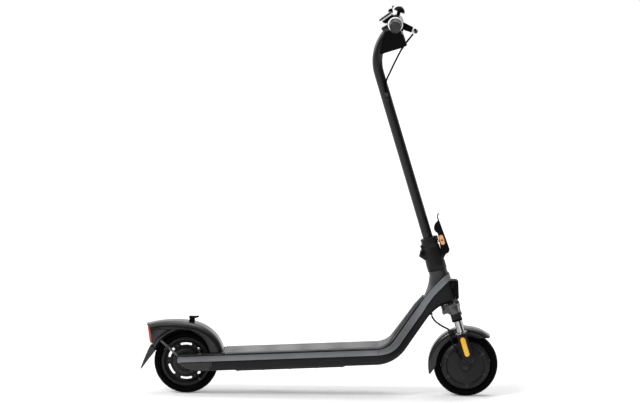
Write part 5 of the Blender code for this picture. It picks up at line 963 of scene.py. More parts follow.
def paint_regions(thing):
    """Grey paint above the band from the bend to the neck, and grey covers under the rear arms."""
    line = [s["low"] + s["up"] * sum(trim_ends(s)) / 2 for s in STATIONS[2:]]
    bend_x = deck_point(DECK_RUN, 0)[0]
    for face in thing.data.polygons:
        x, z = face.center.x, face.center.z
        after = next((k for k, point in enumerate(line) if point.x >= x), len(line) - 1)
        a, b = line[max(after - 1, 0)], line[after]
        share = min(max((x - a.x) / max(b.x - a.x, 0.000001), 0.0), 1.0)
        above = z > a.z + (b.z - a.z) * share
        along = (DECK.inverted() @ face.center).x
        face.material_index = 1 if above and x > bend_x else 2 if not above and along < 0.0797 else 0


def band():
    """The silver band, in three lengths with fine joints, and the dark seam above it."""
    bases = [(s["low"], s["up"], *trim_ends(s), s["half_width"]) for s in STATIONS[1:]]
    ahead = Vector((math.cos(STEER_ANGLE), 0.0, math.sin(STEER_ANGLE)))
    count = len(bases)

    def ring_at(base, sign, out, thick, grow):
        """The band's outline at one place; grow makes it taller at both edges."""
        at, up, low, high, across = base
        surface = at + Vector((0.0, sign * across, 0.0))
        near, far = out * FIT, out * (FIT + thick)
        low, high = low - grow, high + grow
        soft = min(0.0011, (high - low) * 0.3)
        swell = out * 0.0003
        return [surface + near + up * low, surface + far * 0.6 + up * low,
                surface + far * 0.93 + up * (low + soft * 0.35), surface + far + up * (low + soft),
                surface + far + swell + up * ((low + high) / 2),
                surface + far + up * (high - soft), surface + far * 0.93 + up * (high - soft * 0.35),
                surface + far * 0.6 + up * high, surface + near + up * high]

    def lean(index):
        """Which way the band faces: to the side, and ahead where it goes round the neck."""
        share = max(0.0, (index - (count - 10)) / 9)
        turn = share ** 1.6 * 0.85 * math.pi / 2
        return Vector((0.0, -math.cos(turn), 0.0)) + ahead * math.sin(turn)

    def loop(thick, grow):
        """All outlines, along the right side, round the neck and back along the left side."""
        right = [(base, lean(index)) for index, base in enumerate(bases)]
        middle = (*bases[-1][:4], 0.0)
        return ([ring_at(base, -1, out, thick, grow) for base, out in right]
                + [ring_at(middle, 1, ahead, thick, grow)]
                + [ring_at(base, 1, Vector((out.x, -out.y, out.z)), thick, grow)
                   for base, out in reversed(right)])

    rings = loop(0.0032, 0.0)
    joint = next(k for k, ring in enumerate(rings) if ring[0].x > 0.1905)
    gap = 0.0005
    shape = Shape()

    def nudged(index, amount):
        """The ring at an index, moved a little towards its neighbour."""
        here, there = rings[index], rings[index + (1 if amount > 0 else -1)]
        share = abs(amount) / (there[4] - here[4]).length
        return [a.lerp(b, share) for a, b in zip(here, there)]

    last = len(rings) - 1
    shape.skin(rings[:joint] + [nudged(joint, -gap)])
    shape.skin([nudged(joint, gap)] + rings[joint + 1:last - joint] + [nudged(last - joint, -gap)])
    shape.skin([nudged(last - joint, gap)] + rings[last - joint + 1:])
    add("side_band", shape, "trim", "frame", ["side_trim"], crease=50)
    add("band_seam", Shape().skin(loop(0.0012, 0.0022)[4:-4]), "groove", "frame", crease=50)


def deck_mat():
    """The ribbed mat, with two rows of raised dots along each edge and a plain border."""
    rear = beam_point(deck_point(0.129, 0.0), deck_point(0.129, BEAM_DEPTH), DECK_HALF_WIDTH)
    stop = (STEER @ Vector((-0.0585, 0, 0.2545))).z - 0.012
    run = [rear] + [s for s in STATIONS[12:] if s["low"].x > rear["low"].x + 0.01
                    and (s["low"] + s["up"] * s["depth"]).z < stop]
    mat = Shape()
    mat.skin([beam_ring(s, section(s["half_width"] - MAT_MARGIN, s["depth"] + FIT,
                                   s["depth"] + FIT + MAT_THICKNESS, 0.0008, 0.0013, 3)) for s in run])
    add("deck_mat_sheet", mat, "mat", "frame", ["deck_mat"], crease=40)
    dots = Shape()
    part = bmesh.new()
    spine = [(s["low"] + s["up"] * (s["depth"] + FIT + MAT_THICKNESS), s["up"], s["half_width"] - MAT_MARGIN)
             for s in run]
    travelled, pitch = 0.0, 0.0078
    for (a, up_a, wide_a), (b, up_b, wide_b) in zip(spine, spine[1:]):
        length = (b - a).length
        while travelled < length:
            share = travelled / length
            at, up = a.lerp(b, share), up_a.lerp(up_b, share).normalized()
            wide = wide_a + (wide_b - wide_a) * share
            for inset, radius in ((0.0026, 0.002), (0.0072, 0.0013)):
                for sign in (-1, 1):
                    place = facing(at + Vector((0, sign * (wide - inset), 0)) + up * 0.0002, up)
                    bmesh.ops.create_cone(part, cap_ends=True, segments=10, radius1=radius,
                                          radius2=radius * 0.7, depth=0.0016, matrix=place)
            travelled += pitch
        travelled -= length
    dots.take(part)
    add("deck_mat_dots", dots, "groove", "frame")


def deck_bottom():
    """The battery cover with its rim, ribs and screws, and the port behind the rubber flap."""
    cover = Shape(DECK)
    outline = rounded_box((0.159, -0.0575), (0.505, 0.0575), 0.012, 8)
    cover.prism(outline, -0.0033, -0.0003, 0.0008, "XY")
    for k in range(5):
        x = 0.2 + 0.065 * k
        cover.prism(rounded_box((x, -0.045), (x + 0.006, 0.045), 0.0028, 5), -0.0042, -0.003, 0.0005, "XY")
    add("battery_cover", cover, "plastic", "frame", ["bottom_cover"])
    screws = Shape(DECK)
    for x in (0.168, 0.248, 0.332, 0.416, 0.496):
        for sign in (-1, 1):
            screws.screw((x, sign * 0.0515, -0.0033), (0, 0, -1), 0.0032, 0.0014)
    add("battery_cover_screws", screws, "dark_steel", "frame")
    port = Shape(DECK)
    port.rod((0.535, 0.07, 0.014), (0.535, 0.0731, 0.014), 0.0058, 40, 0.0005)
    port.rod((0.535, 0.0728, 0.014), (0.535, 0.0732, 0.014), 0.003, 24)
    add("charge_port", port, "dark_steel", "frame")
    cap = Shape(DECK)
    face = DECK_HALF_WIDTH + FIT
    for corners, rounding, steps, low, high, bevel in (
            (((0.523, 0.006), (0.547, 0.022)), 0.0045, 6, 0.0, 0.003, 0.0008),
            (((0.5285, 0.0195), (0.5415, 0.0218)), 0.0008, 3, 0.002, 0.0034, 0.0004),
            (((0.5315, 0.0062), (0.5385, 0.0086)), 0.0009, 3, 0.0024, 0.004, 0.0004)):
        cap.prism(rounded_box(*corners, rounding, steps), face + low, face + high, bevel)
    add("charge_flap", cap, "grip", "charge_cap", ["charge_port_cap"])


def kickstand():
    """The side stand: pivot bolt, bent leg and rubber foot."""
    place = DECK @ shift(0.3, 0.0666, -0.0102)
    stand = Shape(place)
    stand.rod((0, 0, 0), (0, 0.008, 0), 0.009, 40, 0.0008)
    stand.tube([(x, 0.0055, 0.001) for x in (-0.002, -0.03, -0.058)], lambda t: 0.005 - 0.0006 * t, 20)
    stand.finish = 1
    stand.tube([(x, 0.0055, 0.001) for x in (-0.054, -0.06, -0.0695, -0.0718)],
               lambda t: 0.005 - 0.0012 * max(t - 0.85, 0) / 0.15, 20)
    stand.finish = 2
    stand.screw((0, 0.008, 0), (0, 1, 0), 0.0045, 0.0018)
    add("kickstand_arm", stand, "plastic grip steel", "kickstand", ["kickstand_leg"])


def channel(edge, crown, half_width, wall, corner, steps=7):
    """A U-shaped ring, open below, between its skirt edge and its crown (x, z)."""
    edge, crown = Vector((edge[0], 0.0, edge[1])), Vector((crown[0], 0.0, crown[1]))
    up = crown - edge
    depth = up.length
    up.normalize()
    corner = min(corner, depth * 0.9, half_width * 0.9)
    inner = max(corner - wall, corner * 0.3)
    wide, thin = half_width, half_width - wall
    ring = [(wide + 0.0004, 0.0006), (wide, 0.0022)]
    ring += arc((wide - corner, depth - corner), corner, 0, 90, steps)
    ring += arc((corner - wide, depth - corner), corner, 90, 180, steps)
    ring += [(-wide, 0.0022), (-wide - 0.0004, 0.0006), (-wide + 0.0008, 0.0), (-thin - 0.0006, 0.0),
             (-thin, 0.001)]
    ring += arc((inner - thin, depth - wall - inner), inner, 180, 90, steps)
    ring += arc((thin - inner, depth - wall - inner), inner, 90, 0, steps)
    ring += [(thin, 0.001), (thin + 0.0006, 0.0), (wide - 0.0008, 0.0)]
    return [edge + up * height + Vector((0.0, across, 0.0)) for across, height in ring]


def rear_fender():
    """The rear fender's shell, and the plate with two screws at the end of the deck."""
    def deck_top(x):
        return BELLY_HEIGHT + x * math.tan(DECK_PITCH) + BEAM_DEPTH / math.cos(DECK_PITCH) - AXLE_HEIGHT

    radius, seat = FENDER_RADIUS, 0.0005
    crown_x, edge_x = radius * math.cos(math.radians(16.5)), 0.079
    knots = [((edge_x, deck_top(edge_x) + seat), (crown_x, deck_top(crown_x) + seat), 0.046),
             (polar(radius - 0.037, 38), polar(radius, 33), 0.046),
             (polar(radius - 0.031, 55), polar(radius, 50), 0.046),
             (polar(radius - 0.026, 73), polar(radius, 68), 0.046),
             ((0.006, radius - 0.022), (0.01, radius), 0.046),
             ((-0.032, radius - 0.022), (-0.035, radius + 0.003), 0.042),
             ((-0.07, radius - 0.023), (-0.083, radius), 0.038),
             ((-0.105, radius - 0.0225), (-0.1245, radius - 0.0085), 0.038)]
    edges, crowns = (curve_through([k[part] for k in knots], 6) for part in (0, 1))
    wides = curve_through([(k[2], 0) for k in knots], 6)
    shell = Shape(REAR)
    shell.skin([channel(e, c, min(w.x, 0.046), 0.003, 0.02, 10) for e, c, w in zip(edges, crowns, wides)])
    add("rear_fender_shell", shell, "fender", "frame", ["rear_fender"], crease=42)
    top = BEAM_DEPTH + 0.0026
    plate, screws = Shape(DECK), Shape(DECK)
    outline = rounded_box((0.1165, -0.0675), (0.1284, 0.0675), 0.004)
    plate.prism(outline, BEAM_DEPTH + 0.0002, top, 0.0009, "XY")
    add("deck_end_plate", plate, "fender", "frame")
    for sign in (-1, 1):
        screws.screw((0.1225, sign * 0.056, top), (0, 0, 1), 0.003, 0.0012)
    add("deck_end_screws", screws, "dark_steel", "frame")


def tail_lamp():
    """The tail lamp's housing, near-black bands of painted shade beside the wheel arch, and its ribbed lens.
    """
    half = LAMP_HALF_WIDTH
    low_back, high_back = (-0.1035, 0.06), (-0.1085, 0.1075)
    housing = Shape(REAR)
    outline = arc((0, 0), 0.109, 98, 152, 24)
    outline += [(-0.1, 0.0565), low_back, high_back, (-0.072, 0.11), (-0.016, 0.1115)]
    housing.prism(outline, -half, half, 0.0008)
    housing.finish = 1
    strip = arc((0, 0), 0.1072, 96, 156, 24) + arc((0, 0), 0.1182, 152, 99, 22)
    for sign in (-1, 1):
        housing.prism(strip, *span(sign, half - 0.0006, half + 0.0016), 0.0005)
    # Near-black bands at the housing's sides, round the tyre: painted shade in the wheel arch.
    housing.finish = 2
    lip = arc((0, 0), 0.1005, 84, 158, 30) + arc((0, 0), 0.11, 158, 84, 30)
    for sign in (-1, 1):
        housing.prism(lip, *span(sign, 0.0305, half - 0.0002), 0.0005)
    housing.finish = 0
    for sign in (-1, 1):
        housing.prism([low_back, high_back, (-0.1125, 0.1075), (-0.1078, 0.06)],
                      *span(sign, half, half - 0.0022), 0.0004)
    add("tail_lamp_housing", housing, "fender fender groove", "frame", ["tail_light_housing"])
    glass = Shape(REAR)
    corners = [(low_back[0] - 0.0004, low_back[1]), (-0.1105, 0.1155), (-0.1205, 0.115), (-0.113, 0.061)]
    glass.prism(softened(corners, 0.003, 4), -half + 0.003, half - 0.003, 0.0014, segments=3)
    for k in range(9):
        y = -0.024 + 0.006 * k
        glass.rod((-0.1196, y, 0.11), (-0.1136, y, 0.065), 0.0011, 10)
    add("tail_lamp_lens", glass, "red", "frame", ["tail_light_lens"])


def mud_flap():
    """The flap that hangs from the tail lamp's housing, with its tab and three ribs."""
    flap = Shape(REAR)
    top_crown, top_edge = Vector((-0.115, 0.0485)), Vector((-0.089, 0.0435))
    tip_crown = Vector((-0.1447, -0.025))
    tip_edge = tip_crown + Vector((0.0055, 0.003))
    rings = []
    for step in range(13):
        share = step / 12
        bow = Vector((0.0012 * math.sin(math.pi * share), 0))
        rings.append(channel(top_edge.lerp(tip_edge, share) - bow, top_crown.lerp(tip_crown, share) - bow,
                             0.03 - 0.004 * share, 0.003, 0.006 - 0.002 * share, 4))
    flap.skin(rings)
    tab = [(-0.1002, 0.056), (-0.103, 0.0588), (-0.114, 0.0475), (-0.1162, 0.043), (-0.112, 0.042),
           (-0.101, 0.0455)]
    flap.prism(tab, -0.018, 0.018, 0.0006)
    for k in range(3):
        rib = top_crown.lerp(tip_crown, 0.2 + 0.22 * k)
        reach = 0.021 - 0.0012 * k
        flap.rod((rib.x - 0.0004, -reach, rib.y), (rib.x - 0.0004, reach, rib.y), 0.001, 10)
    add("mud_flap_skin", flap, "fender", "frame", ["mud_flap"], crease=40)


def stem_hook():
    """The hook on the rear fender that the folded handlebar would catch."""
    hook = Shape(REAR)
    clear = FENDER_RADIUS + FIT
    foot_z = math.sqrt(clear ** 2 - 0.0245 ** 2) + 0.0002
    peak = math.sqrt(clear ** 2 - 0.004 ** 2) + 0.0162
    hook.prism(softened([(0.0085, clear - 0.0006), (0.0275, foot_z - 0.0002), (0.0262, peak - 0.005),
                         (0.0115, peak - 0.004)], 0.0015), -0.008, 0.008, 0.001)
    for x in (0.0125, 0.018, 0.0235):
        for y in (-0.0083, 0.0083):
            hook.rod((x, y, clear + 0.0008), (x, y, peak - 0.006), 0.0012, 10)
    hook.prism(softened([(0.0085, peak - 0.006), (0.0262, peak - 0.0072), (0.033, peak - 0.005),
                         (0.0395, peak - 0.003), (0.041, peak + 0.0004), (0.033, peak - 0.0002),
                         (0.0095, peak - 0.0002)], 0.001), -0.0078, 0.0078, 0.0008)
    add("stem_hook", hook, "plastic", "frame", ["folding_hook"])


def fender_stays():
    """The two stays from the rear axle to the fender, each with a bolt."""
    for side, sign in SIDES:
        stay = Shape(REAR)
        end = Vector((-0.078, 0.07))
        along = end.normalized()
        out = Vector((-along.y, along.x)) * 0.0035
        low, high = span(sign, 0.038, 0.041)
        stay.prism([end + out, along * 0.009 + out, along * 0.009 - out, end - out], low, high, 0.0006)
        stay.lathe([(0.0063, low), (0.0118, low), (0.012, (low + high) / 2), (0.0118, high), (0.0063, high)],
                   48, loop=True)
        foot = end - along * 0.0035
        stay.rod((foot.x, sign * (LAMP_HALF_WIDTH + FIT), foot.y), (foot.x, sign * 0.0385, foot.y),
                 0.0031, 20)
        stay.finish = 1
        stay.screw((foot.x, sign * 0.041, foot.y), (0, sign, 0), 0.0026, 0.0012)
        add(f"fender_stay_bar_{side}", stay, "crown dark_steel", "frame", [f"fender_stay_{side}"])


def front_fender():
    """The front fender with tapered ends, and its two short arms."""
    first, last = 50.0 - STEER_DEGREES, 194.0 - STEER_DEGREES
    rings, steps = [], 72
    for step in range(steps + 1):
        share = step / steps
        angle = first + (last - first) * share
        near_front, near_rear = min(share / 0.13, 1.0), min((1 - share) / 0.11, 1.0)
        skirt = 0.093 + 0.0215 * (1 - math.sin(near_front * math.pi / 2)) + 0.0205 * (
            1 - math.sin(near_rear * math.pi / 2))
        rings.append(channel(polar(skirt, angle), polar(0.119, angle), 0.034, 0.003, 0.014, 8))
    shell = Shape(STEER)
    shell.skin(rings)
    for sign in (-1, 1):
        low, high = span(sign, 0.0325, 0.0422)
        shell.block((FORK_LEAD - 0.008, low, 0.082), (FORK_LEAD + 0.008, high, 0.096), 0.001)
    add("front_fender_shell", shell, "fender", "fork_lower", ["front_fender"], crease=42)


def headlight():
    """The lamp box with rounded edges, a bezel, a ribbed lens and the lamp behind it."""
    lean = math.tan(STEER_ANGLE)
    back = HEAD_RADIUS + 0.001
    low, high = Vector((0.0355, 0.0, 0.2055)), Vector((0.0505, 0.0, 0.2713 - (0.0505 - back) * lean))
    box = Shape(STEER)
    box.prism(softened([(back, 0.2075), (low.x, low.z), (high.x, high.z), (back, 0.2713)], 0.0035, 5),
              -0.024, 0.024, 0.0022, segments=3)
    add("headlight_box", box, "plastic", "frame", ["headlight_housing"])
    along = (high - low).normalized()
    out = Vector((along.z, 0.0, -along.x))
    place = STEER @ Matrix.Translation((low + high) / 2) @ Matrix((
        (along.x, 0, out.x, 0), (0, -1, 0, 0), (along.z, 0, out.z, 0), (0, 0, 0, 1)))
    half = (high - low).length / 2
    rim = Shape(place)
    ring = rounded_box((-half + 0.003, -0.021), (half - 0.003, 0.021), 0.006, 6)
    inner = rounded_box((-half + 0.0065, -0.0175), (half - 0.0065, 0.0175), 0.0045, 6)
    rim.skin([[(x, y, h) for x, y in line] for line, h in
              ((ring, 0.0002), (ring, 0.003), (inner, 0.0034), (inner, 0.0012))], loop=True)
    add("headlight_bezel", rim, "groove", "frame", crease=40)
    glass = Shape(place)
    glass.prism(inner, 0.0003, 0.0026, 0.0006, "XY")
    add("headlight_glass", glass, "clear", "frame", ["headlight_lens"])
    lamp = Shape(place)
    cup = [(0, -0.0009), (0.003, -0.0009), (0.0064, 0.0001), (0.007, 0.0001), (0.007, -0.0013), (0, -0.0013)]
    for k in range(3):
        for y in (0.0085, -0.0085):
            lamp.lathe(cup, 32, "Z", place=shift(-half + 0.0155 + k * (half - 0.0155), y, 0.0012))
    add("headlight_reflectors", lamp, "chrome", "frame")


def fork_crown():
    """The crown: bridge, boss with a lip, two sleeves with clamp bands, a black patch of painted shade for
    the pocket in each side, and light strips of painted highlight on its front edges and under the pockets.
    """
    crown = Shape(STEER)
    crown.block((-0.023, -0.049, 0.1762), (0.033, 0.049, 0.188), 0.0025, segments=4)
    crown.rod((0, 0, 0.18), (0, 0, CROWN_TOP), 0.023, 72, 0.0012)
    crown.rod((0, 0, 0.19), (0, 0, 0.3357), 0.014, 40)
    shoulder = softened([(-0.012, 0.188), (-0.002, CROWN_TOP), (0.018, CROWN_TOP), (0.0335, 0.193),
                         (0.0345, 0.172), (0.001, 0.172), (-0.006, 0.177)], 0.004, 4)
    lip = [(-0.0015, 0.1925), (0.033, 0.1925), (0.0332, 0.1945), (0.0005, 0.1945)]
    sleeve = [(0.0124, 0.147), (0.016, 0.147), (0.0165, 0.1476), (0.0165, 0.164), (0.0161, 0.1645),
              (0.0161, 0.1655), (0.0165, 0.166), (0.0165, 0.1722), (0.0124, 0.1722)]
    collar = [(0.0124, 0.1722), (0.016, 0.1722), (0.0163, 0.173), (0.0163, 0.195), (0.015, 0.1985),
              (0.0124, 0.1988)]
    cap = [(0, 0.1988), (0.0112, 0.1988), (0.0118, 0.1978), (0.0118, 0.189), (0, 0.189)]
    pocket_rim = [(0.001, 0.18), (0.0215, 0.18), (0.0225, 0.1895), (0.004, 0.1895)]
    for sign in (-1, 1):
        at = shift(FORK_LEAD, sign * LEG_OFFSET, 0)
        crown.prism(shoulder, *span(sign, 0.047, 0.067), 0.0016, segments=3)
        crown.prism(lip, *span(sign, 0.0662, 0.0676), 0.0004)
        crown.finish = 3
        crown.lathe(sleeve, 64, "Z", loop=True, place=at)
        crown.finish = 0
        crown.lathe(collar, 64, "Z", loop=True, place=at)
        crown.lathe(cap, 48, "Z", place=at)
        crown.prism(pocket_rim, *span(sign, 0.0664, 0.0672), 0.0008)
    crown.finish = 1
    # Each pocket is a thin black patch laid on the side: painted shade where a recess would be.
    pocket = softened([(0.0045, 0.1815), (0.0195, 0.1815), (0.0203, 0.188), (0.007, 0.188)], 0.0015)
    for sign in (-1, 1):
        crown.prism(pocket, *span(sign, 0.0669, 0.06745))
        crown.lathe([(0.01655, 0.1478), (0.0169, 0.1482), (0.0169, 0.1532), (0.01655, 0.1536)], 64, "Z",
                    loop=True, place=shift(FORK_LEAD, sign * LEG_OFFSET, 0))
    # Light strips on the crown's front edges and under the pockets: painted highlights.
    crown.finish = 2
    for sign in (-1, 1):
        low, high = span(sign, 0.0515, 0.0645)
        crown.block((0.0336, low, 0.1742), (0.0352, high, 0.1925), 0.0005)
        low, high = span(sign, 0.0664, 0.0676)
        crown.prism([(0.0285, 0.1745), (0.0322, 0.1745), (0.0318, 0.1915), (0.028, 0.1935)],
                    low, high, 0.0005)
        crown.prism([(0.004, 0.1778), (0.0215, 0.1778), (0.0215, 0.1786), (0.004, 0.1786)],
                    low, high, 0.0003)
    add("fork_crown_casting", crown, "crown groove light base", "steering", ["fork_crown"], crease=38)
    for side, sign in SIDES:
        tube = Shape(STEER @ shift(FORK_LEAD, sign * LEG_OFFSET, 0))
        tube.lathe([(0, 0.188), (0.012, 0.188), (0.012, 0.045), (0.0088, 0.045), (0.0088, 0.182),
                    (0, 0.182)], 80, "Z")
        add(f"stanchion_tube_{side}", tube, "chrome", "steering", [f"stanchion_{side}"])


def fork_leg(side, sign):
    """A lower leg with its flank, axle lug, seal, reflector and carrier; the right one guides the cable."""
    at = shift(FORK_LEAD, sign * LEG_OFFSET, 0)
    bore, top = 0.0126, 0.1035
    face = LEG_OFFSET + 0.0155
    leg, flank, carrier = Shape(STEER), Shape(STEER), Shape(STEER)
    leg.lathe([(bore, top + 0.0062), (0.015, top + 0.0058), (0.0155, top - 0.001), (0.0155, 0.016),
               (0.014, 0.0128), (0, 0.0128), (0, 0.0193), (bore, 0.0193)], 64, "Z", place=at)
    web = [(0.0025, 0.04), (-0.016, 0.012), (0.0, -0.01), (0.022, 0.004), (0.0295, 0.02)]
    flank.prism(softened(web, 0.004, 4), *span(sign, 0.048, 0.0612), 0.0015)
    low, high = span(sign, 0.048, 0.062)
    leg.lathe([(0.0083, low), (0.0185, low), (0.02, low + 0.0012), (0.02, high - 0.0012), (0.0185, high),
               (0.0083, high)], 64, loop=True)
    low, high = span(sign, 0.06, 0.0636)
    leg.lathe([(0.013, low), (0.0168, low), (0.0172, (low + high) / 2), (0.0166, high), (0.013, high)],
              64, loop=True)
    carrier.prism(stadium((FORK_LEAD, 0.063), 0.0115, 0.037), *span(sign, face - 0.008, face + 0.004),
                  0.0016, segments=3)
    carrier_bore, flank_bore = (Shape(STEER @ at).rod((0, 0, 0.019), (0, 0, 0.13), 0.0128, 64)
                                for cut in (carrier, flank))
    add(f"reflector_carrier_{side}", carrier, "base", "fork_lower", cuts=[carrier_bore], crease=38)
    edge = [(FORK_LEAD - 0.015, 0.1), (FORK_LEAD + 0.015, 0.1), (FORK_LEAD + 0.0152, 0.02),
            (FORK_LEAD - 0.015, 0.024)]
    flank.prism(softened(edge, 0.004, 4), *span(sign, face - 0.012, face - 0.0015), 0.0022, segments=3)
    add(f"fork_leg_flank_{side}", flank, "base", "fork_lower", cuts=[flank_bore], crease=38)
    if side == "right":
        guide_cable(leg)
    leg.finish = 2
    lobe = [(0.0012, 0.021), (0.0022, 0.0145), (0.0065, 0.0105), (0.016, 0.0095), (0.0255, 0.011),
            (0.03, 0.016), (0.0308, 0.0215)]
    leg.tube(curve_through([(x, sign * (face - 0.0024), z) for x, z in lobe], 5), 0.001, 10)
    add(f"fork_leg_casting_{side}", leg, "base groove neck", "fork_lower", [f"fork_leg_{side}"], crease=38)
    seal = Shape(STEER @ at)
    seal.lathe([(bore, 0.1106), (0.016, 0.1105), (0.0176, 0.1099), (0.0193, 0.1088), (0.0195, 0.1062),
                (0.0186, 0.105), (0.0157, 0.1044), (bore, 0.1044)], 72, "Z", loop=True)
    add(f"fork_seal_{side}", seal, "chrome", "fork_lower")
    start = face + 0.004 + FIT
    pill = Shape(STEER)
    pill.prism(stadium((FORK_LEAD, 0.0635), 0.007, 0.0305), *span(sign, start, start + 0.003), 0.0009,
               segments=3)
    pill.finish = 1
    pill.prism(stadium((FORK_LEAD, 0.0635), 0.0081, 0.0316), *span(sign, start, start + 0.0022), 0.0005)
    add(f"reflector_pill_{side}", pill, "amber orange_edge", "fork_lower", [f"reflector_{side}"])


def guide_cable(leg):
    """The motor cable's way down the back of a leg, with its clip, two ties and a screw."""
    y = -0.044
    route = [(-0.0185, y, 0.106), (-0.019, y, 0.09), (-0.0175, y, 0.067), (-0.014, y, 0.043),
             (-0.008, -0.0435, 0.024), (-0.004, -0.043, 0.0175)]
    leg.tube(curve_through(route, 8), 0.003, 14)
    leg.block((-0.0215, y - 0.0035, 0.104), (0.006, y + 0.0035, 0.11), 0.001)
    leg.block((-0.0225, y - 0.0035, 0.1037), (-0.004, y + 0.0035, 0.1235), 0.0015)
    leg.finish = 1
    for up, low_x, high_x in ((0.085, -0.0185, -0.0187), (0.052, -0.0155, -0.0158)):
        leg.tube([(low_x, y, up - 0.0022), (high_x, y, up + 0.0022)], 0.0036, 14)
    leg.screw((-0.013, y - 0.0035, 0.114), (0, -1, 0), 0.0022, 0.001)


def front_axle():
    """The front axle with its collars and two nuts."""
    axle = Shape(STEER)
    outer = 0.0623
    half = [(0, outer), (0.008, outer), (0.008, 0.0477), (0.0118, 0.0477), (0.012, 0.047), (0.012, 0.0362),
            (0.008, 0.036)]
    axle.lathe(half + [(radius, -y) for radius, y in reversed(half)], 56)
    for sign in (-1, 1):
        axle.nut((0, sign * outer, 0), (0, sign, 0), 0.0105, 0.0072)
        axle.rod((0, sign * (outer + 0.006), 0), (0, sign * (outer + 0.008), 0), 0.005, 32, 0.0006)
    add("front_axle_shaft", axle, "hub", "fork_lower", ["front_axle"])


def fork_springs():
    """The coil springs inside the stanchions."""
    length, per_turn = SPRING_TOP - SPRING_BOTTOM, 14
    for side, sign in SIDES:
        at = STEER @ shift(FORK_LEAD, sign * LEG_OFFSET, 0)
        route = []
        for step in range(SPRING_TURNS * per_turn + 1):
            angle = 2 * math.pi * step / per_turn
            route.append((SPRING_RADIUS * math.cos(angle), SPRING_RADIUS * math.sin(angle),
                          SPRING_BOTTOM + length * step / (SPRING_TURNS * per_turn)))
        coil = Shape(at)
        coil.tube(route, SPRING_WIRE_RADIUS, 8)
        thing = add(f"fork_coil_{side}", coil, "steel", "steering", [f"fork_spring_{side}"])
        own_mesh(thing)


def fold_base():
    """The base of the folding joint, the hinge's ears, the latch's ears and pin, and the knuckle's wedge."""
    base = Shape(STEER)
    base.lathe([(0, 0.3915), (0.0262, 0.3912), (0.0275, 0.39), (0.0275, 0.3795), (0.028, 0.3775),
                (0.03, 0.34), (0.0305, 0.333), (0.0305, 0.3155), (0.0298, 0.3146), (0.0292, 0.3145),
                (0, 0.3145)], 96, "Z")
    slot = Shape(STEER)
    slot.block((-0.06, -0.0121, HINGE_UP - 0.0105), (HINGE_AHEAD + 0.0105, 0.0121, 0.42), 0.0005)
    add("fold_base_casting", base, "base", "steering", ["fold_base"], cuts=[slot], crease=38)
    ears, wedge, pin = Shape(STEER), Shape(STEER), Shape(STEER)
    hinge_ear = softened([(HINGE_AHEAD, HINGE_UP - 0.0205), (-0.012, HINGE_UP - 0.0205),
                          (-0.012, HINGE_UP + 0.006), (HINGE_AHEAD, HINGE_UP + 0.006)], 0.003)
    for sign in (-1, 1):
        low, high = span(sign, 0.0121, 0.021)
        ears.rod((HINGE_AHEAD, low, HINGE_UP), (HINGE_AHEAD, high, HINGE_UP), 0.009, 48, 0.001)
        ears.prism(hinge_ear, low, high, 0.0012)
    inner, (ahead, up) = 0.0104, LATCH_PIVOT
    ears.prism([(0.02, up + 0.008), (0.02, up - 0.019), (0.029, up - 0.019), (ahead + 0.006, up - 0.0068),
                (ahead, up + 0.0085)], -inner, inner, 0.0008)
    ears.rod((ahead, -inner, up), (ahead, inner, up), 0.009, 40, 0.0005)
    ears.finish = 1
    ears.rod((ahead, -0.0145, up), (ahead, 0.0145, up), 0.003, 24)
    ears.lathe([(0.02955, 0.3143), (0.0302, 0.3143), (0.0306, 0.3152), (0.0306, 0.316), (0.02955, 0.316)],
               96, "Z", loop=True)
    add("fold_base_ears", ears, "base groove", "steering", crease=38)
    for sign in (-1, 1):
        wedge.prism([(-0.044, 0.3742), (-0.0432, 0.3718), (-0.03, 0.3555), (-0.025, 0.357),
                     (-0.025, 0.366), (-0.035, 0.3715)], *span(sign, 0.0124, 0.0185))
    add("fold_knuckle_wedge", wedge, "base", "steering")
    pin.rod((HINGE_AHEAD, -0.023, HINGE_UP), (HINGE_AHEAD, 0.023, HINGE_UP), 0.004, 32, 0.0006)
    for sign in (-1, 1):
        pin.screw((HINGE_AHEAD, sign * 0.0212, HINGE_UP), (0, sign, 0), 0.0062, 0.0017)
    add("fold_hinge_pin", pin, "plastic", "steering", ["hinge_pin"])


def stem_collar():
    """The clamped collar under the stem, with its rolled lip, groove, hinge lug and front lug."""
    bottom, top = BASE_TOP + FIT, COLLAR_TOP
    collar = Shape(STEER)
    collar.lathe([(0.0164, top - 0.0006), (0.0225, top), (0.0248, top - 0.0008), (0.026, top - 0.003),
                  (0.0256, top - 0.0062), (0.0242, top - 0.0072), (0.0242, top - 0.01),
                  (0.0258, top - 0.0112), (0.026, top - 0.014), (0.026, bottom + 0.002), (0.0252, bottom),
                  (0.0164, bottom)], 96, "Z", loop=True)
    collar.rod((HINGE_AHEAD, -0.0115, HINGE_UP), (HINGE_AHEAD, 0.0115, HINGE_UP), 0.009, 40, 0.0008)
    collar.block((HINGE_AHEAD - 0.001, -0.0115, HINGE_UP), (HINGE_AHEAD + 0.009, 0.0115, bottom + 0.01),
                 0.001)
    collar.block((0.02, -0.009, top - 0.0165), (0.03, 0.009, top - 0.0012), 0.0018, segments=3)
    collar.finish = 1
    collar.screw((0.0262, -0.009, top - 0.0085), (0, -1, 0), 0.003, 0.0014)
    collar.finish = 2
    collar.rod((0.0265, -0.0055, top - 0.0205), (0.031, -0.0055, top - 0.019), 0.0026, 20, 0.0004)
    add("stem_collar_clamp", collar, "base dark_steel light", "stem", ["stem_collar"], crease=38)


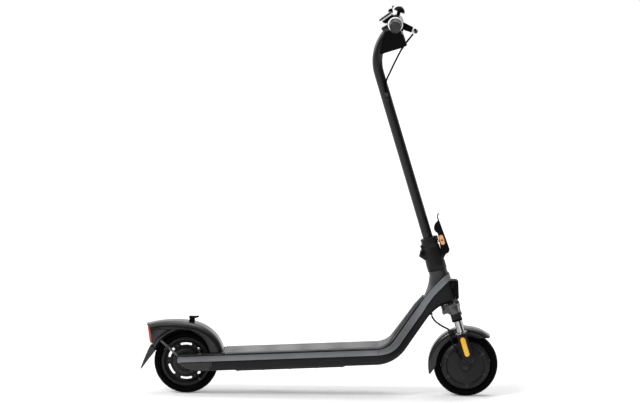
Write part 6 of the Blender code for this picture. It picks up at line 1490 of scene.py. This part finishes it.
def latch():
    """The latch lever with a hooked tab, its side screws, and the orange safety button."""
    ahead, up = LATCH_PIVOT
    outline = arc(LATCH_PIVOT, 0.0088, 190, 285, 8)
    outline += softened([(0.0495, 0.3565), (0.055, 0.365), (0.0495, 0.457)], 0.0012)[2:-2]
    outline += [(0.0485, 0.472), (0.051, 0.479), (0.0545, 0.4835), (0.052, 0.4845), (0.0475, 0.479),
                (0.0452, 0.472), (0.046, 0.462)]
    grip = [(0.041, 0.4595), (0.033, 0.454), (0.0265, 0.443), (0.0275, 0.434), (0.0335, 0.4255)]
    lever = Shape(STEER)
    lever.prism(outline + curve_through(grip, 5), -0.015, 0.015, 0.0012)
    trough = Shape(STEER).block((0.0, -0.011, 0.33), (0.0495, 0.011, 0.436))
    hole = Shape(STEER).prism(stadium(LATCH_BUTTON, 0.0076, 0.0166, 12), -0.025, -0.009)
    add("latch_lever_body", lever, "plastic", "latch", ["latch_lever"], cuts=[trough, hole], crease=34)
    bolts = Shape(STEER)
    bolts.screw((0.036, -0.015, 0.3735), (0, -1, 0), 0.003, 0.001)
    for sign in (-1, 1):
        bolts.screw((ahead, sign * 0.015, up), (0, sign, 0), 0.0038, 0.0012)
    add("latch_bolts", bolts, "plastic", "latch")

    def rings(levels):
        """Pill outlines around the button's centre, each from its half width, half length and place."""
        return [[(x, y, z) for x, z in stadium(LATCH_BUTTON, half_width, half_length)]
                for half_width, half_length, y in levels]

    button = Shape(STEER)
    button.skin(rings(((0.007, 0.016, -0.011), (0.007, 0.016, -0.0172), (0.0064, 0.0154, -0.018),
                       (0.0052, 0.014, -0.018), (0.0047, 0.0135, -0.0174))))
    button.finish = 1
    button.lathe([(0, -0.01785), (0.0026, -0.01785), (0.003, -0.017), (0, -0.017)], 32,
                 place=shift(LATCH_BUTTON[0], 0, LATCH_BUTTON[1] - 0.001))
    button.finish = 2
    button.skin(rings(((0.0071, 0.0161, -0.015), (0.0071, 0.0161, -0.0178), (0.0062, 0.0152, -0.0182),
                       (0.0062, 0.0152, -0.015))), loop=True)
    add("latch_button_pill", button, "orange groove orange_edge", "latch_button", ["latch_button"])


def stem_tube():
    """The stem with its forward bend, and the rubber port where the cable enters, with a grey ring of
    painted highlight round its mouth.
    """
    start = BASE_TOP + FIT + 0.003 + FIT
    route = [(0.0, 0.0, start + (STEM_STRAIGHT_TOP - start) * k / 12) for k in range(12)]
    for step in range(37):
        angle = math.radians(72) * step / 36
        route.append((STEM_BEND_RADIUS * (1 - math.cos(angle)), 0.0,
                      STEM_STRAIGHT_TOP + STEM_BEND_RADIUS * math.sin(angle)))
    pole = Shape(STEER)
    pole.tube(route, STEM_RADIUS, 64)
    add("stem_pole", pole, "stem", "stem", ["stem_tube"], crease=40)
    port = Shape(STEER @ Matrix.Rotation(-PORT_TURN, 4, "Z"))
    port.prism(softened([(STEM_RADIUS - 0.003, PORT_UP - 0.014), (STEM_RADIUS + 0.003, PORT_UP - 0.0125),
                         (STEM_RADIUS + 0.0068, PORT_UP - 0.004), (STEM_RADIUS + 0.0075, PORT_UP),
                         (STEM_RADIUS - 0.003, PORT_UP)], 0.0012), -0.0045, 0.0045, 0.0012, segments=3)
    # A grey ring round the port's mouth: a painted highlight.
    port.finish = 1
    port.lathe([(0.0026, 0.0), (0.0038, 0.0), (0.004, 0.0006), (0.0036, 0.0014), (0.0026, 0.0014)], 32, "Z",
               loop=True, place=shift(STEM_RADIUS + 0.005, 0, PORT_UP - 0.0008))
    screw_up = PORT_UP - 0.0226
    port.screw((STEM_RADIUS - 0.0006, 0, screw_up), (1, 0, 0), 0.0036, 0.0012)
    port.finish = 2
    port.rod((STEM_RADIUS, 0, screw_up), (STEM_RADIUS + 0.0007, 0, screw_up), 0.002, 24)
    add("cable_port_boot", port, "grip neck groove", "stem")


def head_cover():
    """The cover between stem and bar, with its panel line, a painted highlight along its front edge, clamp
    knob and screws.
    """
    def near_bar(points):
        return [(BAR_AHEAD + x, BAR_UP + z) for x, z in points]

    outline = near_bar(((-0.0725, -0.0815), (-0.0595, -0.08), (-0.0045, -0.0795), (0.0095, -0.0775),
                        (0.0125, -0.0735), (0.014, -0.0605), (0.0125, -0.0325), (0.0155, -0.0145),
                        (0.0175, -0.0005), (0.0155, 0.0135), (0.0085, 0.024)))
    for along in (DASH_HALF_LENGTH - 0.0002, 0.0041 - DASH_HALF_LENGTH):
        point = shift(DASH_AHEAD, 0, DASH_UP) @ about_y(DASH_TILT) @ Vector((along, 0, -DASH_DEPTH - FIT))
        outline.append((point.x, point.z))
    outline += near_bar(((-0.026, 0.008), (-0.024, 0.0025), (-0.033, -0.006), (-0.04, -0.0145),
                         (-0.0505, -0.0305), (-0.0665, -0.0585)))
    cover = Shape(STEER)
    cover.prism(softened(outline, 0.005, 5), -COVER_HALF_WIDTH, COVER_HALF_WIDTH, 0.003, segments=4,
                angle=50)
    cover.finish = 1
    for sign in (-1, 1):
        cover.prism(near_bar(((-0.06, -0.076), (0.006, -0.0735), (0.0062, -0.0729), (-0.0598, -0.0754))),
                    *span(sign, COVER_HALF_WIDTH - 0.0006, COVER_HALF_WIDTH + 0.0001))
    # Two thin rods along the front edge, light grey above and darker grey below: a painted highlight that
    # fades downwards.
    upper_painted_highlight = ((0.0108, -0.0225), (0.0104, -0.0325), (0.01, -0.04))
    lower_painted_highlight = ((0.01, -0.04), (0.0104, -0.052), (0.0106, -0.064))
    for finish, across, edge, radius in ((2, 0.0206, upper_painted_highlight, lambda t: 0.0022 - 0.0012 * t),
                                         (3, 0.0203, lower_painted_highlight, 0.0009)):
        cover.finish = finish
        for sign in (-1, 1):
            cover.tube(curve_through([(x, sign * across, z) for x, z in near_bar(edge)], 6), radius, 10)
    add("head_cover_shell", cover, "plastic groove light neck", "stem", ["head_cover"], crease=34)
    knob, screws = Shape(STEER), Shape(STEER)
    x, z = BAR_AHEAD + 0.0098, BAR_UP - 0.0732
    knob.rod((x, -0.0218, z), (x, 0.0218, z), 0.0047, 40, 0.001)
    for sign in (-1, 1):
        knob.screw((x, sign * 0.0218, z), (0, sign, 0), 0.0034, 0.001)
    add("head_cover_knob", knob, "plastic", "stem")
    for sign in (-1, 1):
        for x, z in near_bar(((-0.035, -0.062), (-0.012, -0.03))):
            screws.screw((x, sign * 0.0208, z), (0, sign, 0), 0.0026, 0.0007)
    add("head_cover_screws", screws, "plastic", "stem")


def display():
    """The display: a thin top plate on a white band, a wedge under it, lens and power button."""
    half_x, half_y = DASH_HALF_LENGTH, DASH_HALF_WIDTH
    button_x = -half_x + 0.008
    back = -half_x - 0.0018
    body = Shape(DASH)
    plate = rounded_box((-half_x - 0.0025, -half_y), (half_x, half_y), 0.005, 6)
    body.prism(plate, -0.0024, 0.0, 0.0009, "XY")
    body.rod((back, -half_y + 0.001, -0.0012), (back, half_y - 0.001, -0.0012), 0.0023, 24, 0.0006)
    wedge = softened([(-half_x + 0.0022, -0.0072), (half_x - 0.001, -0.0072), (half_x - 0.0012, -DASH_DEPTH),
                      (-half_x + 0.015, -0.02), (-half_x + 0.007, -0.0198), (-half_x + 0.0034, -0.015),
                      (-half_x + 0.0018, -0.01)], 0.003, 4)
    body.prism(wedge, -half_y + 0.003, -0.0225, 0.0012)
    body.prism(wedge, 0.0225, half_y - 0.003, 0.0012)
    body.prism([(-half_x + 0.0022, -0.0072), (half_x - 0.001, -0.0072), (half_x - 0.0012, -DASH_DEPTH),
                (-half_x + 0.003, -DASH_DEPTH)], -0.023, 0.023, 0.0008)
    well = Shape(DASH).rod((button_x, 0, -0.0036), (button_x, 0, 0.01), 0.0056, 48)
    add("display_body", body, "plastic", "stem", ["display_housing"], cuts=[well])
    band = Shape(DASH)
    for finish, start, inset, low, high, bevel in ((0, 0.0, 0.001, -0.0048, -0.0022, 0.0003),
                                                   (0, 0.0008, 0.0012, -0.0074, -0.0052, 0.0003),
                                                   (1, 0.0004, 0.0014, -0.0053, -0.0047, 0.0)):
        band.finish = finish
        band.prism(rounded_box((-half_x + start, -half_y + inset), (half_x - 0.0008, half_y - inset), 0.004),
                   low, high, bevel, "XY")
    hole = Shape(DASH).rod((button_x, 0, -0.012), (button_x, 0, 0.004), 0.0058, 48)
    add("display_band", band, "white light", "stem", cuts=[hole])
    glass = Shape(DASH)
    glass.prism(rounded_box((button_x + 0.007, -half_y + 0.003), (half_x - 0.002, half_y - 0.003), 0.003),
                0.0002, 0.0023, 0.0007, "XY")
    add("display_glass_cover", glass, "glass", "stem", ["display_lens"])
    button = Shape(DASH @ shift(button_x, 0, 0))
    button.lathe([(0, -0.002), (0.005, -0.002), (0.005, 0.0012), (0.0043, 0.002), (0.003, 0.0017),
                  (0.0012, 0.0014), (0, 0.0013)], 48, "Z")
    button.finish = 1
    button.lathe([(0.0034, 0.00165), (0.004, 0.00185), (0.004, 0.0021), (0.0034, 0.0021)], 48, "Z",
                 loop=True)
    add("power_button_cap", button, "fender light", "power_button", ["power_button"])


def drooped(sign):
    """The frame of one end of the bar, which drops slightly from the grip's flange outwards."""
    return BAR @ shift(0, sign * GRIP_START, 0) @ Matrix.Rotation(-sign * BAR_DROOP, 4, "X") @ shift(
        0, -sign * GRIP_START, 0)


def bar_and_grips():
    """The bar, and the ribbed grips with their white flange and grey end discs."""
    bar = Shape(BAR)
    wall, end = 0.0091, BAR_HALF_LENGTH - 0.0053
    bar.lathe([(wall, 0.13), (BAR_RADIUS, 0.13), (BAR_RADIUS, -0.13), (wall, -0.13)], 64, loop=True)
    for sign in (-1, 1):
        bar.lathe([(wall, end), (BAR_RADIUS - 0.0004, end), (BAR_RADIUS, end - 0.0006), (BAR_RADIUS, 0.1135),
                   (wall, 0.1135)], 64, loop=True, sign=sign, place=BAR.inverted() @ drooped(sign))
    add("handlebar_tube", bar, "stem", "stem", ["handlebar"])
    bore, start, tip = BAR_RADIUS + FIT, GRIP_START, BAR_HALF_LENGTH
    profile = [(bore, start + 0.0075), (0.02, start + 0.0075), (0.0188, start + 0.0092),
               (0.0172, start + 0.012)]
    rib = start + 0.015
    while rib < tip - 0.018:
        profile += [(0.0166, rib), (0.017, rib + 0.0008), (0.0171, rib + 0.002), (0.0166, rib + 0.0028)]
        rib += 0.0038
    profile += [(0.0168, tip - 0.0105), (0.0172, tip - 0.0045), (0.0174, tip - 0.003), (0.0173, tip - 0.001),
                (0.0168, tip - 0.0001), (0.016, tip - 0.0001), (0.0154, tip - 0.0008), (bore, tip - 0.0008)]
    for side, sign in reversed(SIDES):
        grip, disc, flange = Shape(drooped(sign)), Shape(drooped(sign)), Shape(BAR)
        grip.lathe(profile, 72, loop=True, sign=sign)
        for k in range(40):
            for row in range(3):
                y = sign * (start + 0.04 + 0.022 * row)
                low, high = sorted((y, y + sign * 0.013))
                grip.block((0.0164, low, -0.0006), (0.0173, high, 0.0006), 0.0002,
                           place=about_y(2 * math.pi * k / 40))
        add(f"grip_rubber_{side}", grip, "grip", "stem", [f"grip_{side}"], crease=36)
        disc.lathe([(0, tip - 0.0003), (0.0147, tip - 0.0003), (0.0154, tip - 0.0008), (0.0156, tip - 0.002),
                    (0, tip - 0.002)], 72, sign=sign)
        disc.finish = 1
        disc.lathe([(0.0118, tip - 0.0004), (0.0122, tip - 0.0001), (0.0126, tip - 0.0004),
                    (0.0122, tip - 0.001)], 72, loop=True, sign=sign)
        add(f"grip_end_disc_{side}", disc, "cap grip", "stem")
        flange.lathe([(bore, start), (0.0226, start), (0.0234, start + 0.001), (0.0235, start + 0.004),
                      (0.0228, start + 0.0058), (0.0205, start + 0.0076), (bore, start + 0.0078)],
                     96, loop=True, sign=sign)
        for k in range(60):
            low, high = span(sign, start + 0.0012, start + 0.0062)
            flange.block((0.0222, low, -0.0004), (0.0236, high, 0.0004), 0.0002,
                         place=about_y(2 * math.pi * k / 60))
        add(f"grip_flange_{side}", flange, "flange", "stem", crease=36)


def throttle():
    """The throttle's ring and clamp, and its ribbed thumb lever."""
    ring_width = 0.009
    ring_end = -(GRIP_START - 0.023) - ring_width
    housing_end = FIT + 0.001 - GRIP_START
    housing = Shape(BAR)
    outer = ring_end - 0.0006
    housing.lathe([(BAR_RADIUS + FIT, housing_end), (0.0186, housing_end), (0.0195, housing_end + 0.0008),
                   (0.0195, outer - 0.0012), (0.0188, outer), (BAR_RADIUS + FIT, outer)], 72, loop=True)
    clamp = [(0.006, -0.015), (0.014, -0.011), (0.0205, -0.0225), (0.014, -0.0265)]
    housing.prism(softened(clamp, 0.002), housing_end, outer, 0.0008)
    housing.finish = 1
    housing.screw((0.0155, (housing_end + outer) / 2, -0.025), (-0.15, 0, -1), 0.0024, 0.001)
    add("throttle_housing_ring", housing, "plastic dark_steel", "stem", ["throttle_housing"])
    low, high = ring_end, ring_end + ring_width
    lever = Shape(BAR)
    lever.lathe([(BAR_RADIUS + 0.0006, low), (0.0156, low), (0.016, low + 0.0006), (0.016, high - 0.0006),
                 (0.0156, high), (BAR_RADIUS + 0.0006, high)], 72, loop=True)
    outline = [(-0.0115, -0.0095), (-0.012, 0.0085), (-0.03, 0.0055), (-0.0445, 0.0018), (-0.0462, -0.0015),
               (-0.044, -0.0075), (-0.039, -0.0118), (-0.028, -0.0128)]
    lever.prism(softened(outline, 0.004, 5), low, high + 0.012, 0.0018, segments=3)
    for k in range(5):
        x = -0.0415 + 0.0042 * k
        z = 0.0024 + 0.0006 * k
        lever.rod((x, low + 0.002, z), (x, high + 0.01, z), 0.0011, 10)
    add("thumb_lever", lever, "grip", "throttle", ["throttle_lever"], crease=34)


def brake_controls():
    """The brake perch with its clamp, fittings and metal barrel, and the curved lever."""
    clear = BAR_RADIUS + FIT
    low = GRIP_START - PERCH_GAP - PERCH_WIDTH
    high = low + PERCH_WIDTH
    pivot_y, reach = high - 0.006, 0.036
    adjuster = low + 0.0045
    perch = Shape(PERCH)
    perch.lathe([(clear, high), (0.0158, high), (0.0165, high - 0.0008), (0.0165, low + 0.0008),
                 (0.0158, low), (clear, low)], 64, loop=True)
    perch.block((0.0135, low, -0.0095), (reach + 0.01, high, 0.009), 0.0018, segments=3)
    perch.block((-0.0195, low + 0.004, -0.0045), (-0.013, high - 0.004, 0.0045), 0.0012)
    slot = Shape(PERCH)
    slot.block((reach - 0.0085, pivot_y - 0.0085, -0.0056), (reach + 0.012, high + 0.02, 0.0056))
    add("brake_perch_body", perch, "plastic", "stem", ["brake_perch"], cuts=[slot], crease=36)
    nose = Shape(PERCH)
    nose.prism(softened([(0.0165, -0.0094), (0.033, -0.0092), (0.0585, -0.0066), (0.0562, 0.0118),
                         (0.0185, 0.0098)], 0.0012), low + 0.0004, low + 0.01, 0.0008)
    add("brake_perch_nose", nose, "plastic", "stem")
    fittings = Shape(PERCH)
    fittings.screw((reach, pivot_y, 0.009), (0, 0, 1), 0.0036, 0.0012)
    fittings.screw((reach, pivot_y, -0.0095), (0, 0, -1), 0.0036, 0.0012)
    fittings.rod((reach, pivot_y, -0.007), (reach, pivot_y, 0.007), 0.0025, 24)
    fittings.screw((-0.019, (low + high) / 2, 0.0), (-1, 0, 0), 0.0026, 0.0008)
    fittings.finish = 1
    barrel = shift(0.056, adjuster, 0.0036) @ about_y(math.radians(70))
    fittings.lathe([(0, 0.0), (0.0036, 0.0), (0.0038, 0.0005), (0.0038, 0.0022), (0.0031, 0.0026),
                    (0.0031, 0.0036), (0.0038, 0.004), (0.0038, 0.0054), (0.003, 0.0058), (0.003, 0.0075),
                    (0, 0.0075)], 40, "Z", place=barrel)
    add("brake_barrel", fittings, "dark_steel white", "stem")
    tip = Shape(PERCH)
    tip.lathe([(0, 0.0066), (0.0034, 0.0066), (0.0042, 0.0076), (0.0044, 0.0098), (0.0042, 0.012),
               (0.003, 0.0134), (0, 0.0136)], 40, "Z", place=barrel)
    add("brake_barrel_tip", tip, "plastic", "stem")
    blade, end = 0.072, BAR_HALF_LENGTH - 0.009
    eye = arc((reach, pivot_y), 0.0072, 100, 350, 16)
    run = [(reach + 0.013, high), (blade - 0.004, high + 0.022), (blade + 0.004, high + 0.04),
           (blade + 0.005, end - 0.01), (blade + 0.002, end), (blade - 0.004, end),
           (blade - 0.005, end - 0.012), (blade - 0.006, high + 0.042), (blade - 0.013, high + 0.028),
           (reach + 0.002, high + 0.008)]
    lever = Shape(PERCH)
    lever.prism(eye + softened(run, 0.006, 5), -0.005, 0.005, 0.0018, "XY", segments=3)
    lever.finish = 1
    for k in range(3):
        y = end - 0.03 - 0.012 * k
        lever.rod((blade + 0.0048, y, -0.0032), (blade + 0.0048, y, 0.0032), 0.0009, 10)
    hole = Shape(PERCH).rod((reach, pivot_y, -0.02), (reach, pivot_y, 0.02), 0.0031, 32)
    add("brake_lever_blade", lever, "plastic groove", "brake_lever", ["brake_lever"], cuts=[hole], crease=34)


def brake_cable():
    """The metal elbow at the barrel, and the free cable from it to the port in the stem."""
    corners = [(ahead * BAR_AHEAD, side * ADJUSTER_SIDE, PORT_UP + up * (BAR_UP - PORT_UP))
               for ahead, side, up in BRAKE_CABLE_CORNERS]
    steps = 8
    route = [STEER @ point for point in curve_through(corners, steps)]
    turn = steps * 2 + 3
    elbow = Shape()
    elbow.tube(route[:turn + 1], CABLE_RADIUS, 20)
    ahead = (route[turn + 1] - route[turn]).normalized()
    elbow.tube([route[turn] - ahead * 0.0035, route[turn] + ahead * 0.001], 0.0035, 20)
    elbow.finish = 1
    elbow.tube([route[turn] + ahead * 0.0009, route[turn] + ahead * 0.003], 0.0032, 20)
    add("brake_cable_elbow", elbow, "white plastic", "stem")
    free = route[turn:]
    cable = Shape()
    cable.tube(free, CABLE_RADIUS, 18)
    thing = add("brake_cable_outer", cable, "cable", "stem", ["brake_cable"])


def bell():
    """The bell's clamp, post and dome with its rim and cap, and the sprung striker."""
    low = GRIP_START - PERCH_GAP - PERCH_WIDTH - BELL_GAP
    high = low + 0.012
    middle = (low + high) / 2
    clear = BAR_RADIUS + FIT
    body = Shape(STEER)
    bar = Vector((BAR_AHEAD, middle, BAR_UP))
    base = Vector((BAR_AHEAD + 0.019, middle, BAR_UP + 0.0285))
    tilt = math.radians(39)
    out = Vector((math.sin(tilt), 0.0, math.cos(tilt)))
    post = (base - bar).normalized()
    body.lathe([(clear, low), (0.0144, low), (0.015, low + 0.0007), (0.015, high - 0.0007), (0.0144, high),
                (clear, high)], 56, loop=True, place=shift(BAR_AHEAD, 0, BAR_UP))
    body.tube([bar + post * 0.0125, bar + post * 0.019, base - out * 0.002, base + out * 0.004],
              lambda t: 0.0048 + 0.0018 * t, 28)
    hinge = Vector((BAR_AHEAD - 0.0155, 0.0, BAR_UP + 0.0135))
    along = (hinge - Vector((BAR_AHEAD, 0.0, BAR_UP))).normalized()
    side = Vector((-along.z, 0.0, along.x)) * 0.0028
    root = hinge - along * 0.0075
    web = [(v.x, v.z) for v in (root + side, root - side, hinge - side, hinge + side)]
    inner = middle - 0.003 - 0.0006
    for start, end in ((low, inner), (2 * middle - inner, high)):
        body.prism(web, start, end, 0.0004)
        body.rod((hinge.x, start, hinge.z), (hinge.x, end, hinge.z), 0.003, 28, 0.0004)
    body.rod((hinge.x, low + 0.0006, hinge.z), (hinge.x, high - 0.0006, hinge.z), 0.0015, 20)
    turn = Matrix.Translation(base) @ about_y(tilt)
    radius, rise, wall = 0.0178, 0.0166, 0.0015
    outer = [(radius * math.cos(math.radians(a)), rise * math.sin(math.radians(a))) for a in range(5, 88, 5)]
    hollow = [((radius - wall) * math.cos(math.radians(a)), (rise - wall) * math.sin(math.radians(a)))
              for a in range(88, -1, -8)]
    body.lathe([(radius + 0.0002, 0.0), (radius + 0.0002, 0.0012), *outer, (0, rise), (0, rise - wall),
                *hollow, (radius - wall, 0.0)], 72, "Z", place=turn)
    body.lathe([(0, rise - 0.0006), (0.0042, rise - 0.001), (0.0044, rise - 0.0001), (0.0036, rise + 0.0004),
                (0, rise + 0.0006)], 40, "Z", place=turn)
    body.rod((0, 0, 0), (0, 0, rise - 0.0005), 0.0035, 28, place=turn)
    add("bell_body", body, "plastic", "stem", ["bell"], crease=40)

    arm = Shape(STEER)
    first, last = middle - 0.003, middle + 0.003
    plate = [(base.x + x, base.z + z) for x, z in (
        (-0.027, 0.001), (-0.02, 0.002), (-0.0182, 0.008), (-0.0175, 0.0118), (-0.0195, 0.0156),
        (-0.025, 0.017), (-0.03, 0.0152), (-0.0328, 0.01), (-0.032, 0.002))]
    foot = [(hinge.x - 0.002, hinge.z - 0.002), (hinge.x + 0.002, hinge.z + 0.001)]
    arm.prism(foot + softened(plate, 0.0015)[2:-2], first, last, 0.0008)
    arm.lathe([(0.0021, first), (0.0038, first), (0.0042, first + 0.0005), (0.0042, last - 0.0005),
               (0.0038, last), (0.0021, last)], 36, loop=True, place=shift(hinge.x, 0, hinge.z))
    wire = [(base.x + x, middle, base.z + z) for x, z in (
        (-0.0225, 0.012), (-0.018, 0.0165), (-0.0142, 0.0208))]
    arm.tube(curve_through(wire, 5), 0.0014, 14)
    knob = 0.0027
    arm.lathe([(0, -knob)] + [polar(knob, angle) for angle in range(-75, 90, 15)] + [(0, knob)], 28, "Z",
              place=shift(base.x - 0.0138, middle, base.z + 0.0214))
    add("bell_striker_arm", arm, "plastic", "bell_striker", ["bell_striker"], crease=36)


def motor_cable():
    """The motor cable's loop from the neck to the clip on the right leg, and its grommet."""
    route = [STEER @ point for point in curve_through(MOTOR_CABLE_CORNERS, 6)]
    cable = Shape()
    cable.tube(route, CABLE_RADIUS, 18)
    thing = add("motor_cable_jacket", cable, "cable", None, ["motor_cable"])
    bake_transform(thing)
    boot = Shape(STEER)
    corners = ((-0.0585, -0.01, 0.196), (-0.0584, -0.0108, 0.189), (-0.058, -0.012, 0.1812))
    boot.tube(curve_through(corners, 5), lambda t: 0.0052 - 0.0014 * t, 24)
    add("motor_cable_grommet", boot, "cable", "frame")


def finish_hidden_solids():
    """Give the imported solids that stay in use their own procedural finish."""
    for name, kind in HIDDEN.items():
        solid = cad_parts[name]
        if not solid.material_slots:
            solid.data.materials.append(None)
        for slot in solid.material_slots:
            slot.link = "OBJECT"
            slot.material = FINISHES[kind]


def place_camera():
    """The camera, with the slight roll that the photograph has."""
    lens = bpy.data.cameras.new("view")
    lens.sensor_width = CAMERA_SENSOR
    lens.lens = CAMERA_LENS
    lens.shift_x, lens.shift_y = CAMERA_SHIFT
    lens.clip_end = 100.0
    camera = link("view", lens)
    a, e = CAMERA_AZIMUTH, CAMERA_ELEVATION
    back = Vector((math.sin(a) * math.cos(e), -math.cos(a) * math.cos(e), math.sin(e)))
    level = Vector((math.cos(a), math.sin(a), 0.0))
    upright = back.cross(level)
    right = level * math.cos(CAMERA_ROLL) + upright * math.sin(CAMERA_ROLL)
    up = upright * math.cos(CAMERA_ROLL) - level * math.sin(CAMERA_ROLL)
    turn = Matrix((right, up, back)).transposed().to_4x4()
    camera.matrix_world = Matrix.Translation(CAMERA_TARGET + back * CAMERA_DISTANCE) @ turn
    bpy.context.scene.camera = camera


def make_world():
    """A white studio. In reflections it is bright behind and above the object, and dim behind the camera."""
    world = Nodes(bpy.data.worlds.new("studio"))
    world.tree.nodes.clear()
    rays = world.node("ShaderNodeLightPath").outputs
    place = world.node("ShaderNodeTexCoord").outputs["Generated"]
    x, y, z = world.node("ShaderNodeSeparateXYZ", {"Vector": place}).outputs
    turned = world.math("SUBTRACT", y, world.math("MULTIPLY", x, 0.45))
    behind = world.spread(turned, -0.7, 0.35, 0.04, 1.0, interpolation_type="SMOOTHSTEP")
    above = world.spread(z, 0.45, 0.95, interpolation_type="SMOOTHSTEP")
    seen = world.math("MAXIMUM", world.math("MAXIMUM", behind, above), rays["Is Camera Ray"])
    white = {"Color": (1.0, 1.0, 1.0, 1.0)}
    ambient, backdrop = (world.node("ShaderNodeBackground", {**white, "Strength": strength}).outputs[0]
                         for strength in (AMBIENT, seen))
    mixed = world.node("ShaderNodeMixShader", {0: world.seen_rays(rays), 1: ambient, 2: backdrop})
    world.node("ShaderNodeOutputWorld", {"Surface": mixed.outputs[0]})
    bpy.context.scene.world = world.data


def make_lamps():
    for name, direction, strength, spread_angle in SUNS:
        lamp = bpy.data.lights.new(name, "SUN")
        lamp.energy = strength
        lamp.angle = math.radians(spread_angle)
        link(name, lamp).rotation_euler = Vector(direction).to_track_quat("Z", "Y").to_euler()


def make_floor():
    """A pale floor, which glows a little where the camera and reflections see it."""
    data = bpy.data.meshes.new("studio_floor")
    corners = ((-1, -1), (1, -1), (1, 1), (-1, 1))
    data.from_pydata([(x * FLOOR_REACH, y * FLOOR_REACH, 0) for x, y in corners], [], [(0, 1, 2, 3)])
    floor = link("studio_floor", data)
    f = Finish("studio_paper", 0.9, 0.0, 0.1)
    paper = f.mix(f.spread(f.noise(3.0, 3.0), 0.3, 0.7), (0.885, 0.885, 0.885), (0.9, 0.9, 0.9))
    f.bump(f.noise(240.0, 3.0), 0.00005)
    f.put((1.0, 1.0, 1.0, 1.0), f.shader.inputs["Emission Color"])
    seen = f.seen_rays(f.node("ShaderNodeLightPath").outputs)
    f.put(f.math("MULTIPLY", seen, FLOOR_GLOW), f.shader.inputs["Emission Strength"])
    data.materials.append(f.done(paper))


place_camera()
brake_cable()
motor_cable()
hub_motor()
rear_wheel()
rear_axle()
chassis()
band()
deck_mat()
deck_bottom()
kickstand()
headlight()
rear_fender()
tail_lamp()
mud_flap()
stem_hook()
fender_stays()
front_fender()
fork_crown()
for side, sign in SIDES:
    fork_leg(side, sign)
front_axle()
fork_springs()
fold_base()
stem_collar()
latch()
stem_tube()
head_cover()
display()
bar_and_grips()
throttle()
brake_controls()
bell()
finish_hidden_solids()
make_world()
make_lamps()
make_floor()
bpy.context.scene.view_settings.view_transform = "Standard"
